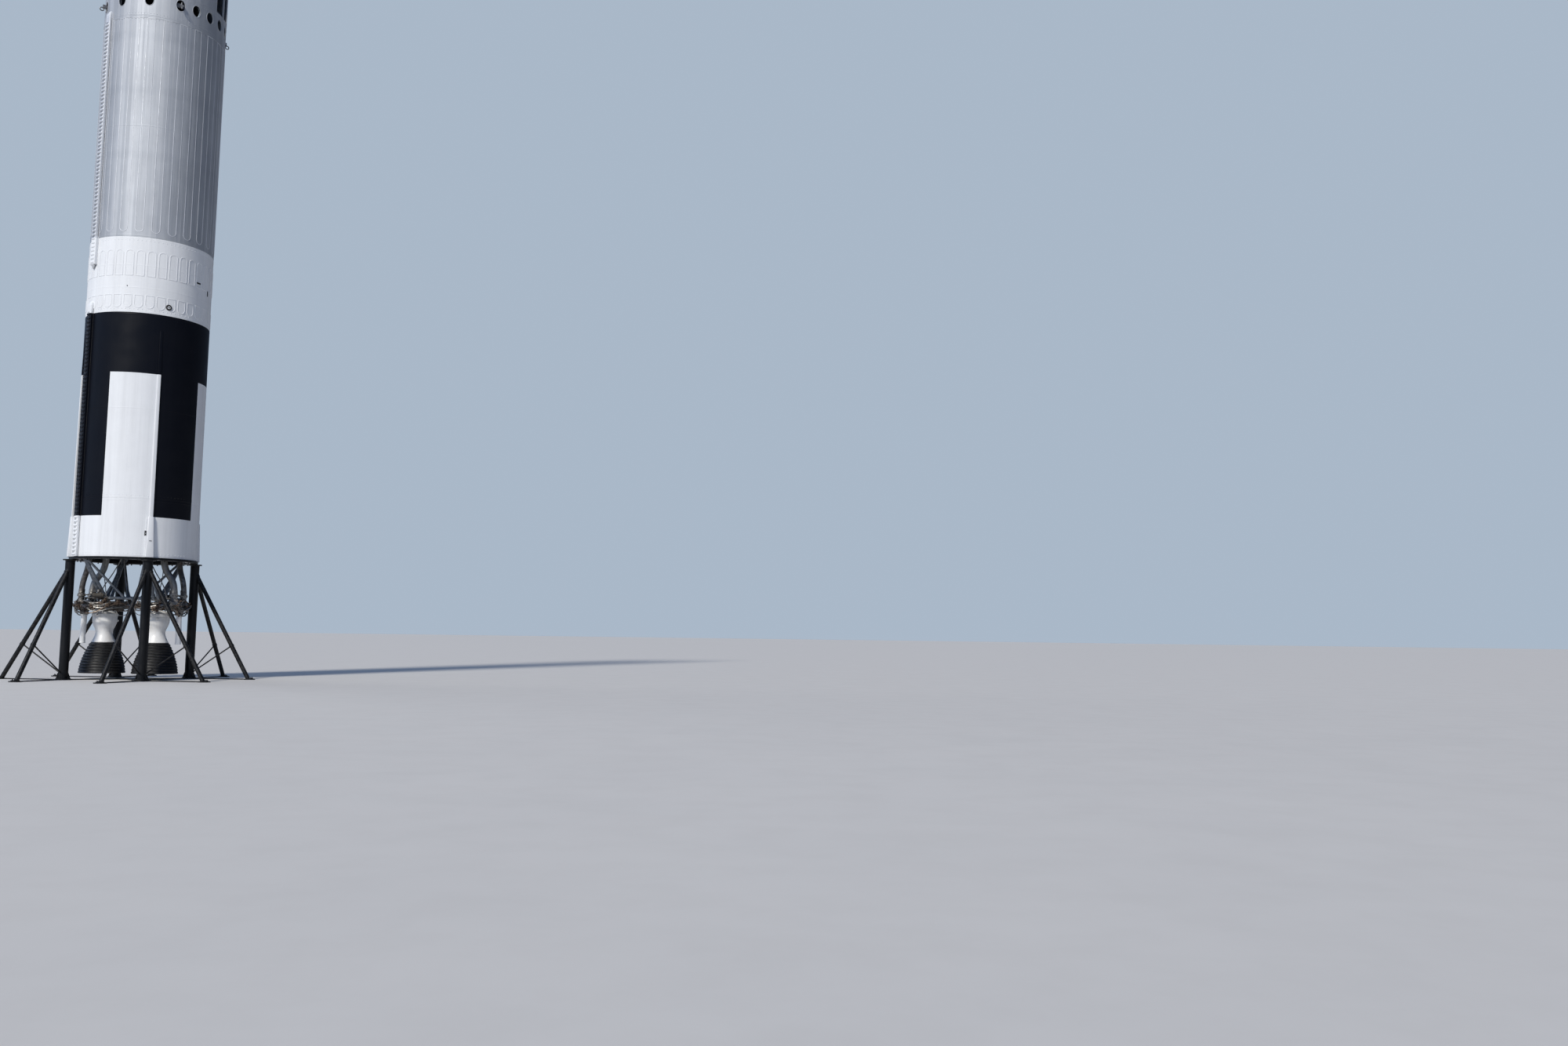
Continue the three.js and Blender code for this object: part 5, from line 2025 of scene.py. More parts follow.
@dataclass
class Stages:
    """The round body from the skirt to the spacecraft.

    Attributes:
        skirt_top: height of the skirt's upper edge above its lower one.
        cone: radius and height of the tank's cone at its tip and at its edge.
        plug_h: height of the round port's plug.
        plug_side: the side that it is on, in degrees.
    """

    skirt_top: float = 1.52
    cone: Sequence[tuple[float, float]] = ((0.26, 0.52), (1.4, 1.38))
    plug_h: float = 6.66
    plug_side: float = PHOTO_SIDE + 17.2

    def make_skirt(self) -> None:
        """The open skirt, with hoops and stringers inside it."""
        inner = BODY_R - THIN_WALL
        Skin("aft_skirt", 0, self.skirt_top, LIVERY_PAINT, Slot.WHITE, (0.05, 1.48), (0.09,), inner).build()
        pieces = inner_hoops(inner, (0.16, 0.62, 1.06, 1.4), half=0.022, deep=0.06, foot=0.006)
        stringer = block("stringer", (0.034, 0.024, 1.24), (inner - 0.014, 0, SKIRT_Z + 0.78), 0.003)
        pieces.append(swung(round_row(stringer, 36), 5))
        dress(fused("aft_skirt_ribs", pieces), INNER_SHADE_PRIMER)

    def make_fuel_tank(self) -> None:
        """The black barrel, and under it the tank's cone."""
        low, high = self.skirt_top, 6.43
        section = Skin("fuel_tank_1", low, high, LIVERY_PAINT, Slot.BLACK, (1.56, 3.9, 6.39), (1.6,))
        (tip_r, tip), (edge_r, edge) = self.cone
        bulge = [(0, tip), (tip_r * 0.7, tip), (tip_r, tip + 0.012)]
        steps = 12
        for i in range(1, steps):
            t = i / steps
            swell = 0.045 * math.sin(math.pi * t)
            bulge.append((tip_r + (edge_r - tip_r) * t + swell * 0.35, tip + (edge - tip) * t - swell * 0.45))
        bulge += [(edge_r, edge), (edge_r, low + 0.02)]
        outline = [*section.outer()[::-1], *[(r, SKIRT_Z + h) for r, h in bulge[::-1]]]
        shell = lathe("shell", [(0, outline[0][1]), *outline], ROUND)
        studs = stud_ring("studs", BODY_R, SKIRT_Z + 1.6, 96)
        dress(fused("fuel_tank_1_skin", [shell, studs]), LIVERY_PAINT, stands_for=["fuel_tank_1"])

    def make_dome(self, name: str, low: float, rise: float, radius: float) -> Object:
        """A tank's domed end with two weld beads, up for a positive rise.

        Args:
            name: the piece's name.
            low: height of its edge.
            rise: how far its middle stands above the edge.
            radius: its radius at the edge.

        Returns:
            The closed solid.
        """
        points = [(0.0, rise)]
        steps, weld_steps = 14, (4, 10)
        side = math.copysign(1, rise)
        for i in range(1, steps + 1):
            a = math.pi / 2 * (1 - i / steps)
            points.append((radius * math.cos(a), rise * math.sin(a)))
            if i in weld_steps:
                r, up = points[-1]
                points += [(r + 0.004, up + side * 0.004), (r + 0.02, up + side * 0.002)]
        points += [(radius, -side * 0.02), (0, -side * 0.02)]
        return lathe(name, [(r, SKIRT_Z + low + up) for r, up in points], 96)

    def make_barrels(self) -> None:
        """The closed sections of both stages."""
        white = Skin(
            "between_tanks_1", 6.43, 8.46, LIVERY_PAINT, Slot.WHITE, (6.47, 7.1, 7.7, 8.42), (6.52, 8.37)
        )
        white.build([self.port_plug()])
        dress(fused("small_fittings", self.small_marks()), MARK_AND_SHADOW_BLACK)
        tank = Skin("oxidizer_tank_1", 8.46, 14.53, ALUMINIUM, Slot.ALUMINIUM, (8.5, 11.5), (14.45,))
        tank.build([self.make_dome("dome", 14.53, 0.52, 1.43)])
        low, high, out, foot = SKIRT_Z + 14.475, SKIRT_Z + 14.527, BODY_R + 0.006, BODY_R - 0.004
        ring = [
            (foot, low), (out - 0.003, low), (out, low + 0.003), (out, high - 0.003), (out - 0.003, high),
            (foot, high),
        ]
        dress(lathe("joint_ring", ring), ALUMINIUM)
        tank2 = Skin("fuel_tank_2", 18.42, 20.17, ALUMINIUM, Slot.ALUMINIUM, (18.46, 20.13), (18.5,))
        tank2.build([self.make_dome("dome", 18.42, -0.18, 1.29)])
        middle = Skin(
            "between_tanks_2", 20.17, 21.34, ALUMINIUM, Slot.ALUMINIUM, (20.2, 21.3), (20.25, 21.26)
        )
        middle.build([self.outer_ribs(0.82, 20.755)])
        Skin("oxidizer_tank_2", 21.34, 22.97, ALUMINIUM, Slot.ALUMINIUM, (21.38, 22.93), (22.88,)).build()
        top = Skin("forward_skirt_2", 22.97, 24.07, ALUMINIUM, Slot.ALUMINIUM, (23.01, 24.03), (23.06, 23.97))
        top.build([self.outer_ribs(0.72, 23.52)])

    def outer_ribs(self, tall: float, middle: float) -> Object:
        """The upright ribs round a section, by their height and the height of their middle."""
        return round_row(block("rib", (0.016, 0.05, tall), (BODY_R + 0.002, 0, SKIRT_Z + middle), 0.006), 60)

    def port_plug(self) -> Object:
        """The plug of the round port low on the white band.

        Returns:
            The plug, on the skin.
        """
        plug = lathe("plug", [(0, 0), (0.04, 0), (0.04, 0.01), (0.034, 0.014), (0, 0.014)], 24)
        swung(plug, 90, (0, 0, 0), "Y")
        return wrapped(moved(plug, (0, 0, SKIRT_Z + self.plug_h)), BODY_R, self.plug_side)

    def small_marks(self) -> list[Object]:
        """The port's dark ring and stud, and small dark covers on the white bands.

        Returns:
            The pieces, on the skin.
        """
        ring = torus("ring", (0.004, 0, 0), 0.058, 0.021, (0, 90, 0), 36)
        stud = rod("stud", (0.01, 0, 0), (0.022, 0, 0), 0.017, 16, 0.003)
        port = moved(fused("port_ring", [ring, stud]), (0, 0, SKIRT_Z + self.plug_h))
        made = [wrapped(port, BODY_R, self.plug_side)]
        # Each cover: its height on the body, its angle from the photo's side, its width and its own height.
        for h, angle, wide, tall in (
            (7.53, 48.6, 0.15, 0.042), (7.36, 65.8, 0.04, 0.14), (0.63, 7.9, 0.045, 0.13),
            (7.13, -21.5, 0.018, 0.03),
        ):
            cover = block("cover", (0.014, wide, tall), (0.003, 0, SKIRT_Z + h), 0.003)
            made.append(wrapped(cover, BODY_R, PHOTO_SIDE + angle))
        clip = block("clip", (0.012, 0.06, 0.016), (0.085, 0, SKIRT_Z + 0.43), 0.003)
        made.append(wrapped(clip, BODY_R, -45))
        return made

    def build(self) -> None:
        """Builds the body."""
        self.make_skirt()
        self.make_fuel_tank()
        self.make_barrels()
        bare = Lands("tank_lands", 8.6, 14.47, 0.1, 24, PHOTO_SIDE + 16.25, 0.009, 0.007, square_top=True)
        high = Lands("white_lands_high", 7.42, 8.1, 0.1, 36, 2.5, 0.014, 0.009, square_foot=True)
        low = Lands("white_lands_low", 6.56, 6.9, 0.1, 36, 2.5, 0.014, 0.009, square_top=True)
        bare.build(LAND_HIGHLIGHT, Slot.ALUMINIUM)
        for lands in (high, low):
            lands.build(LIVERY_PAINT, Slot.WHITE)
        Longerons().build()
        Raceways().build()
        VentSkirt().build()
        Interstage().build()


# The engines. Heights are from the gimbal's centre.


@dataclass
class MainEngines:
    """The two engines of the first stage, the second turned half round from the first.

    Attributes:
        x: the gimbal's distance from the rocket's axis.
        z: the gimbal's height above the ground.
        arm: distance of the actuators from the gimbal.
        dome: outline of the chamber's head and flange.
        waist: outline of the chamber below it.
        chamber_inner: its inner outline.
        bell_outer: the bell's outer outline.
        bell_inner: its inner outline.
        ribs: how many bands the bell has.
        lip: how far a band's lower edge stands out.
    """

    x: float = 0.75
    z: float = SKIRT_Z - 1.25
    arm: float = 0.33
    dome: Sequence[tuple[float, float]] = (
        (0, -0.105), (0.09, -0.106), (0.15, -0.115), (0.21, -0.136), (0.25, -0.165), (0.262, -0.19),
        (0.262, -0.207), (0.314, -0.208), (0.318, -0.212), (0.318, -0.258), (0.314, -0.262), (0.302, -0.264),
    )
    waist: Sequence[tuple[float, float]] = (
        (0.3, -0.27), (0.299, -0.35), (0.295, -0.42), (0.267, -0.52), (0.222, -0.62), (0.205, -0.7),
        (0.216, -0.78), (0.25, -0.87), (0.298, -0.97),
    )
    chamber_inner: Sequence[tuple[float, float]] = (
        (0.268, -0.97), (0.216, -0.87), (0.181, -0.78), (0.168, -0.71), (0.18, -0.64), (0.228, -0.53),
        (0, -0.505),
    )
    bell_outer: Sequence[tuple[float, float]] = (
        (0.3, -0.9703), (0.368, -1.105), (0.462, -1.34), (0.528, -1.58), (0.558, -1.79),
    )
    bell_inner: Sequence[tuple[float, float]] = (
        (0.526, -1.79), (0.496, -1.58), (0.43, -1.34), (0.334, -1.105), (0.267, -0.9703),
    )
    ribs: int = 11
    lip: float = 0.014

    def put(self, obj: Object, name: str, number: int) -> Object:
        """A copy of a piece that was made at the gimbal's own place, moved to engine 1 or 2."""
        part = moved(copied(obj, name), (self.x, 0, self.z))
        return swung(part, 180) if number == 2 else part

    def make_chamber(self) -> Object:
        """The white chamber with its flange bolts, lugs, ears and small fittings.

        Returns:
            The chamber, with the gimbal at the origin.
        """
        inner = [*smoothed(self.chamber_inner[:-1]), self.chamber_inner[-1]]
        pieces = [lathe("chamber", [*self.dome, *smoothed(self.waist), *inner], 72)]
        bolt = rod("bolt", (0.292, 0, -0.2), (0.292, 0, -0.19), 0.011, 6, 0.002)
        under = rod("nut", (0.308, 0, -0.275), (0.308, 0, -0.262), 0.009, 6, 0.002)
        pieces += [round_row(bolt, 36), round_row(under, 36)]
        for side in (-1, 1):
            pieces.append(block("lug", (0.08, 0.035, 0.22), (0, side * 0.0778, -0.065), 0.006))
        arm, ear = self.arm, 0.018
        inner_end, outer_end = 0.28, arm + 0.028
        long, reach = outer_end - inner_end, (outer_end + inner_end) / 2
        for along_x in (True, False):
            tall = (0.056, ear, 0.278) if along_x else (ear, 0.056, 0.278)
            flat = (long, ear, 0.04) if along_x else (ear, long, 0.04)
            pieces.append(block("ear", tall, (arm, 0, -0.111) if along_x else (0, arm, -0.111), 0.004))
            pieces.append(block("web", flat, (reach, 0, -0.235) if along_x else (0, reach, -0.235), 0.004))
        for z, out in ((-0.3, 0.004), (-0.955, 0.006)):
            pieces.append(torus("band", (0, 0, z), radius_at(self.waist, z), out, sides=64))
        boss = rod("boss", (0.28, 0, 0), (0.325, 0, 0), 0.03, 20, 0.004)
        cap = rod("cap", (0.32, 0, 0), (0.34, 0, 0), 0.018, 6, 0.003)
        fitting = moved(fused("fitting", [boss, cap]), (0, 0, -0.33))
        pieces.append(swung(fitting, -60))
        second = moved(copied(fitting, "fitting"), (0, 0, -0.06))
        pieces.append(swung(second, -75))
        for a in (20, 110, 200, 290):
            stub = pipe(
                "stub", [(0.2, 0, -0.16), (0.235, 0, -0.13), (0.27, 0, -0.15), (0.286, 0, -0.21)], 0.012, 4, 1
            )
            pieces.append(swung(stub, a))
        return fused("chamber", pieces)

    def make_bell(self) -> Object:
        """The black bell: stepped bands one above the other.

        Returns:
            The bell, with the gimbal at the origin.
        """
        wall = smoothed(self.bell_outer)
        top, low = wall[0][1] - 0.004, wall[-1][1] + 0.01
        pitch = (top - low) / self.ribs
        outline = [(wall[0][0] - 0.004, wall[0][1]), (wall[0][0], wall[0][1] - 0.003)]
        for i in range(self.ribs):
            z = top - i * pitch
            r, r_low = radius_at(wall, z), radius_at(wall, z - pitch)
            outline += [
                (r - 0.002, z), (r + 0.001, z - pitch * 0.12), (r_low + self.lip * 0.7, z - pitch * 0.76),
                (r_low + self.lip, z - pitch * 0.82), (r_low + self.lip, z - pitch * 0.93),
                (r_low, z - pitch * 0.99),
            ]
        outline += [(wall[-1][0] + 0.002, low - 0.002), (wall[-1][0], low - 0.0099)]
        return lathe("bell", [*outline, *smoothed(self.bell_inner)], 96, smooth=35)

    def make_gimbal(self) -> Object:
        """The gimbal block with its trunnion caps.

        Returns:
            The block, at the origin.
        """
        cube = block("gimbal", (0.12, 0.12, 0.09), (0, 0, 0), 0.012)
        pieces = [cube]
        for axis in ((1, 0), (0, 1)):
            end = Vector((axis[0] * 0.0598, axis[1] * 0.0598, 0))
            pieces.append(rod("cap", -end, end, 0.028, 20, 0.004))
        return fused("gimbal", pieces)

    def make_rod(self, along_x: bool) -> Object:
        """An actuator's rod with its forked end.

        Args:
            along_x: whether it stands beside the gimbal along X, and not along Y.

        Returns:
            The rod, with the gimbal at the origin.
        """
        near, far = 0.017, 0.027
        pieces = []
        for side in (-1, 1):
            middle = side * (near + far) / 2
            start, end = middle - 0.007, middle + 0.007
            if along_x:
                pieces.append(block("prong", (0.04, 0.01, 0.08), (0, middle, 0.02), 0.003))
                pieces.append(rod("boss", (0, start, 0), (0, end, 0), 0.018, 20, 0.002))
            else:
                pieces.append(block("prong", (0.01, 0.04, 0.08), (middle, 0, 0.02), 0.003))
                pieces.append(rod("boss", (start, 0, 0), (end, 0, 0), 0.018, 20, 0.002))
        size = (0.04, 0.054, 0.02) if along_x else (0.054, 0.04, 0.02)
        pieces.append(block("bridge", size, (0, 0, 0.055), 0.004))
        pieces.append(rod("nut", (0, 0, 0.064), (0, 0, 0.082), 0.023, 6, 0.002))
        pieces.append(rod("shaft", (0, 0, 0.06), (0, 0, 0.34), 0.0175, 24))
        whole = fused("rod", pieces)
        return moved(whole, (self.arm, 0, 0) if along_x else (0, self.arm, 0))

    def make_duct(self) -> Object:
        """The turbine's exhaust duct, with a flange and bands.

        Returns:
            The duct, with the gimbal at the origin.
        """
        path = [(0.6, 0, -0.2303), (0.6, 0, -0.42), (0.612, 0, -0.7), (0.612, 0, -1.0)]
        pieces = [pipe("duct", path, 0.072, 10, 5)]
        for z, r, t in ((-0.245, 0.092, 0.024), (-0.62, 0.08, 0.02), (-0.985, 0.08, 0.024)):
            x = 0.6 if z > -0.3 else 0.61
            low, high = z - t / 2, z + t / 2
            band = [(0.05, low), (r - 0.003, low), (r, z), (r - 0.003, high), (0.05, high)]
            pieces.append(lathe("band", band, 36, (x, 0)))
        return fused("duct", pieces)

    def build(self) -> None:
        """Makes each piece once and puts its copies at both engines."""
        made = {
            "chamber": (self.make_chamber(), CHAMBER_WHITE, Slot.WHITE, "chamber_{0}", "thrust_chamber_{0}"),
            "bell": (self.make_bell(), BELL_BLACK, Slot.BELL, "chamber_{0}", "nozzle_bell_{0}"),
            "gimbal": (self.make_gimbal(), LINE_STEEL, Slot.ENGINE, "gimbal_{0}", "gimbal_block_{0}"),
            "rod_y": (self.make_rod(True), LINE_STEEL, Slot.ENGINE, "actuator_rod_y_{0}", "rod_y_{0}"),
            "rod_x": (self.make_rod(False), LINE_STEEL, Slot.ENGINE, "actuator_rod_x_{0}", "rod_x_{0}"),
            "duct": (self.make_duct(), WHITE, Slot.WHITE, Body.ROCKET.value, "exhaust_duct_{0}"),
        }
        for first, finish, slot, body, node in made.values():
            for number in (1, 2):
                name = f"{node.format(number)}_dressed"
                dress(self.put(first, name, number), finish, body.format(number), [node.format(number)])
            bpy.data.objects.remove(first)
        Pumps(self).build()


def smoothed(corners: Outline, steps: int = 5) -> list[tuple[float, float]]:
    """Rounds an outline with a smooth curve through its corners.

    Args:
        corners: [radius, z] of each corner.
        steps: points for each stretch between two corners.

    Returns:
        The outline's points, with both ends kept.
    """
    made = []
    for k in range(len(corners) - 1):
        p = [Vector(corners[max(0, min(len(corners) - 1, k + d))]) for d in (-1, 0, 1, 2)]
        for i in range(steps):
            t = i / steps
            linear, square = (p[2] - p[0]) * t, (2 * p[0] - 5 * p[1] + 4 * p[2] - p[3]) * t**2
            made.append(
                tuple(0.5 * (2 * p[1] + linear + square + (3 * p[1] - p[0] - 3 * p[2] + p[3]) * t**3))
            )
    return [*made, tuple(corners[-1])]


def radius_at(outline: Outline, up: float) -> float:
    """The radius of an outline at a height, by straight lines between its corners.

    Args:
        outline: [radius, z] of its corners.
        up: the height.

    Returns:
        The radius.
    """
    for (r0, z0), (r1, z1) in zip(outline, outline[1:]):
        if min(z0, z1) <= up <= max(z0, z1) and z0 != z1:
            return r0 + (r1 - r0) * (up - z0) / (z1 - z0)
    return outline[-1][0]


class Trunk(Enum):
    """Main lines of the pumps: radius, points from the gimbal's centre, and the number of thin lines."""

    RING = (0.03, (
        (0.5, -0.21, 0.06), (0.2, -0.44, 0.06), (-0.2, -0.44, 0.07), (-0.44, -0.15, 0.09),
        (-0.44, 0.15, 0.09),
        (-0.2, 0.44, 0.07), (0.2, 0.44, 0.06), (0.5, 0.21, 0.06)), 9)
    LEFT = (
        0.02,
        (
            (0.52, -0.38, 0.05), (0.26, -0.52, -0.06), (-0.06, -0.53, -0.09), (-0.32, -0.4, 0.0),
            (-0.44, -0.15, 0.09),
        ),
        5,
    )
    RIGHT = (
        0.02,
        (
            (0.52, 0.38, 0.05), (0.26, 0.52, -0.06), (-0.06, 0.53, -0.09), (-0.32, 0.4, 0.0),
            (-0.44, 0.15, 0.09),
        ),
        5,
    )
    FUEL_SIDE = (0.024, ((0.62, 0.05, -0.12), (0.73, 0.19, -0.06), (0.72, 0.31, 0.02), (0.58, 0.38, 0.04)), 4)
    OXIDIZER_SIDE = (
        0.02, ((0.62, -0.05, -0.16), (0.73, -0.2, -0.11), (0.73, -0.32, 0.02), (0.58, -0.38, 0.06)), 4
    )


class Route(Enum):
    """Small lines round the pumps: radius, and the points that each goes through from the gimbal's centre."""

    OXIDIZER_OUT = (
        0.045, ((0.45, -0.23, 0.0), (0.36, -0.25, -0.02), (0.28, -0.25, 0.05), (0.24, -0.22, 0.03))
    )
    FUEL_OUT = (0.04, ((0.45, 0.24, 0.0), (0.38, 0.27, -0.03), (0.3, 0.3, 0.06), (0.24, 0.24, 0.05)))
    BLEED_1 = (0.014, ((0.62, -0.09, -0.1), (0.69, -0.18, -0.06), (0.66, -0.32, 0.08), (0.58, -0.42, 0.12)))
    BLEED_2 = (0.012, ((0.68, -0.1, 0.06), (0.71, 0.0, 0.16), (0.67, 0.14, 0.2), (0.6, 0.28, 0.19)))
    OIL_1 = (0.01, ((0.56, -0.1, 0.14), (0.5, -0.04, 0.24), (0.44, 0.1, 0.25), (0.36, 0.16, 0.22)))
    OIL_2 = (0.01, ((0.6, 0.1, 0.14), (0.66, 0.03, 0.26), (0.6, -0.12, 0.3), (0.5, -0.3, 0.28)))
    START = (0.018, ((0.5, 0.1, -0.06), (0.46, 0.2, -0.16), (0.5, 0.34, -0.18), (0.62, 0.4, -0.08)))
    VENT = (0.016, ((0.64, -0.3, -0.08), (0.7, -0.2, -0.2), (0.7, 0.1, -0.24), (0.66, 0.28, -0.12)))
    RISER_1 = (
        0.014,
        (
            (0.44, -0.32, 0.1), (0.4, -0.4, 0.45), (0.1, -0.42, 0.95), (-0.16, -0.38, 1.4),
            (-0.26, -0.34, 1.66),
        ),
    )
    RISER_2 = (
        0.012,
        ((-0.3, 0.4, 0.08), (-0.24, 0.42, 0.5), (-0.16, 0.38, 1.0), (-0.22, 0.33, 1.4), (-0.26, 0.3, 1.66)),
    )
    RISER_3 = (
        0.01,
        (
            (-0.36, -0.32, 0.08), (-0.4, -0.3, 0.4), (-0.3, -0.3, 0.9), (-0.26, -0.27, 1.4),
            (-0.24, -0.26, 1.68),
        ),
    )
    HARNESS_1 = (
        0.014,
        ((0.12, -0.13, 0.2), (0.26, -0.2, 0.26), (0.42, -0.36, 0.2), (0.52, -0.43, 0.1), (0.56, -0.41, 0.06)),
    )
    HARNESS_2 = (
        0.012,
        ((0.12, 0.13, 0.22), (0.3, 0.18, 0.3), (0.46, 0.3, 0.26), (0.54, 0.42, 0.14), (0.56, 0.41, 0.04)),
    )
    LOOP = (0.009, ((0.66, 0.2, 0.08), (0.72, 0.1, 0.0), (0.72, -0.06, -0.08), (0.66, -0.14, 0.0)))


class Feed(Enum):
    """The feed lines: radius, and the points from above the pump up to the tanks."""

    OXIDIZER = (0.084, (
        (0.56, -0.225, 0.42), (0.52, -0.24, 0.64), (0.33, -0.3, 1.0), (0.25, -0.3, 1.42), (0.16, -0.28, 1.75),
        (0.08, -0.26, 2.03)))
    FUEL = (0.07, (
        (0.56, 0.225, 0.42), (0.52, 0.24, 0.64), (0.38, 0.3, 1.0), (0.33, 0.3, 1.42), (0.24, 0.29, 1.75),
        (0.16, 0.28, 2.13)))


@dataclass
class Pumps:
    """The turbopump, its valves and the lines round it, beside each chamber.

    Attributes:
        engine: the engines that they belong to.
        x: distance of the pumps' axis from the gimbal.
        widest: how far from the gimbal a line may go.
        seed: start of the random draws.
    """

    engine: MainEngines
    x: float = 0.56
    widest: float = 0.73
    seed: int = 7

    def housing(self, low: float, high: float, radius: float, z: float) -> Object:
        """A pump's round housing about an axis along Y, with steps, flanges and a volute.

        Args:
            low: where it starts along Y.
            high: where it ends along Y.
            radius: its largest radius.
            z: height of its axis.

        Returns:
            The housing.
        """
        r, span = radius, high - low
        outline = [
            (0, 0), (r * 0.5, 0), (r * 0.62, span * 0.05), (r * 0.66, span * 0.14), (r * 0.9, span * 0.2),
            (r, span * 0.26), (r, span * 0.36), (r * 0.9, span * 0.42), (r * 0.9, span * 0.55),
            (r * 0.98, span * 0.6), (r * 0.98, span * 0.74), (r * 0.8, span * 0.82), (r * 0.55, span * 0.9),
            (r * 0.5, span), (0, span),
        ]
        body = swung(lathe("housing", outline, 40, smooth=40), -90, (0, 0, 0), "X")
        volute = torus("volute", (0, span * 0.48, 0), r * 0.82, r * 0.2, (90, 0, 0), 40)
        bolt = rod("bolt", (r * 0.82, span * 0.75, 0), (r * 0.82, span * 0.8, 0), 0.008, 6)
        bolts = round_row(bolt, 18, (0, 0, 0), (0, 1, 0))
        return moved(fused("housing", [body, volute, bolts]), (self.x, low, z))

    def make_machine(self) -> Object:
        """The pumps, gearbox, turbine and brackets, as the CAD node has them.

        Returns:
            The machine, with the gimbal at the origin.
        """
        pieces = [self.housing(-0.33, -0.12, 0.15, 0.06), self.housing(0.12, 0.33, 0.14, 0.04)]
        ends = [
            ((0.56, -0.12, 0.04), (0.56, 0.12, 0.04), 0.095),
            ((0.56, -0.4, 0.06), (0.56, -0.33, 0.06), 0.085),
            ((0.56, 0.33, 0.04), (0.56, 0.4, 0.04), 0.08), ((0.6, 0, -0.23), (0.6, 0, -0.02), 0.105),
            ((0.47, -0.23, -0.06), (0.47, 0.23, -0.06), 0.048),
            ((0.1303, -0.095, 0.21), (0.54, -0.095, 0.21), 0.024),
            ((0.1303, 0.095, 0.21), (0.54, 0.095, 0.21), 0.024),
            ((0.52, -0.095, 0.225), (0.52, -0.095, 0.06), 0.024),
            ((0.52, 0.095, 0.225), (0.52, 0.095, 0.06), 0.024),
            ((0.56, -0.225, 0.06), (0.56, -0.225, 0.3), 0.092),
            ((0.56, 0.225, 0.04), (0.56, 0.225, 0.3), 0.078),
        ]
        for start, end, radius in ends:
            pieces.append(rod("part", start, end, radius, 32, min(0.012, radius * 0.15)))
        for y, r in ((-0.225, 0.092), (0.225, 0.078)):
            low, high = 0.262, 0.2995
            outline = [
                (r * 0.5, low), (r + 0.022, low), (r + 0.025, low + 0.003), (r + 0.025, 0.295),
                (r + 0.02, high), (r * 0.5, high),
            ]
            pieces.append(lathe("flange", outline, 40, (0.56, y)))
            bolt = rod("bolt", (0.56 + r + 0.012, y, 0.25), (0.56 + r + 0.012, y, 0.262), 0.008, 6)
            pieces.append(round_row(bolt, 12, (0.56, y, 0)))
        for trunk in Trunk:
            radius, points, _ = trunk.value
            pieces += self.line(points, radius)
        for z in (-0.21, -0.13, -0.05):
            pieces.append(torus("rib", (0.6, 0, z), 0.105, 0.01, sides=40))
        for y in (-0.07, 0.0, 0.07):
            pieces.append(torus("rib", (0.56, y, 0.04), 0.095, 0.009, (90, 0, 0), 40))
        return fused("machine", pieces)

    def line(self, points: Sequence[Point], radius: float, turns: int = 8, fine: int = 2) -> list[Object]:
        """A pipe with a nut at each end.

        Args:
            points: what the pipe goes through.
            radius: the pipe's radius.
            turns: steps between two points.
            fine: fineness of its round section.

        Returns:
            The pipe and its nuts.
        """
        made = [pipe("line", points, radius, turns, fine)]
        for end, inner in ((points[0], points[1]), (points[-1], points[-2])):
            way = (Vector(inner) - Vector(end)).normalized()
            made.append(
                rod("nut", Vector(end), Vector(end) + way * radius * 1.6, radius * 1.5, 6, radius * 0.12)
            )
        return made

    def beside(self, points: Sequence[Point], draw: random.Random) -> list[Point]:
        """A thin line's route beside a main line: drawn outwards and up or down at each bend.

        Args:
            points: the main line's points.
            draw: the source of random numbers.

        Returns:
            The thin line's points.
        """
        made = []
        for i, point in enumerate(points):
            at_end = i in (0, len(points) - 1)
            place = Vector(point)
            out = Vector((place.x, place.y, 0)).normalized()
            reach, rise = (0.03, 0.04) if at_end else (draw.uniform(0.0, 0.12), draw.uniform(-0.17, 0.08))
            if at_end:
                reach, rise = draw.uniform(-reach, reach), draw.uniform(-rise, rise)
            reach = min(reach, self.widest - Vector((place.x, place.y)).length)
            made.append(tuple(place + out * reach + Vector((0, 0, rise))))
        return made

    def make_lines(self) -> tuple[Object, Object, Object]:
        """The steel lines, the dark harnesses and the brown lines, each with its end nuts.

        Returns:
            The steel lines, the harnesses and the brown lines.
        """
        draw = random.Random(self.seed + 4)
        steel, dark, brown = [], [], []
        for route in Route:
            radius, points = route.value
            lot = dark if "HARNESS" in route.name or "LOOP" in route.name else steel
            lot.extend(self.line(points, radius))
        for trunk in Trunk:
            _, points, count = trunk.value
            for i in range(count):
                radius = draw.choice((0.008, 0.011, 0.015, 0.021))
                lot = (steel, dark, steel, brown)[i % 4]
                lot.extend(self.line(self.beside(points, draw), radius, 5, 1))
        return fused("lines", steel), fused("harness", dark), fused("brown", brown)

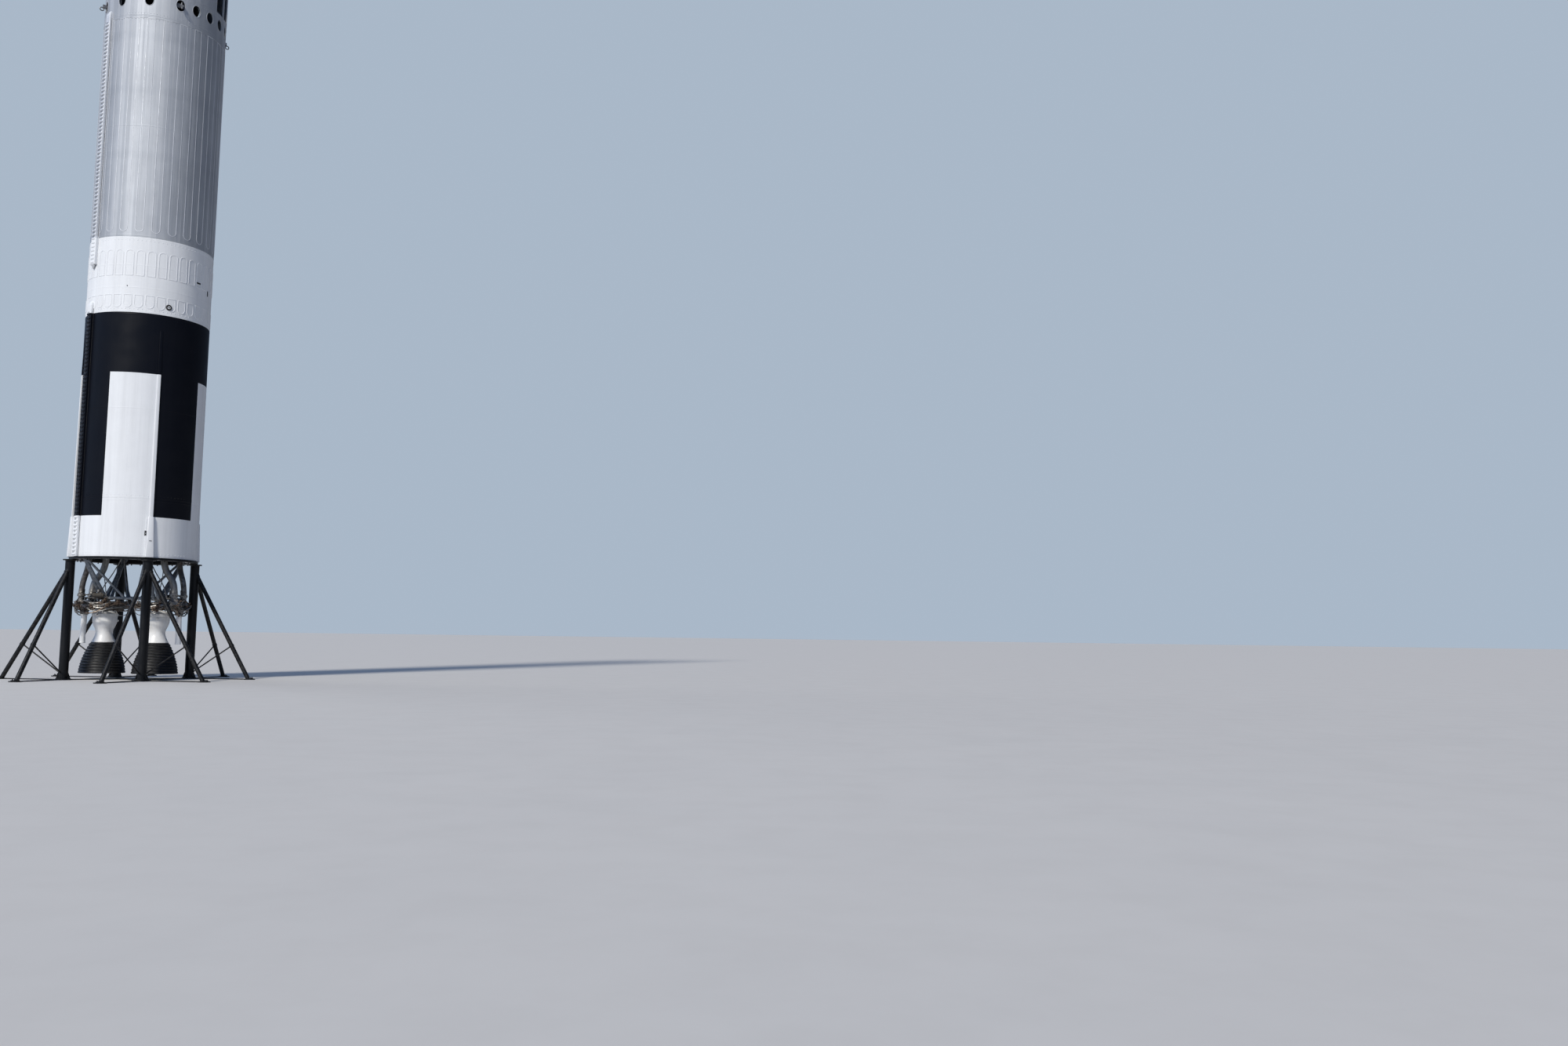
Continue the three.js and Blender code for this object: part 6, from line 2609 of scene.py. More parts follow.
    def make_valves(self) -> Object:
        """Small valves, boxes and unions on the pumps and on the main lines, in the brown of old heat.

        Returns:
            The fittings as one piece.
        """
        draw = random.Random(self.seed)
        pieces = []
        for _ in range(26):
            side = draw.choice((-1, 1))
            angle = draw.uniform(-80, 80)
            y = side * draw.uniform(0.05, 0.38)
            r = 0.1 if abs(y) < 0.12 else 0.15
            way = Vector((math.cos(math.radians(angle)), 0, math.sin(math.radians(angle))))
            place = Vector((self.x + r * way.x * 0.96, y, 0.05 + r * way.z))
            pieces += self.small_part(place, way, draw)
        for trunk in (Trunk.RING, Trunk.LEFT, Trunk.RIGHT):
            points = [Vector(p) for p in trunk.value[1]]
            for _ in range(18):
                k = draw.randrange(len(points) - 1)
                place = points[k].lerp(points[k + 1], draw.random())
                out = Vector((place.x, place.y, 0)).normalized()
                way = (out + Vector((0, 0, draw.uniform(-1.2, 1.2)))).normalized()
                pieces += self.small_part(place + way * (trunk.value[0] + 0.012), way, draw, 1.75)
        for y in (-0.2, 0.2):
            pieces.append(block("valve_body", (0.09, 0.08, 0.07), (0.44, y, -0.04), 0.012))
        return fused("valves", pieces)

    def small_part(self, place: Vector, way: Vector, draw: random.Random, grow: float = 1.0) -> list[Object]:
        """A box, or a round valve with its stem, that stands out one way.

        Args:
            place: where its foot stands.
            way: the way that it stands out.
            draw: the source of random numbers.
            grow: a factor on its size.

        Returns:
            Its pieces.
        """
        size = draw.uniform(0.014, 0.03) * grow
        if draw.random() < 0.5:
            turn = [math.degrees(a) for a in turn_to(way)]
            return [block("box", (size * 1.8, size * 2.2, size * 1.6), place, size * 0.2, turn)]
        start = place - way * size
        valve = rod("valve", start, start + way * size * 3, size * 0.9, 14, size * 0.15)
        return [valve, rod("stem", start, start + way * size * 4, size * 0.4, 8)]

    def make_start_tank(self) -> Object:
        """The dark start cartridge beside the rear actuator, with its saddle.

        Returns:
            The cartridge with its straps and saddle.
        """
        start, end = Vector((-0.2, 0.4, 0.27)), Vector((0.03, 0.54, 0.27))
        way = (end - start).normalized()
        pieces = [rod("tank", start, end, 0.064, 32, 0.02)]
        for share in (0.25, 0.75):
            place = start.lerp(end, share)
            pieces.append(rod("strap", place - way * 0.012, place + way * 0.012, 0.069, 32, 0.004))
        pieces.append(rod("neck", start - way * 0.05, start, 0.02, 16, 0.004))
        pieces.append(rod("saddle", (0, 0.36, 0.27), start.lerp(end, 0.6), 0.018, 12))
        return fused("start_tank", pieces)

    def make_feed(self, feed: Feed) -> Object:
        """A feed line from a pump up to the tanks, with bellows and flanges.

        Args:
            feed: which of the two lines.

        Returns:
            The line, with the gimbal at the origin.
        """
        radius, via = feed.value
        y, low, high = via[0][1], 0.3003, 0.329
        pieces = [pipe("feed", [(0.56, y, low), *via], radius, 8, 5)]
        r, wide = radius, radius + 0.024
        flange = [
            (r * 0.8, low), (r + 0.02, low), (wide, 0.304), (wide, 0.325), (r + 0.02, high), (r * 0.8, high)
        ]
        pieces.append(lathe("flange", flange, 40, (0.56, y)))
        for k in range(6):
            pieces.append(
                torus("bellows", (0.56 - 0.0015 * k, y, 0.345 + 0.017 * k), r + 0.001, 0.009, sides=40)
            )
        return fused("feed", pieces)

    def build(self) -> None:
        """Makes the pieces once and puts them at both engines."""
        lines, harness, brown = self.make_lines()
        whole = [
            (self.make_machine(), PUMP_STEEL, "turbopump_{0}", True),
            (lines, LINE_STEEL, "pump_lines_{0}", False),
            (fused("harness", [harness, self.make_start_tank()]), HARNESS, "pump_harness_{0}", False),
            (fused("valves", [self.make_valves(), brown]), HEAT_BROWN, "pump_valves_{0}", False),
            (self.make_feed(Feed.OXIDIZER), LINE_STEEL, "oxidizer_line_{0}", True),
            (self.make_feed(Feed.FUEL), PUMP_STEEL, "fuel_line_{0}", True),
        ]
        for first, finish, name, is_node in whole:
            for number in (1, 2):
                node = name.format(number)
                title = f"{node}_dressed" if is_node else node
                part = self.engine.put(first, title, number)
                dress(part, finish, stands_for=[node] if is_node else [])
            bpy.data.objects.remove(first)


@dataclass
class EngineFrame:
    """The welded tubes that carry the main engines, with their pads, mounts and actuators.

    Attributes:
        engine: the engines that it carries.
        pad_inner: radius where the pads on the skirt's edge begin.
        pad_outer: radius where they end.
    """

    engine: MainEngines
    pad_inner: float = 1.19
    pad_outer: float = 1.462

    def build(self) -> None:
        """Builds pads, tubes and beams, and the mounts with the actuators' barrels."""
        pieces = []
        for angle in LEG_ANGLES:
            size = (self.pad_outer - self.pad_inner, 0.15, 0.13)
            pad = block("pad", size, ((self.pad_inner + self.pad_outer) / 2, 0, SKIRT_Z + 0.065), 0.008)
            pieces.append(swung(pad, angle))
            start = at(self.pad_inner + 0.04, angle, SKIRT_Z + 0.06)
            sx, sy = math.copysign(1, start.x), math.copysign(1, start.y)
            for x, y, h, r in (
                (0.815, 0.105, -1.05, 0.042), (0.68, 0.105, -1.05, 0.042), (0.17, 0.08, -1.035, 0.032)
            ):
                end = Vector((sx * x, sy * y, SKIRT_Z + h))
                pieces.append(rod("tube", start, end, r, 24))
                way = (end - start).normalized()
                pieces.append(rod("socket", start + way * 0.05, start + way * 0.13, r + 0.008, 24, 0.004))
                pieces.append(rod("socket", end - way * 0.14, end - way * 0.06, r + 0.007, 24, 0.004))
        for y in (-0.08, 0.08):
            z = SKIRT_Z - 1.035
            pieces.append(rod("beam", (-0.7, y, z), (0.7, y, z), 0.038, 28))
            for x in (-0.3, 0.0, 0.3):
                pieces.append(rod("collar", (x - 0.03, y, z), (x + 0.03, y, z), 0.044, 28, 0.004))
        dress(fused("engine_frame_tubes", pieces), FRAME_GREY, stands_for=["engine_frame"])
        mount = self.make_mount()
        for number in (1, 2):
            dress(self.engine.put(mount, f"engine_mount_{number}", number), PUMP_STEEL)
        bpy.data.objects.remove(mount)

    def make_mount(self) -> Object:
        """The thrust block with its lugs and the two actuators' barrels.

        Returns:
            The mount, with the gimbal at the origin.
        """
        pieces = [block("mount", (0.26, 0.26, 0.1), (0, 0, 0.21), 0.01)]
        for side in (-1, 1):
            pieces.append(block("lug", (0.035, 0.08, 0.215), (side * 0.0778, 0, 0.0625), 0.006))
        bolt = rod("bolt", (0.1, 0.1, 0.258), (0.1, 0.1, 0.274), 0.014, 6, 0.002)
        pieces.append(round_row(bolt, 4))
        arm = self.engine.arm
        for x, y in ((arm, 0), (0, arm)):
            barrel = [
                (0.0185, 0.15), (0.036, 0.15), (0.042, 0.156), (0.042, 0.2), (0.038, 0.206), (0.038, 0.36),
                (0.042, 0.366), (0.042, 0.424), (0.036, 0.43), (0, 0.43), (0, 0.4), (0.0185, 0.4),
            ]
            pieces.append(lathe("barrel", barrel, 32, (x, y)))
            size = (arm - 0.1, 0.05, 0.06) if x else (0.05, arm - 0.1, 0.06)
            reach = (arm + 0.1) / 2
            pieces.append(block("arm", size, (reach, 0, 0.21) if x else (0, reach, 0.21), 0.008))
            base, up = Vector((x, y, 0)), Vector((0, 0, 1))
            way = base.normalized()
            side = Vector((-way.y, way.x, 0))
            pieces.append(block("valve", (0.05, 0.05, 0.09), base + side * 0.05 + up * 0.3, 0.006))
            line = [base + side * 0.06 + up * 0.34, base + side * 0.09 + up * 0.4, base + up * 0.44]
            pieces.append(pipe("line", [tuple(p) for p in line], 0.007, 6, 1))
        return fused("mount", pieces)


@dataclass
class SecondEngine:
    """The single engine of the second stage, in the interstage.

    Attributes:
        z: the gimbal's height above the ground.
        chamber: outline of the chamber, outside and inside.
        bell_outer: the bell's outer outline.
        bell_inner: its inner outline.
    """

    z: float = SKIRT_Z + 17.6
    chamber: Sequence[tuple[float, float]] = (
        (0, -0.105), (0.09, -0.107), (0.14, -0.115), (0.185, -0.132), (0.205, -0.155), (0.212, -0.19),
        (0.24, -0.195), (0.24, -0.24), (0.207, -0.248), (0.2, -0.26), (0.2, -0.39), (0.192, -0.43),
        (0.168, -0.49), (0.142, -0.545), (0.134, -0.58), (0.14, -0.61), (0.17, -0.655), (0.215, -0.71),
        (0.252, -0.748), (0.26, -0.76), (0.225, -0.76), (0.102, -0.6), (0.102, -0.56), (0.15, -0.42),
        (0, -0.41),
    )
    bell_outer: Sequence[tuple[float, float]] = (
        (0.262, -0.7603), (0.43, -1.06), (0.6, -1.43), (0.72, -1.76), (0.8, -2.05),
    )
    bell_inner: Sequence[tuple[float, float]] = (
        (0.77, -2.05), (0.69, -1.76), (0.57, -1.43), (0.4, -1.06), (0.226, -0.7603),
    )

    def up(self, obj: Object) -> Object:
        """Moves a piece made about the gimbal to its place."""
        return moved(obj, (0, 0, self.z))

    def build(self) -> None:
        """Builds chamber, bell, gimbal and thrust frame."""
        pieces = [lathe("chamber", self.chamber, 56)]
        for side in (-1, 1):
            pieces.append(block("lug", (0.08, 0.035, 0.195), (0, side * 0.0778, -0.0525), 0.006))
        pieces.append(round_row(rod("bolt", (0.225, 0, -0.195), (0.225, 0, -0.186), 0.009, 6), 28))
        chamber = self.up(fused("thrust_chamber_3_dressed", pieces))
        dress(chamber, CHAMBER_WHITE, "chamber_3", ["thrust_chamber_3"])
        pieces = [lathe("bell", [*smoothed(self.bell_outer), *smoothed(self.bell_inner)], 96)]
        for z in (-0.95, -1.2, -1.5, -1.8, -2.02):
            pieces.append(torus("hoop", (0, 0, z), radius_at(self.bell_outer, z) + 0.003, 0.012, sides=72))
        bell = self.up(fused("nozzle_bell_3_dressed", pieces))
        dress(bell, BELL_BLACK, "chamber_3", ["nozzle_bell_3"])
        gimbal = self.up(block("gimbal_block_3_dressed", (0.12, 0.12, 0.09), (0, 0, 0), 0.012))
        dress(gimbal, LINE_STEEL, "gimbal_3", ["gimbal_block_3"])
        self.make_frame()

    def make_frame(self) -> None:
        """The hoop under the tank and the eight tubes down to the engine's mount."""
        low, high = SKIRT_Z + 18.34, SKIRT_Z + 18.4197
        hoop = lathe("hoop", [(1.33, low), (1.395, low), (1.4, low + 0.005), (1.4, high), (1.33, high)], 96)
        dress(fused("thrust_ring_2_dressed", [hoop]), FRAME_GREY, stands_for=["thrust_ring_2"])
        z = self.z
        drum = [
            (0, z + 0.16), (0.184, z + 0.16), (0.19, z + 0.166), (0.19, z + 0.234), (0.184, z + 0.24),
            (0, z + 0.24),
        ]
        pieces = [lathe("drum", drum, 40)]
        for side in (-1, 1):
            pieces.append(block("lug", (0.035, 0.08, 0.215), (side * 0.0778, 0, z + 0.0625), 0.006))
        for angle in (22.5 + 45 * i for i in range(8)):
            start, end = at(1.365, angle, SKIRT_Z + 18.375), at(0.15, angle, z + 0.2)
            way = (end - start).normalized()
            pieces.append(rod("tube", start + way * 0.036, end, 0.026, 20))
            pieces.append(rod("socket", start + way * 0.05, start + way * 0.14, 0.033, 20, 0.004))
        dress(fused("thrust_frame_2_dressed", pieces), FRAME_GREY, stands_for=["thrust_frame_2"])


# The spacecraft.


@dataclass
class Craft:
    """The adapter, the cabin with its two hatches, the control section and the nose.

    Attributes:
        launcher_top: height of the adapter's foot above the skirt's lower edge.
        retro_foot: height of the joint between its two sections.
        adapter_top: height of the cabin's foot.
        cabin_r: the cabin's radius at its foot.
        neck_r: its radius at its head.
        neck: height of its head.
        control_top: height of the control section's head.
        nose_r: the nose's radius below its rounded tip.
        nose_foot: height where its tip begins.
        nose_top: height of its tip.
        wall: thickness of the cabin's wall.
        floor: thickness of its floor.
        roof: thickness of its roof.
        hatch_low: height of the hatches' lower edge.
        hatch_high: height of their upper edge.
        lid_span: heights between which a hatch's wall is cut out.
        hinge_angle: the right hatch's hinge side in degrees.
        sill: half of the width between the hatches.
        gap: gap round a hatch.
        pin_out: distance of the hinge line from the wall.
        knuckle_r: radius of the hinge's barrels.
    """

    launcher_top: float = 24.07
    retro_foot: float = 25.53
    adapter_top: float = 26.37
    cabin_r: float = 1.143
    neck_r: float = 0.49
    neck: float = 28.17
    control_top: float = 28.63
    nose_r: float = 0.4
    nose_foot: float = 29.4
    nose_top: float = 29.64
    wall: float = 0.04
    floor: float = 0.12
    roof: float = 0.11
    hatch_low: float = 26.72
    hatch_high: float = 27.9
    lid_span: tuple[float, float] = (26.5, 28.1)
    hinge_angle: float = -46.0
    sill: float = 0.034
    gap: float = 0.006
    pin_out: float = 0.02
    knuckle_r: float = 0.015

    def cone_r(self, h: float) -> float:
        """The cabin's outer radius at a height."""
        up, tall = h - self.adapter_top, self.neck - self.adapter_top
        return self.cabin_r + (self.neck_r - self.cabin_r) * up / tall

    def adapter_r(self, h: float) -> float:
        """The adapter's outer radius at a height."""
        up, tall = h - self.launcher_top, self.adapter_top - self.launcher_top
        return BODY_R + (self.cabin_r - BODY_R) * up / tall

    def make_adapter(self, node: str, low: float, high: float, joints: Sequence[float]) -> None:
        """One white cone of the adapter, with joint bands and long ribs.

        Args:
            node: the CAD node that it stands for.
            low: height of its foot.
            high: height of its top.
            joints: heights of the bands.
        """
        z0, z1 = SKIRT_Z + low + JOINT_GAP, SKIRT_Z + high - 2 * JOINT_GAP
        r0, r1 = self.adapter_r(low), self.adapter_r(high)
        outline = [(0, z0), (r0, z0)]
        for h in joints:
            r, z = self.adapter_r(h), SKIRT_Z + h
            outline += [(r, z - 0.014), (r + 0.004, z - 0.01), (r + 0.004, z + 0.01), (r, z + 0.014)]
        cone = lathe("cone", [*outline, (r1, z1), (0, z1)], ROUND)
        rib = self.rib((r0 - 0.001, z0 + 0.06), (r1 - 0.001, z1 - 0.06), (0.012, 0.03))
        pieces = [cone, swung(round_row(rib, 36), 5)]
        dress(fused(f"{node}_skin", pieces), WHITE, stands_for=[node])

    def laid(self, obj: Object, foot: Vector, head: Vector) -> Object:
        """Stretches a bar of length 1 along Z and lays it from foot to head.

        Args:
            obj: the bar.
            foot: its lower end.
            head: its upper end.

        Returns:
            The same object.
        """
        way = head - foot
        pick(obj)
        obj.scale = (1, 1, way.length)
        freeze()
        obj.rotation_euler = (0, math.atan2(way.x, way.z), 0)
        obj.location = (foot + head) / 2
        freeze()
        return obj

    def rib(
        self, foot: tuple[float, float], head: tuple[float, float],
        section: tuple[float, float] = (0.01, 0.016),
    ) -> Object:
        """A thin bar up a cone on the side of +X, by its ends' radius and z and its thickness and width."""
        bar = block("rib", (*section, 1), (0, 0, 0), 0.003)
        return self.laid(bar, at(foot[0], 0, foot[1]), at(head[0], 0, head[1]))

    def cabin_rib(self, low: float, high: float, angle: float) -> Object:
        """A thin rib up the cabin's cone, between two heights and at an angle."""
        return swung(self.rib((self.cone_r(low), SKIRT_Z + low), (self.cone_r(high), SKIRT_Z + high)), angle)

    def hinge_line(self) -> tuple[Vector, Vector, float, Vector, Vector]:
        """Where the right hatch's hinge line runs.

        Returns:
            Its foot, direction and length, and the ways along the skin and out of it.
        """
        foot = at(self.cone_r(self.hatch_low), self.hinge_angle, SKIRT_Z + self.hatch_low)
        head = at(self.cone_r(self.hatch_high), self.hinge_angle, SKIRT_Z + self.hatch_high)
        along = head - foot
        length = along.length
        along.normalize()
        a = math.radians(self.hinge_angle)
        sideways = Vector((-math.sin(a), math.cos(a), 0))
        out = sideways.cross(along).normalized()
        return foot + out * self.pin_out, along, length, sideways, out

    def hatch_region(self, inset: float) -> Object:
        """The part of the cabin's wall that the right hatch fills: a large block cut down by its planes.

        Args:
            inset: how far its edges lie inside the opening's.

        Returns:
            The block.
        """
        foot, along, length, sideways, _ = self.hinge_line()
        region = block("region", (2.5, 2.4, 2.2), (1.25, -1.3, SKIRT_Z + 27.4), 0)
        planes = [
            (foot + along * inset, along), (foot + along * (length - inset), -along),
            (foot + sideways * (-inset - self.knuckle_r - 0.004), -sideways),
            (Vector((self.sill + inset, 0, foot.z)), Vector((1, 0, 0))),
            (Vector((0, -0.1, 0)), Vector((0, -1, 0))),
        ]
        for point, inward in planes:
            open_edit(region)
            bpy.ops.mesh.bisect(plane_co=point, plane_no=inward, use_fill=True, clear_inner=True)
            object_mode()
        return sealed(region, "region")

    def cone_shell(self, outer: float, inner: float) -> Object:
        """The cabin's wall where the hatches are, between two distances from its outer face.

        Args:
            outer: distance of the shell's outer face.
            inner: distance of its inner face.

        Returns:
            The shell.
        """
        low, high = self.lid_span
        r0, r1, z0, z1 = self.cone_r(low), self.cone_r(high), SKIRT_Z + low, SKIRT_Z + high
        return lathe("shell", [(r0 + outer, z0), (r1 + outer, z1), (r1 + inner, z1), (r0 + inner, z0)], ROUND)

    def shingles(self, low: float, high: float, count: int, skip: Callable[[float], bool]) -> list[Object]:
        """Thin ribs between two heights, by their count round the cabin, without those that skip names."""
        angles = [360 * i / count - 180 for i in range(count)]
        return [self.cabin_rib(low, high, angle) for angle in angles if not skip(angle)]

    def make_cabin(self) -> None:
        """The hollow cabin with its hatch openings, shingles and bands."""
        floor, roof = self.adapter_top + self.floor, self.neck - self.roof
        z0, z1 = SKIRT_Z + self.adapter_top + JOINT_GAP, SKIRT_Z + self.neck - 2 * JOINT_GAP
        hull = lathe("hull", [(0, z0), (self.cabin_r, z0), (self.neck_r, z1), (0, z1)], ROUND)
        inside = [
            (0, floor), (self.cone_r(floor) - self.wall, floor), (self.cone_r(roof) - self.wall, roof),
            (0, roof),
        ]
        hull = carved(hull, lathe("inside", [(r, SKIRT_Z + h) for r, h in inside], ROUND))
        region = self.hatch_region(0)
        other = mirrored(region, "other")
        pieces = [sealed(carved(carved(hull, region), other), "cabin_skin", 30)]
        pieces += self.shingles(self.adapter_top + 0.05, self.hatch_low - 0.05, 90, lambda a: False)
        pieces += self.shingles(self.hatch_high + 0.06, self.neck - 0.05, 60, lambda a: False)
        pieces += self.shingles(self.hatch_low, self.hatch_high, 72, lambda a: -150 < a < -30)
        for h in (self.adapter_top + 0.03, self.hatch_low - 0.035, self.hatch_high + 0.045, self.neck - 0.03):
            r, low, high = self.cone_r(h), SKIRT_Z + h - 0.012, SKIRT_Z + h + 0.012
            band = [(r - 0.01, low), (r + 0.008, low), (r + 0.004, high), (r - 0.012, high)]
            pieces.append(lathe("band", band, ROUND))
        fixed = self.knuckles(False)
        pieces += [*fixed, *[mirrored(k, "knuckle") for k in fixed]]
        dress(fused("cabin_skin", pieces), SHINGLE, stands_for=["cabin"])

    def knuckles(self, on_hatch: bool) -> list[Object]:
        """The hinge's barrels with their webs, on the hatch or on the cabin.

        Args:
            on_hatch: whether they are the hatch's, and not the cabin's.

        Returns:
            The barrels and webs.
        """
        foot, along, length, sideways, out = self.hinge_line()
        half, gap = 0.04, JOINT_GAP
        spans = [(-half, half)] if on_hatch else [(-2 * half, -half - gap), (half + gap, 2 * half)]
        reach = (-0.07, -0.026) if on_hatch else (0.05, -0.026)
        turn = Matrix((sideways, out, along)).transposed().to_euler()
        web_end = sideways * reach[0] + out * reach[1]
        made = []
        for share in (0.2, 0.8):
            middle = foot + along * (share * length)
            for a, b in spans:
                p, q = middle + along * a, middle + along * b
                made.append(rod("barrel", p, q, self.knuckle_r, 24, 0.002))
                web = block("web", (abs(reach[0]), 0.014, (q - p).length - 0.002), (0, 0, 0), 0.003)
                web.rotation_euler = (0, 0, math.atan2(reach[1], reach[0]))
                pick(web)
                freeze()
                web.rotation_euler = turn
                web.location = (p + q) / 2 + web_end * 0.5
                made.append(settled(web, "web"))
        return made

    def window_prism(self, inset: float) -> Object:
        """The bar that cuts a hatch's window.

        Args:
            inset: how far its sides lie inside the window's.

        Returns:
            The bar.
        """
        x0, x1, low, high = 0.12, 0.33, 27.26, 27.56
        size = (x1 - x0 - inset * 2, 1.4, high - low - inset * 2)
        return block("prism", size, ((x0 + x1) / 2, -0.8, SKIRT_Z + (low + high) / 2), 0.03)

    def make_hatches(self) -> None:
        """The right hatch with its window, frame, ribs and knuckles, and its mirror image."""
        lid = carved(self.cone_shell(0, -self.wall), self.hatch_region(self.gap), "INTERSECT")
        lid = sealed(carved(lid, self.window_prism(0)), "lid", 30)
        frame = carved(self.cone_shell(0.008, -0.002), self.window_prism(-0.02), "INTERSECT")
        frame = sealed(carved(frame, self.window_prism(0.002)), "frame", 30)
        corrugation = fused(
            "corrugation", [self.cabin_rib(26.77, 27.85, angle) for angle in range(-84, -53, 5)]
        )
        corrugation = carved(corrugation, self.window_prism(-0.022))
        corrugation = carved(corrugation, self.hatch_region(self.gap + 0.004), "INTERSECT")
        hatch = fused("hatch_right_skin", [lid, frame, corrugation, *self.knuckles(True)])
        pane = carved(self.cone_shell(-0.008, -0.026), self.window_prism(JOINT_GAP), "INTERSECT")
        pane = sealed(pane, "hatch_window_right_pane", 30)
        other, other_pane = mirrored(hatch, "hatch_left_skin"), mirrored(pane, "hatch_window_left_pane")
        dress(hatch, SHINGLE, Body.HATCH_RIGHT.value, ["hatch_right"])
        dress(other, SHINGLE, Body.HATCH_LEFT.value, ["hatch_left"])
        dress(pane, GLASS, Body.HATCH_RIGHT.value, ["hatch_window_right"])
        dress(other_pane, GLASS, Body.HATCH_LEFT.value, ["hatch_window_left"])

    def cushion(self, name: str, size: Point, middle: Point) -> Object:
        """A pad with a crowned face and seams, from a divided block pulled in at its edges.

        Args:
            name: the pad's name.
            size: its length along X, Y and Z.
            middle: the place of its middle.

        Returns:
            The pad.
        """
        clear()
        bpy.ops.mesh.primitive_cube_add(size=1, location=middle, scale=size)
        pad = settled(bpy.context.object, name)
        open_edit(pad)
        bpy.ops.mesh.subdivide(number_cuts=5)
        object_mode()
        centre, half = Vector(middle), Vector(size) / 2
        for vertex in pad.data.vertices:
            offset = vertex.co - centre
            share = [abs(offset[i]) / half[i] for i in range(3)]
            pull = 1 - 0.1 * sum(s**4 for s in share) / 3  # the corners go in most
            seam = 0.94 if share[0] < 0.05 else 1.0  # the middle line is drawn in
            vertex.co = centre + Vector((offset.x * pull, offset.y * pull * seam, offset.z * pull * seam))
        pad = with_modifier(pad, "SUBSURF", levels=2, render_levels=2)
        return settled(pad, name, 60)

    def make_inside(self) -> None:
        """The seats with their pads, and the instrument panel."""
        floor = SKIRT_Z + self.adapter_top + self.floor
        shells, pads = [block("rail", (0.96, 0.16, 0.0597), (0, 0, floor + 0.0301), 0.006)], []
        for x in (-0.26, 0.26):
            shells += [
                block("pan", (0.4, 0.76, 0.06), (x, -0.26, floor + 0.09), 0.012),
                block("back", (0.4, 0.05, 0.5), (x, 0.145, floor + 0.31), 0.012),
                block("rest", (0.24, 0.12, 0.07), (x, -0.58, floor + 0.195), 0.02),
                block("post", (0.2, 0.08, 0.07), (x, -0.58, floor + 0.15), 0.01),
            ]
            for side in (-1, 1):
                shells.append(block("wing", (0.02, 0.3, 0.12), (x + side * 0.19, -0.1, floor + 0.16), 0.008))
            pads.append(self.cushion("pad", (0.35, 0.66, 0.07), (x, -0.27, floor + 0.14)))
            pads.append(self.cushion("pad", (0.35, 0.07, 0.38), (x, 0.09, floor + 0.36)))
        dress(fused("crew_seats_shells", shells), PANEL_GREY, stands_for=["crew_seats"])
        cloth = dress(fused("crew_seats_pads", pads, 60), SEAT_CLOTH)
        low = SKIRT_Z + 27.56
        foot, head = low + 0.06, SKIRT_Z + self.neck - self.roof - JOINT_GAP
        panel = [
            block("panel", (0.86, 0.33, 0.08), (0, 0.075, low + 0.04), 0.01),
            block("mast", (0.16, 0.12, head - foot), (0, 0.1, (foot + head) / 2), 0.008),
        ]
        dials = []
        bezel = [(0.03, low - 0.012), (0.036, low - 0.012), (0.036, low + 0.001), (0.03, low + 0.001)]
        dial = [(0, low - 0.006), (0.028, low - 0.006), (0.03, low - 0.001), (0, low - 0.001)]
        for i in range(8):
            for k in range(3):
                place = (-0.35 + i * 0.1, -0.04 + k * 0.09)
                panel.append(lathe("bezel", bezel, 24, place))
                dials.append(lathe("dial", dial, 24, place))
        dress(
            fused("instrument_panel_dressed", panel), PANEL_GREY, stands_for=["instrument_panel"]
        )
        dress(fused("instrument_dials", dials), DIAL_WHITE)

    def make_top(self) -> None:
        """The control section and the nose, corrugated, with hoops at their ends."""
        r, z0, z1 = self.neck_r, SKIRT_Z + self.neck + JOINT_GAP, SKIRT_Z + self.control_top - 2 * JOINT_GAP
        outline = [(0, z0), (r - 0.002, z0), (r, z0 + 0.004), (r, z1 - 0.004), (r - 0.002, z1), (0, z1)]
        pieces = [lathe("drum", outline, 96)]
        rib = block("rib", (0.01, 0.016, z1 - z0 - 0.1), (r, 0, (z0 + z1) / 2), 0.003)
        pieces.append(round_row(rib, 48))
        for z in (z0 + 0.02, z1 - 0.02):
            pieces.append(torus("hoop", (0, 0, z), r, 0.006, sides=96))
        dress(fused("control_section_skin", pieces), SHINGLE, stands_for=["control_section"])
        r0, r1 = self.neck_r - 0.006, self.nose_r
        base, foot, top = SKIRT_Z + self.control_top, SKIRT_Z + self.nose_foot, SKIRT_Z + self.nose_top
        outline = [
            (0, base), (r0, base), (r1, foot), (r1 - 0.006, foot + 0.05), (r1 - 0.02, foot + 0.09),
            (r1 - 0.05, foot + 0.15), (r1 - 0.11, top - 0.04), (r1 - 0.2, top - 0.015), (0, top),
        ]
        pieces = [lathe("nose", outline, 96, smooth=40)]
        pieces += [swung(self.rib((r0, base + 0.06), (r1, foot - 0.05)), 9 * i) for i in range(40)]
        for z, r in ((base + 0.025, r0), (foot - 0.02, r1)):
            pieces.append(torus("hoop", (0, 0, z), r, 0.006, sides=96))
        dress(fused("nose_section_skin", pieces), SHINGLE, stands_for=["nose_section"])

    def build(self) -> None:
        """Builds the spacecraft from its adapter up."""
        self.make_adapter("adapter_lower", self.launcher_top, self.retro_foot, (24.12, 24.8, 25.48))
        self.make_adapter("adapter_upper", self.retro_foot, self.adapter_top, (25.58, 26.32))
        self.make_cabin()
        self.make_hatches()
        self.make_inside()
        self.make_top()


# Floor, light and camera.


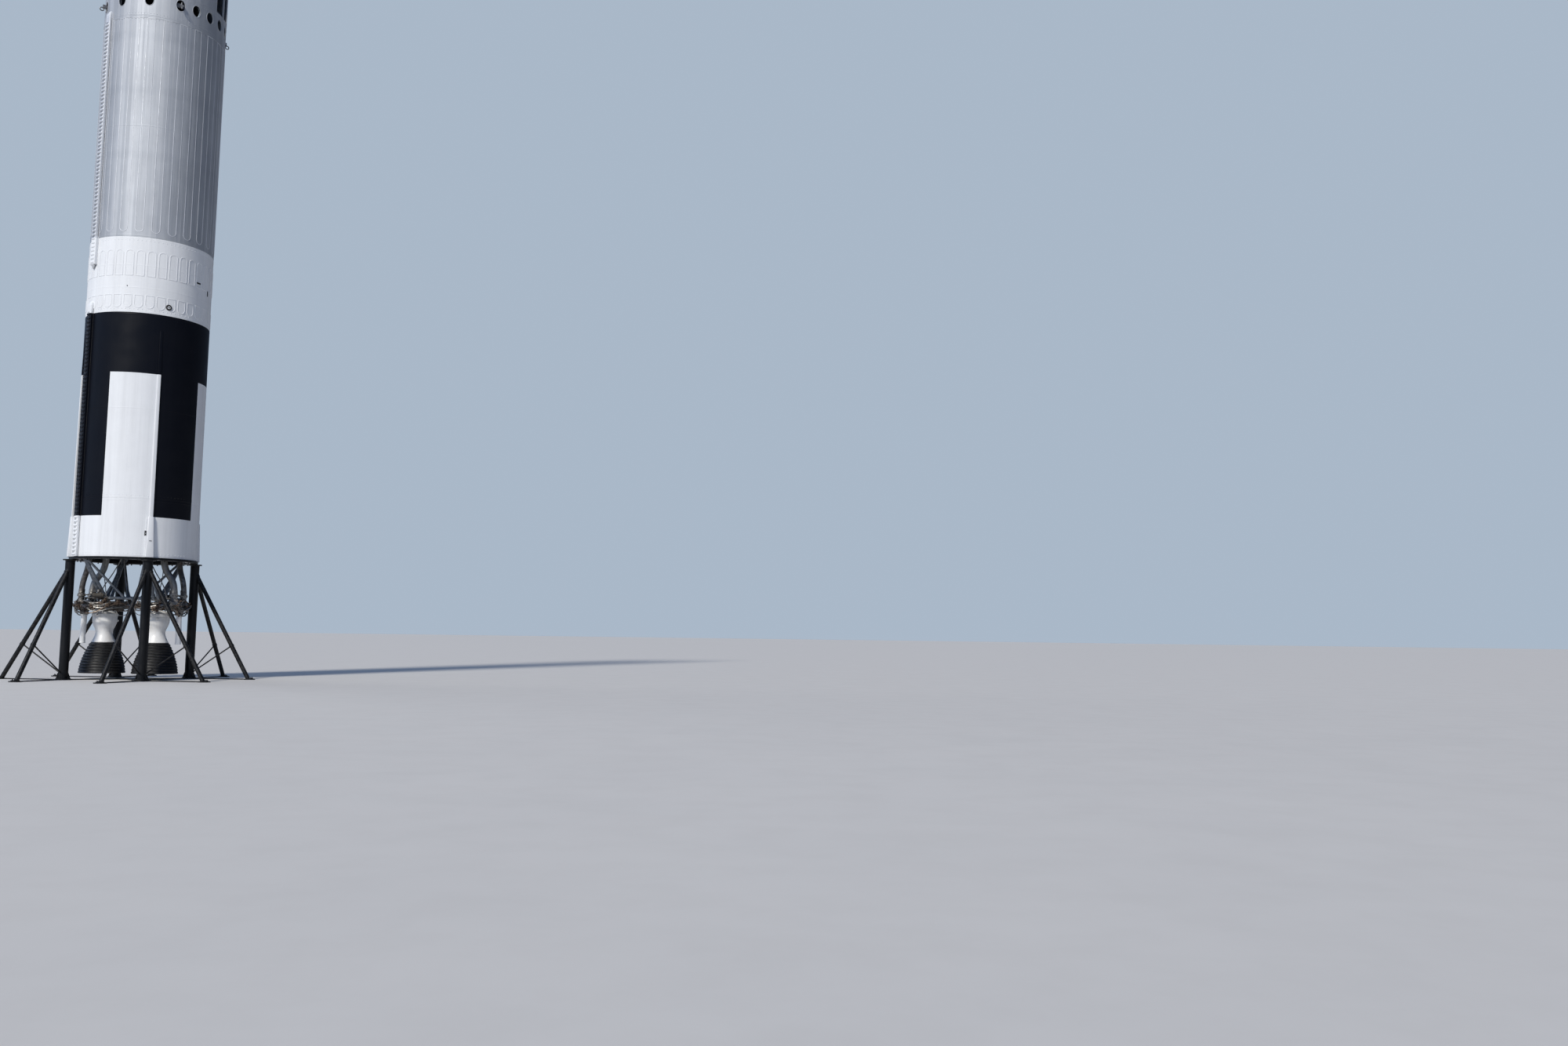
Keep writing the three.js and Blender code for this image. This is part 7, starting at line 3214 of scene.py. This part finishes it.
@dataclass
class Studio:
    """A plain pale floor, soft light, and the camera at the photograph's place.

    Attributes:
        camera_at: the camera's place.
        heading: the side that it looks to, in degrees from +X.
        pitch: how far it looks up, in degrees.
        roll: its turn about its own axis, in degrees.
        focal: its focal length in millimetres.
        sensor: its sensor's width in millimetres.
        floor_r: the floor's radius.
        view_far: how far the camera sees.
        sky: the sky's colour at the horizon and overhead.
        backdrop: the colour that the camera sees behind the object.
        sky_light: strength of the sky.
        bright_side: the side where the sky is brightest.
        key_side: the side that the key light shines from.
    """

    camera_at: Point = (20.85, -32.10, 1.314)
    heading: float = 95.8
    pitch: float = 5.22
    roll: float = 0.74
    focal: float = 29.0
    sensor: float = 36.0
    floor_r: float = 2400.0
    view_far: float = 4000.0
    sky: tuple[Colour, Colour] = ((0.47, 0.63, 0.9), (0.19, 0.35, 0.72))
    backdrop: Colour = (0.4, 0.48, 0.58)
    sky_light: float = 0.35
    bright_side: float = -132.0
    key_side: float = -101.0

    def make_floor(self) -> None:
        """A wide round floor of plain pale concrete."""
        clear()
        bpy.ops.mesh.primitive_circle_add(
            vertices=96, radius=self.floor_r, fill_type="NGON", location=(0, 0, 0)
        )
        floor = settled(bpy.context.object, "studio_floor")
        pale = Finish(
            "Pale Floor", (0.66, 0.635, 0.6), (0.61, 0.585, 0.55), roughness=0.85, streaks=0.0, blotches=0.4,
            grain=8, bump=0.0005, specular=0.2,
        )
        floor.data.materials.append(pale.material())

    def make_sun(
        self, name: str, azimuth: float, elevation: float, strength: float, spread: float, colour: Colour,
    ) -> None:
        """A soft distant light.

        Args:
            name: the light's name.
            azimuth: the side that it shines from, in degrees from +X.
            elevation: its height in degrees.
            strength: its strength.
            spread: its apparent size in degrees.
            colour: its colour.
        """
        clear()
        bpy.ops.object.light_add(type="SUN", location=(0, 0, 40))
        lamp = bpy.context.object
        lamp.name = name
        lamp.data.energy = strength
        lamp.data.angle = math.radians(spread)
        lamp.data.color = colour
        back = at(math.cos(math.radians(elevation)), azimuth, math.sin(math.radians(elevation)))
        lamp.rotation_mode = "QUATERNION"
        lamp.rotation_quaternion = back.to_track_quat("Z", "Y")

    def make_world(self) -> None:
        """A soft sky, bluer above and brighter on the side of the key light, behind a plain pale backdrop."""
        world = bpy.data.worlds.new("Studio")
        bpy.context.scene.world = world
        world.use_nodes = True
        world.node_tree.nodes.clear()
        w = Wiring(world.node_tree)
        x, y, up = w.parts(w.node("ShaderNodeTexCoord").outputs["Generated"])
        side = at(1, self.bright_side, 0)
        towards = w.math("ADD", w.math("MULTIPLY", x, side.x), w.math("MULTIPLY", y, side.y))
        shade = w.node("ShaderNodeBackground")
        w.feed(shade.inputs["Color"], w.mix(w.ranged(up, 0.0, 0.6), *self.sky))
        w.feed(
            shade.inputs["Strength"],
            w.ranged(towards, -1.0, 1.0, self.sky_light * 0.35, self.sky_light * 2.0),
        )
        plain = w.node("ShaderNodeBackground")
        plain.inputs["Color"].default_value = (*self.backdrop, 1.0)
        seen = w.node("ShaderNodeMixShader")
        w.feed(seen.inputs[0], w.node("ShaderNodeLightPath").outputs["Is Camera Ray"])
        w.feed(seen.inputs[1], shade.outputs[0])
        w.feed(seen.inputs[2], plain.outputs[0])
        output = w.node("ShaderNodeOutputWorld")
        w.feed(output.inputs["Surface"], seen.outputs[0])

    def make_camera(self) -> None:
        """The camera, on the same line of sight as the photograph's."""
        clear()
        bpy.ops.object.camera_add(location=self.camera_at)
        camera = bpy.context.object
        camera.name = "photo_camera"
        camera.data.lens = self.focal
        camera.data.sensor_width = self.sensor
        camera.data.clip_start, camera.data.clip_end = 0.1, self.view_far
        ahead = at(math.cos(math.radians(self.pitch)), self.heading, math.sin(math.radians(self.pitch)))
        camera.rotation_mode = "QUATERNION"
        turn = ahead.to_track_quat("-Z", "Y")
        tilt = Matrix.Rotation(math.radians(self.roll), 3, "Z").to_quaternion()
        camera.rotation_quaternion = turn @ tilt
        bpy.context.scene.camera = camera

    def build(self) -> None:
        """Builds floor, lights, world and camera."""
        self.make_floor()
        self.make_world()
        self.make_sun("key", self.key_side, elevation=38, strength=2.9, spread=8, colour=(1.0, 0.965, 0.9))
        self.make_sun("back", 160, elevation=40, strength=0.35, spread=30, colour=(0.9, 0.95, 1.0))
        self.make_camera()
        bpy.context.scene.view_settings.view_transform = "Standard"


def main() -> None:
    """Builds the studio and the rocket round the frame."""
    logging.basicConfig(level=logging.INFO, format="%(message)s")
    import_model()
    Studio().build()
    engines = MainEngines()
    for part in (Stand(), Stages(), EngineFrame(engines), engines, SecondEngine(), Craft()):
        part.build()
        LOG.info("built %s", type(part).__name__)


if __name__ == "__main__":
    main()
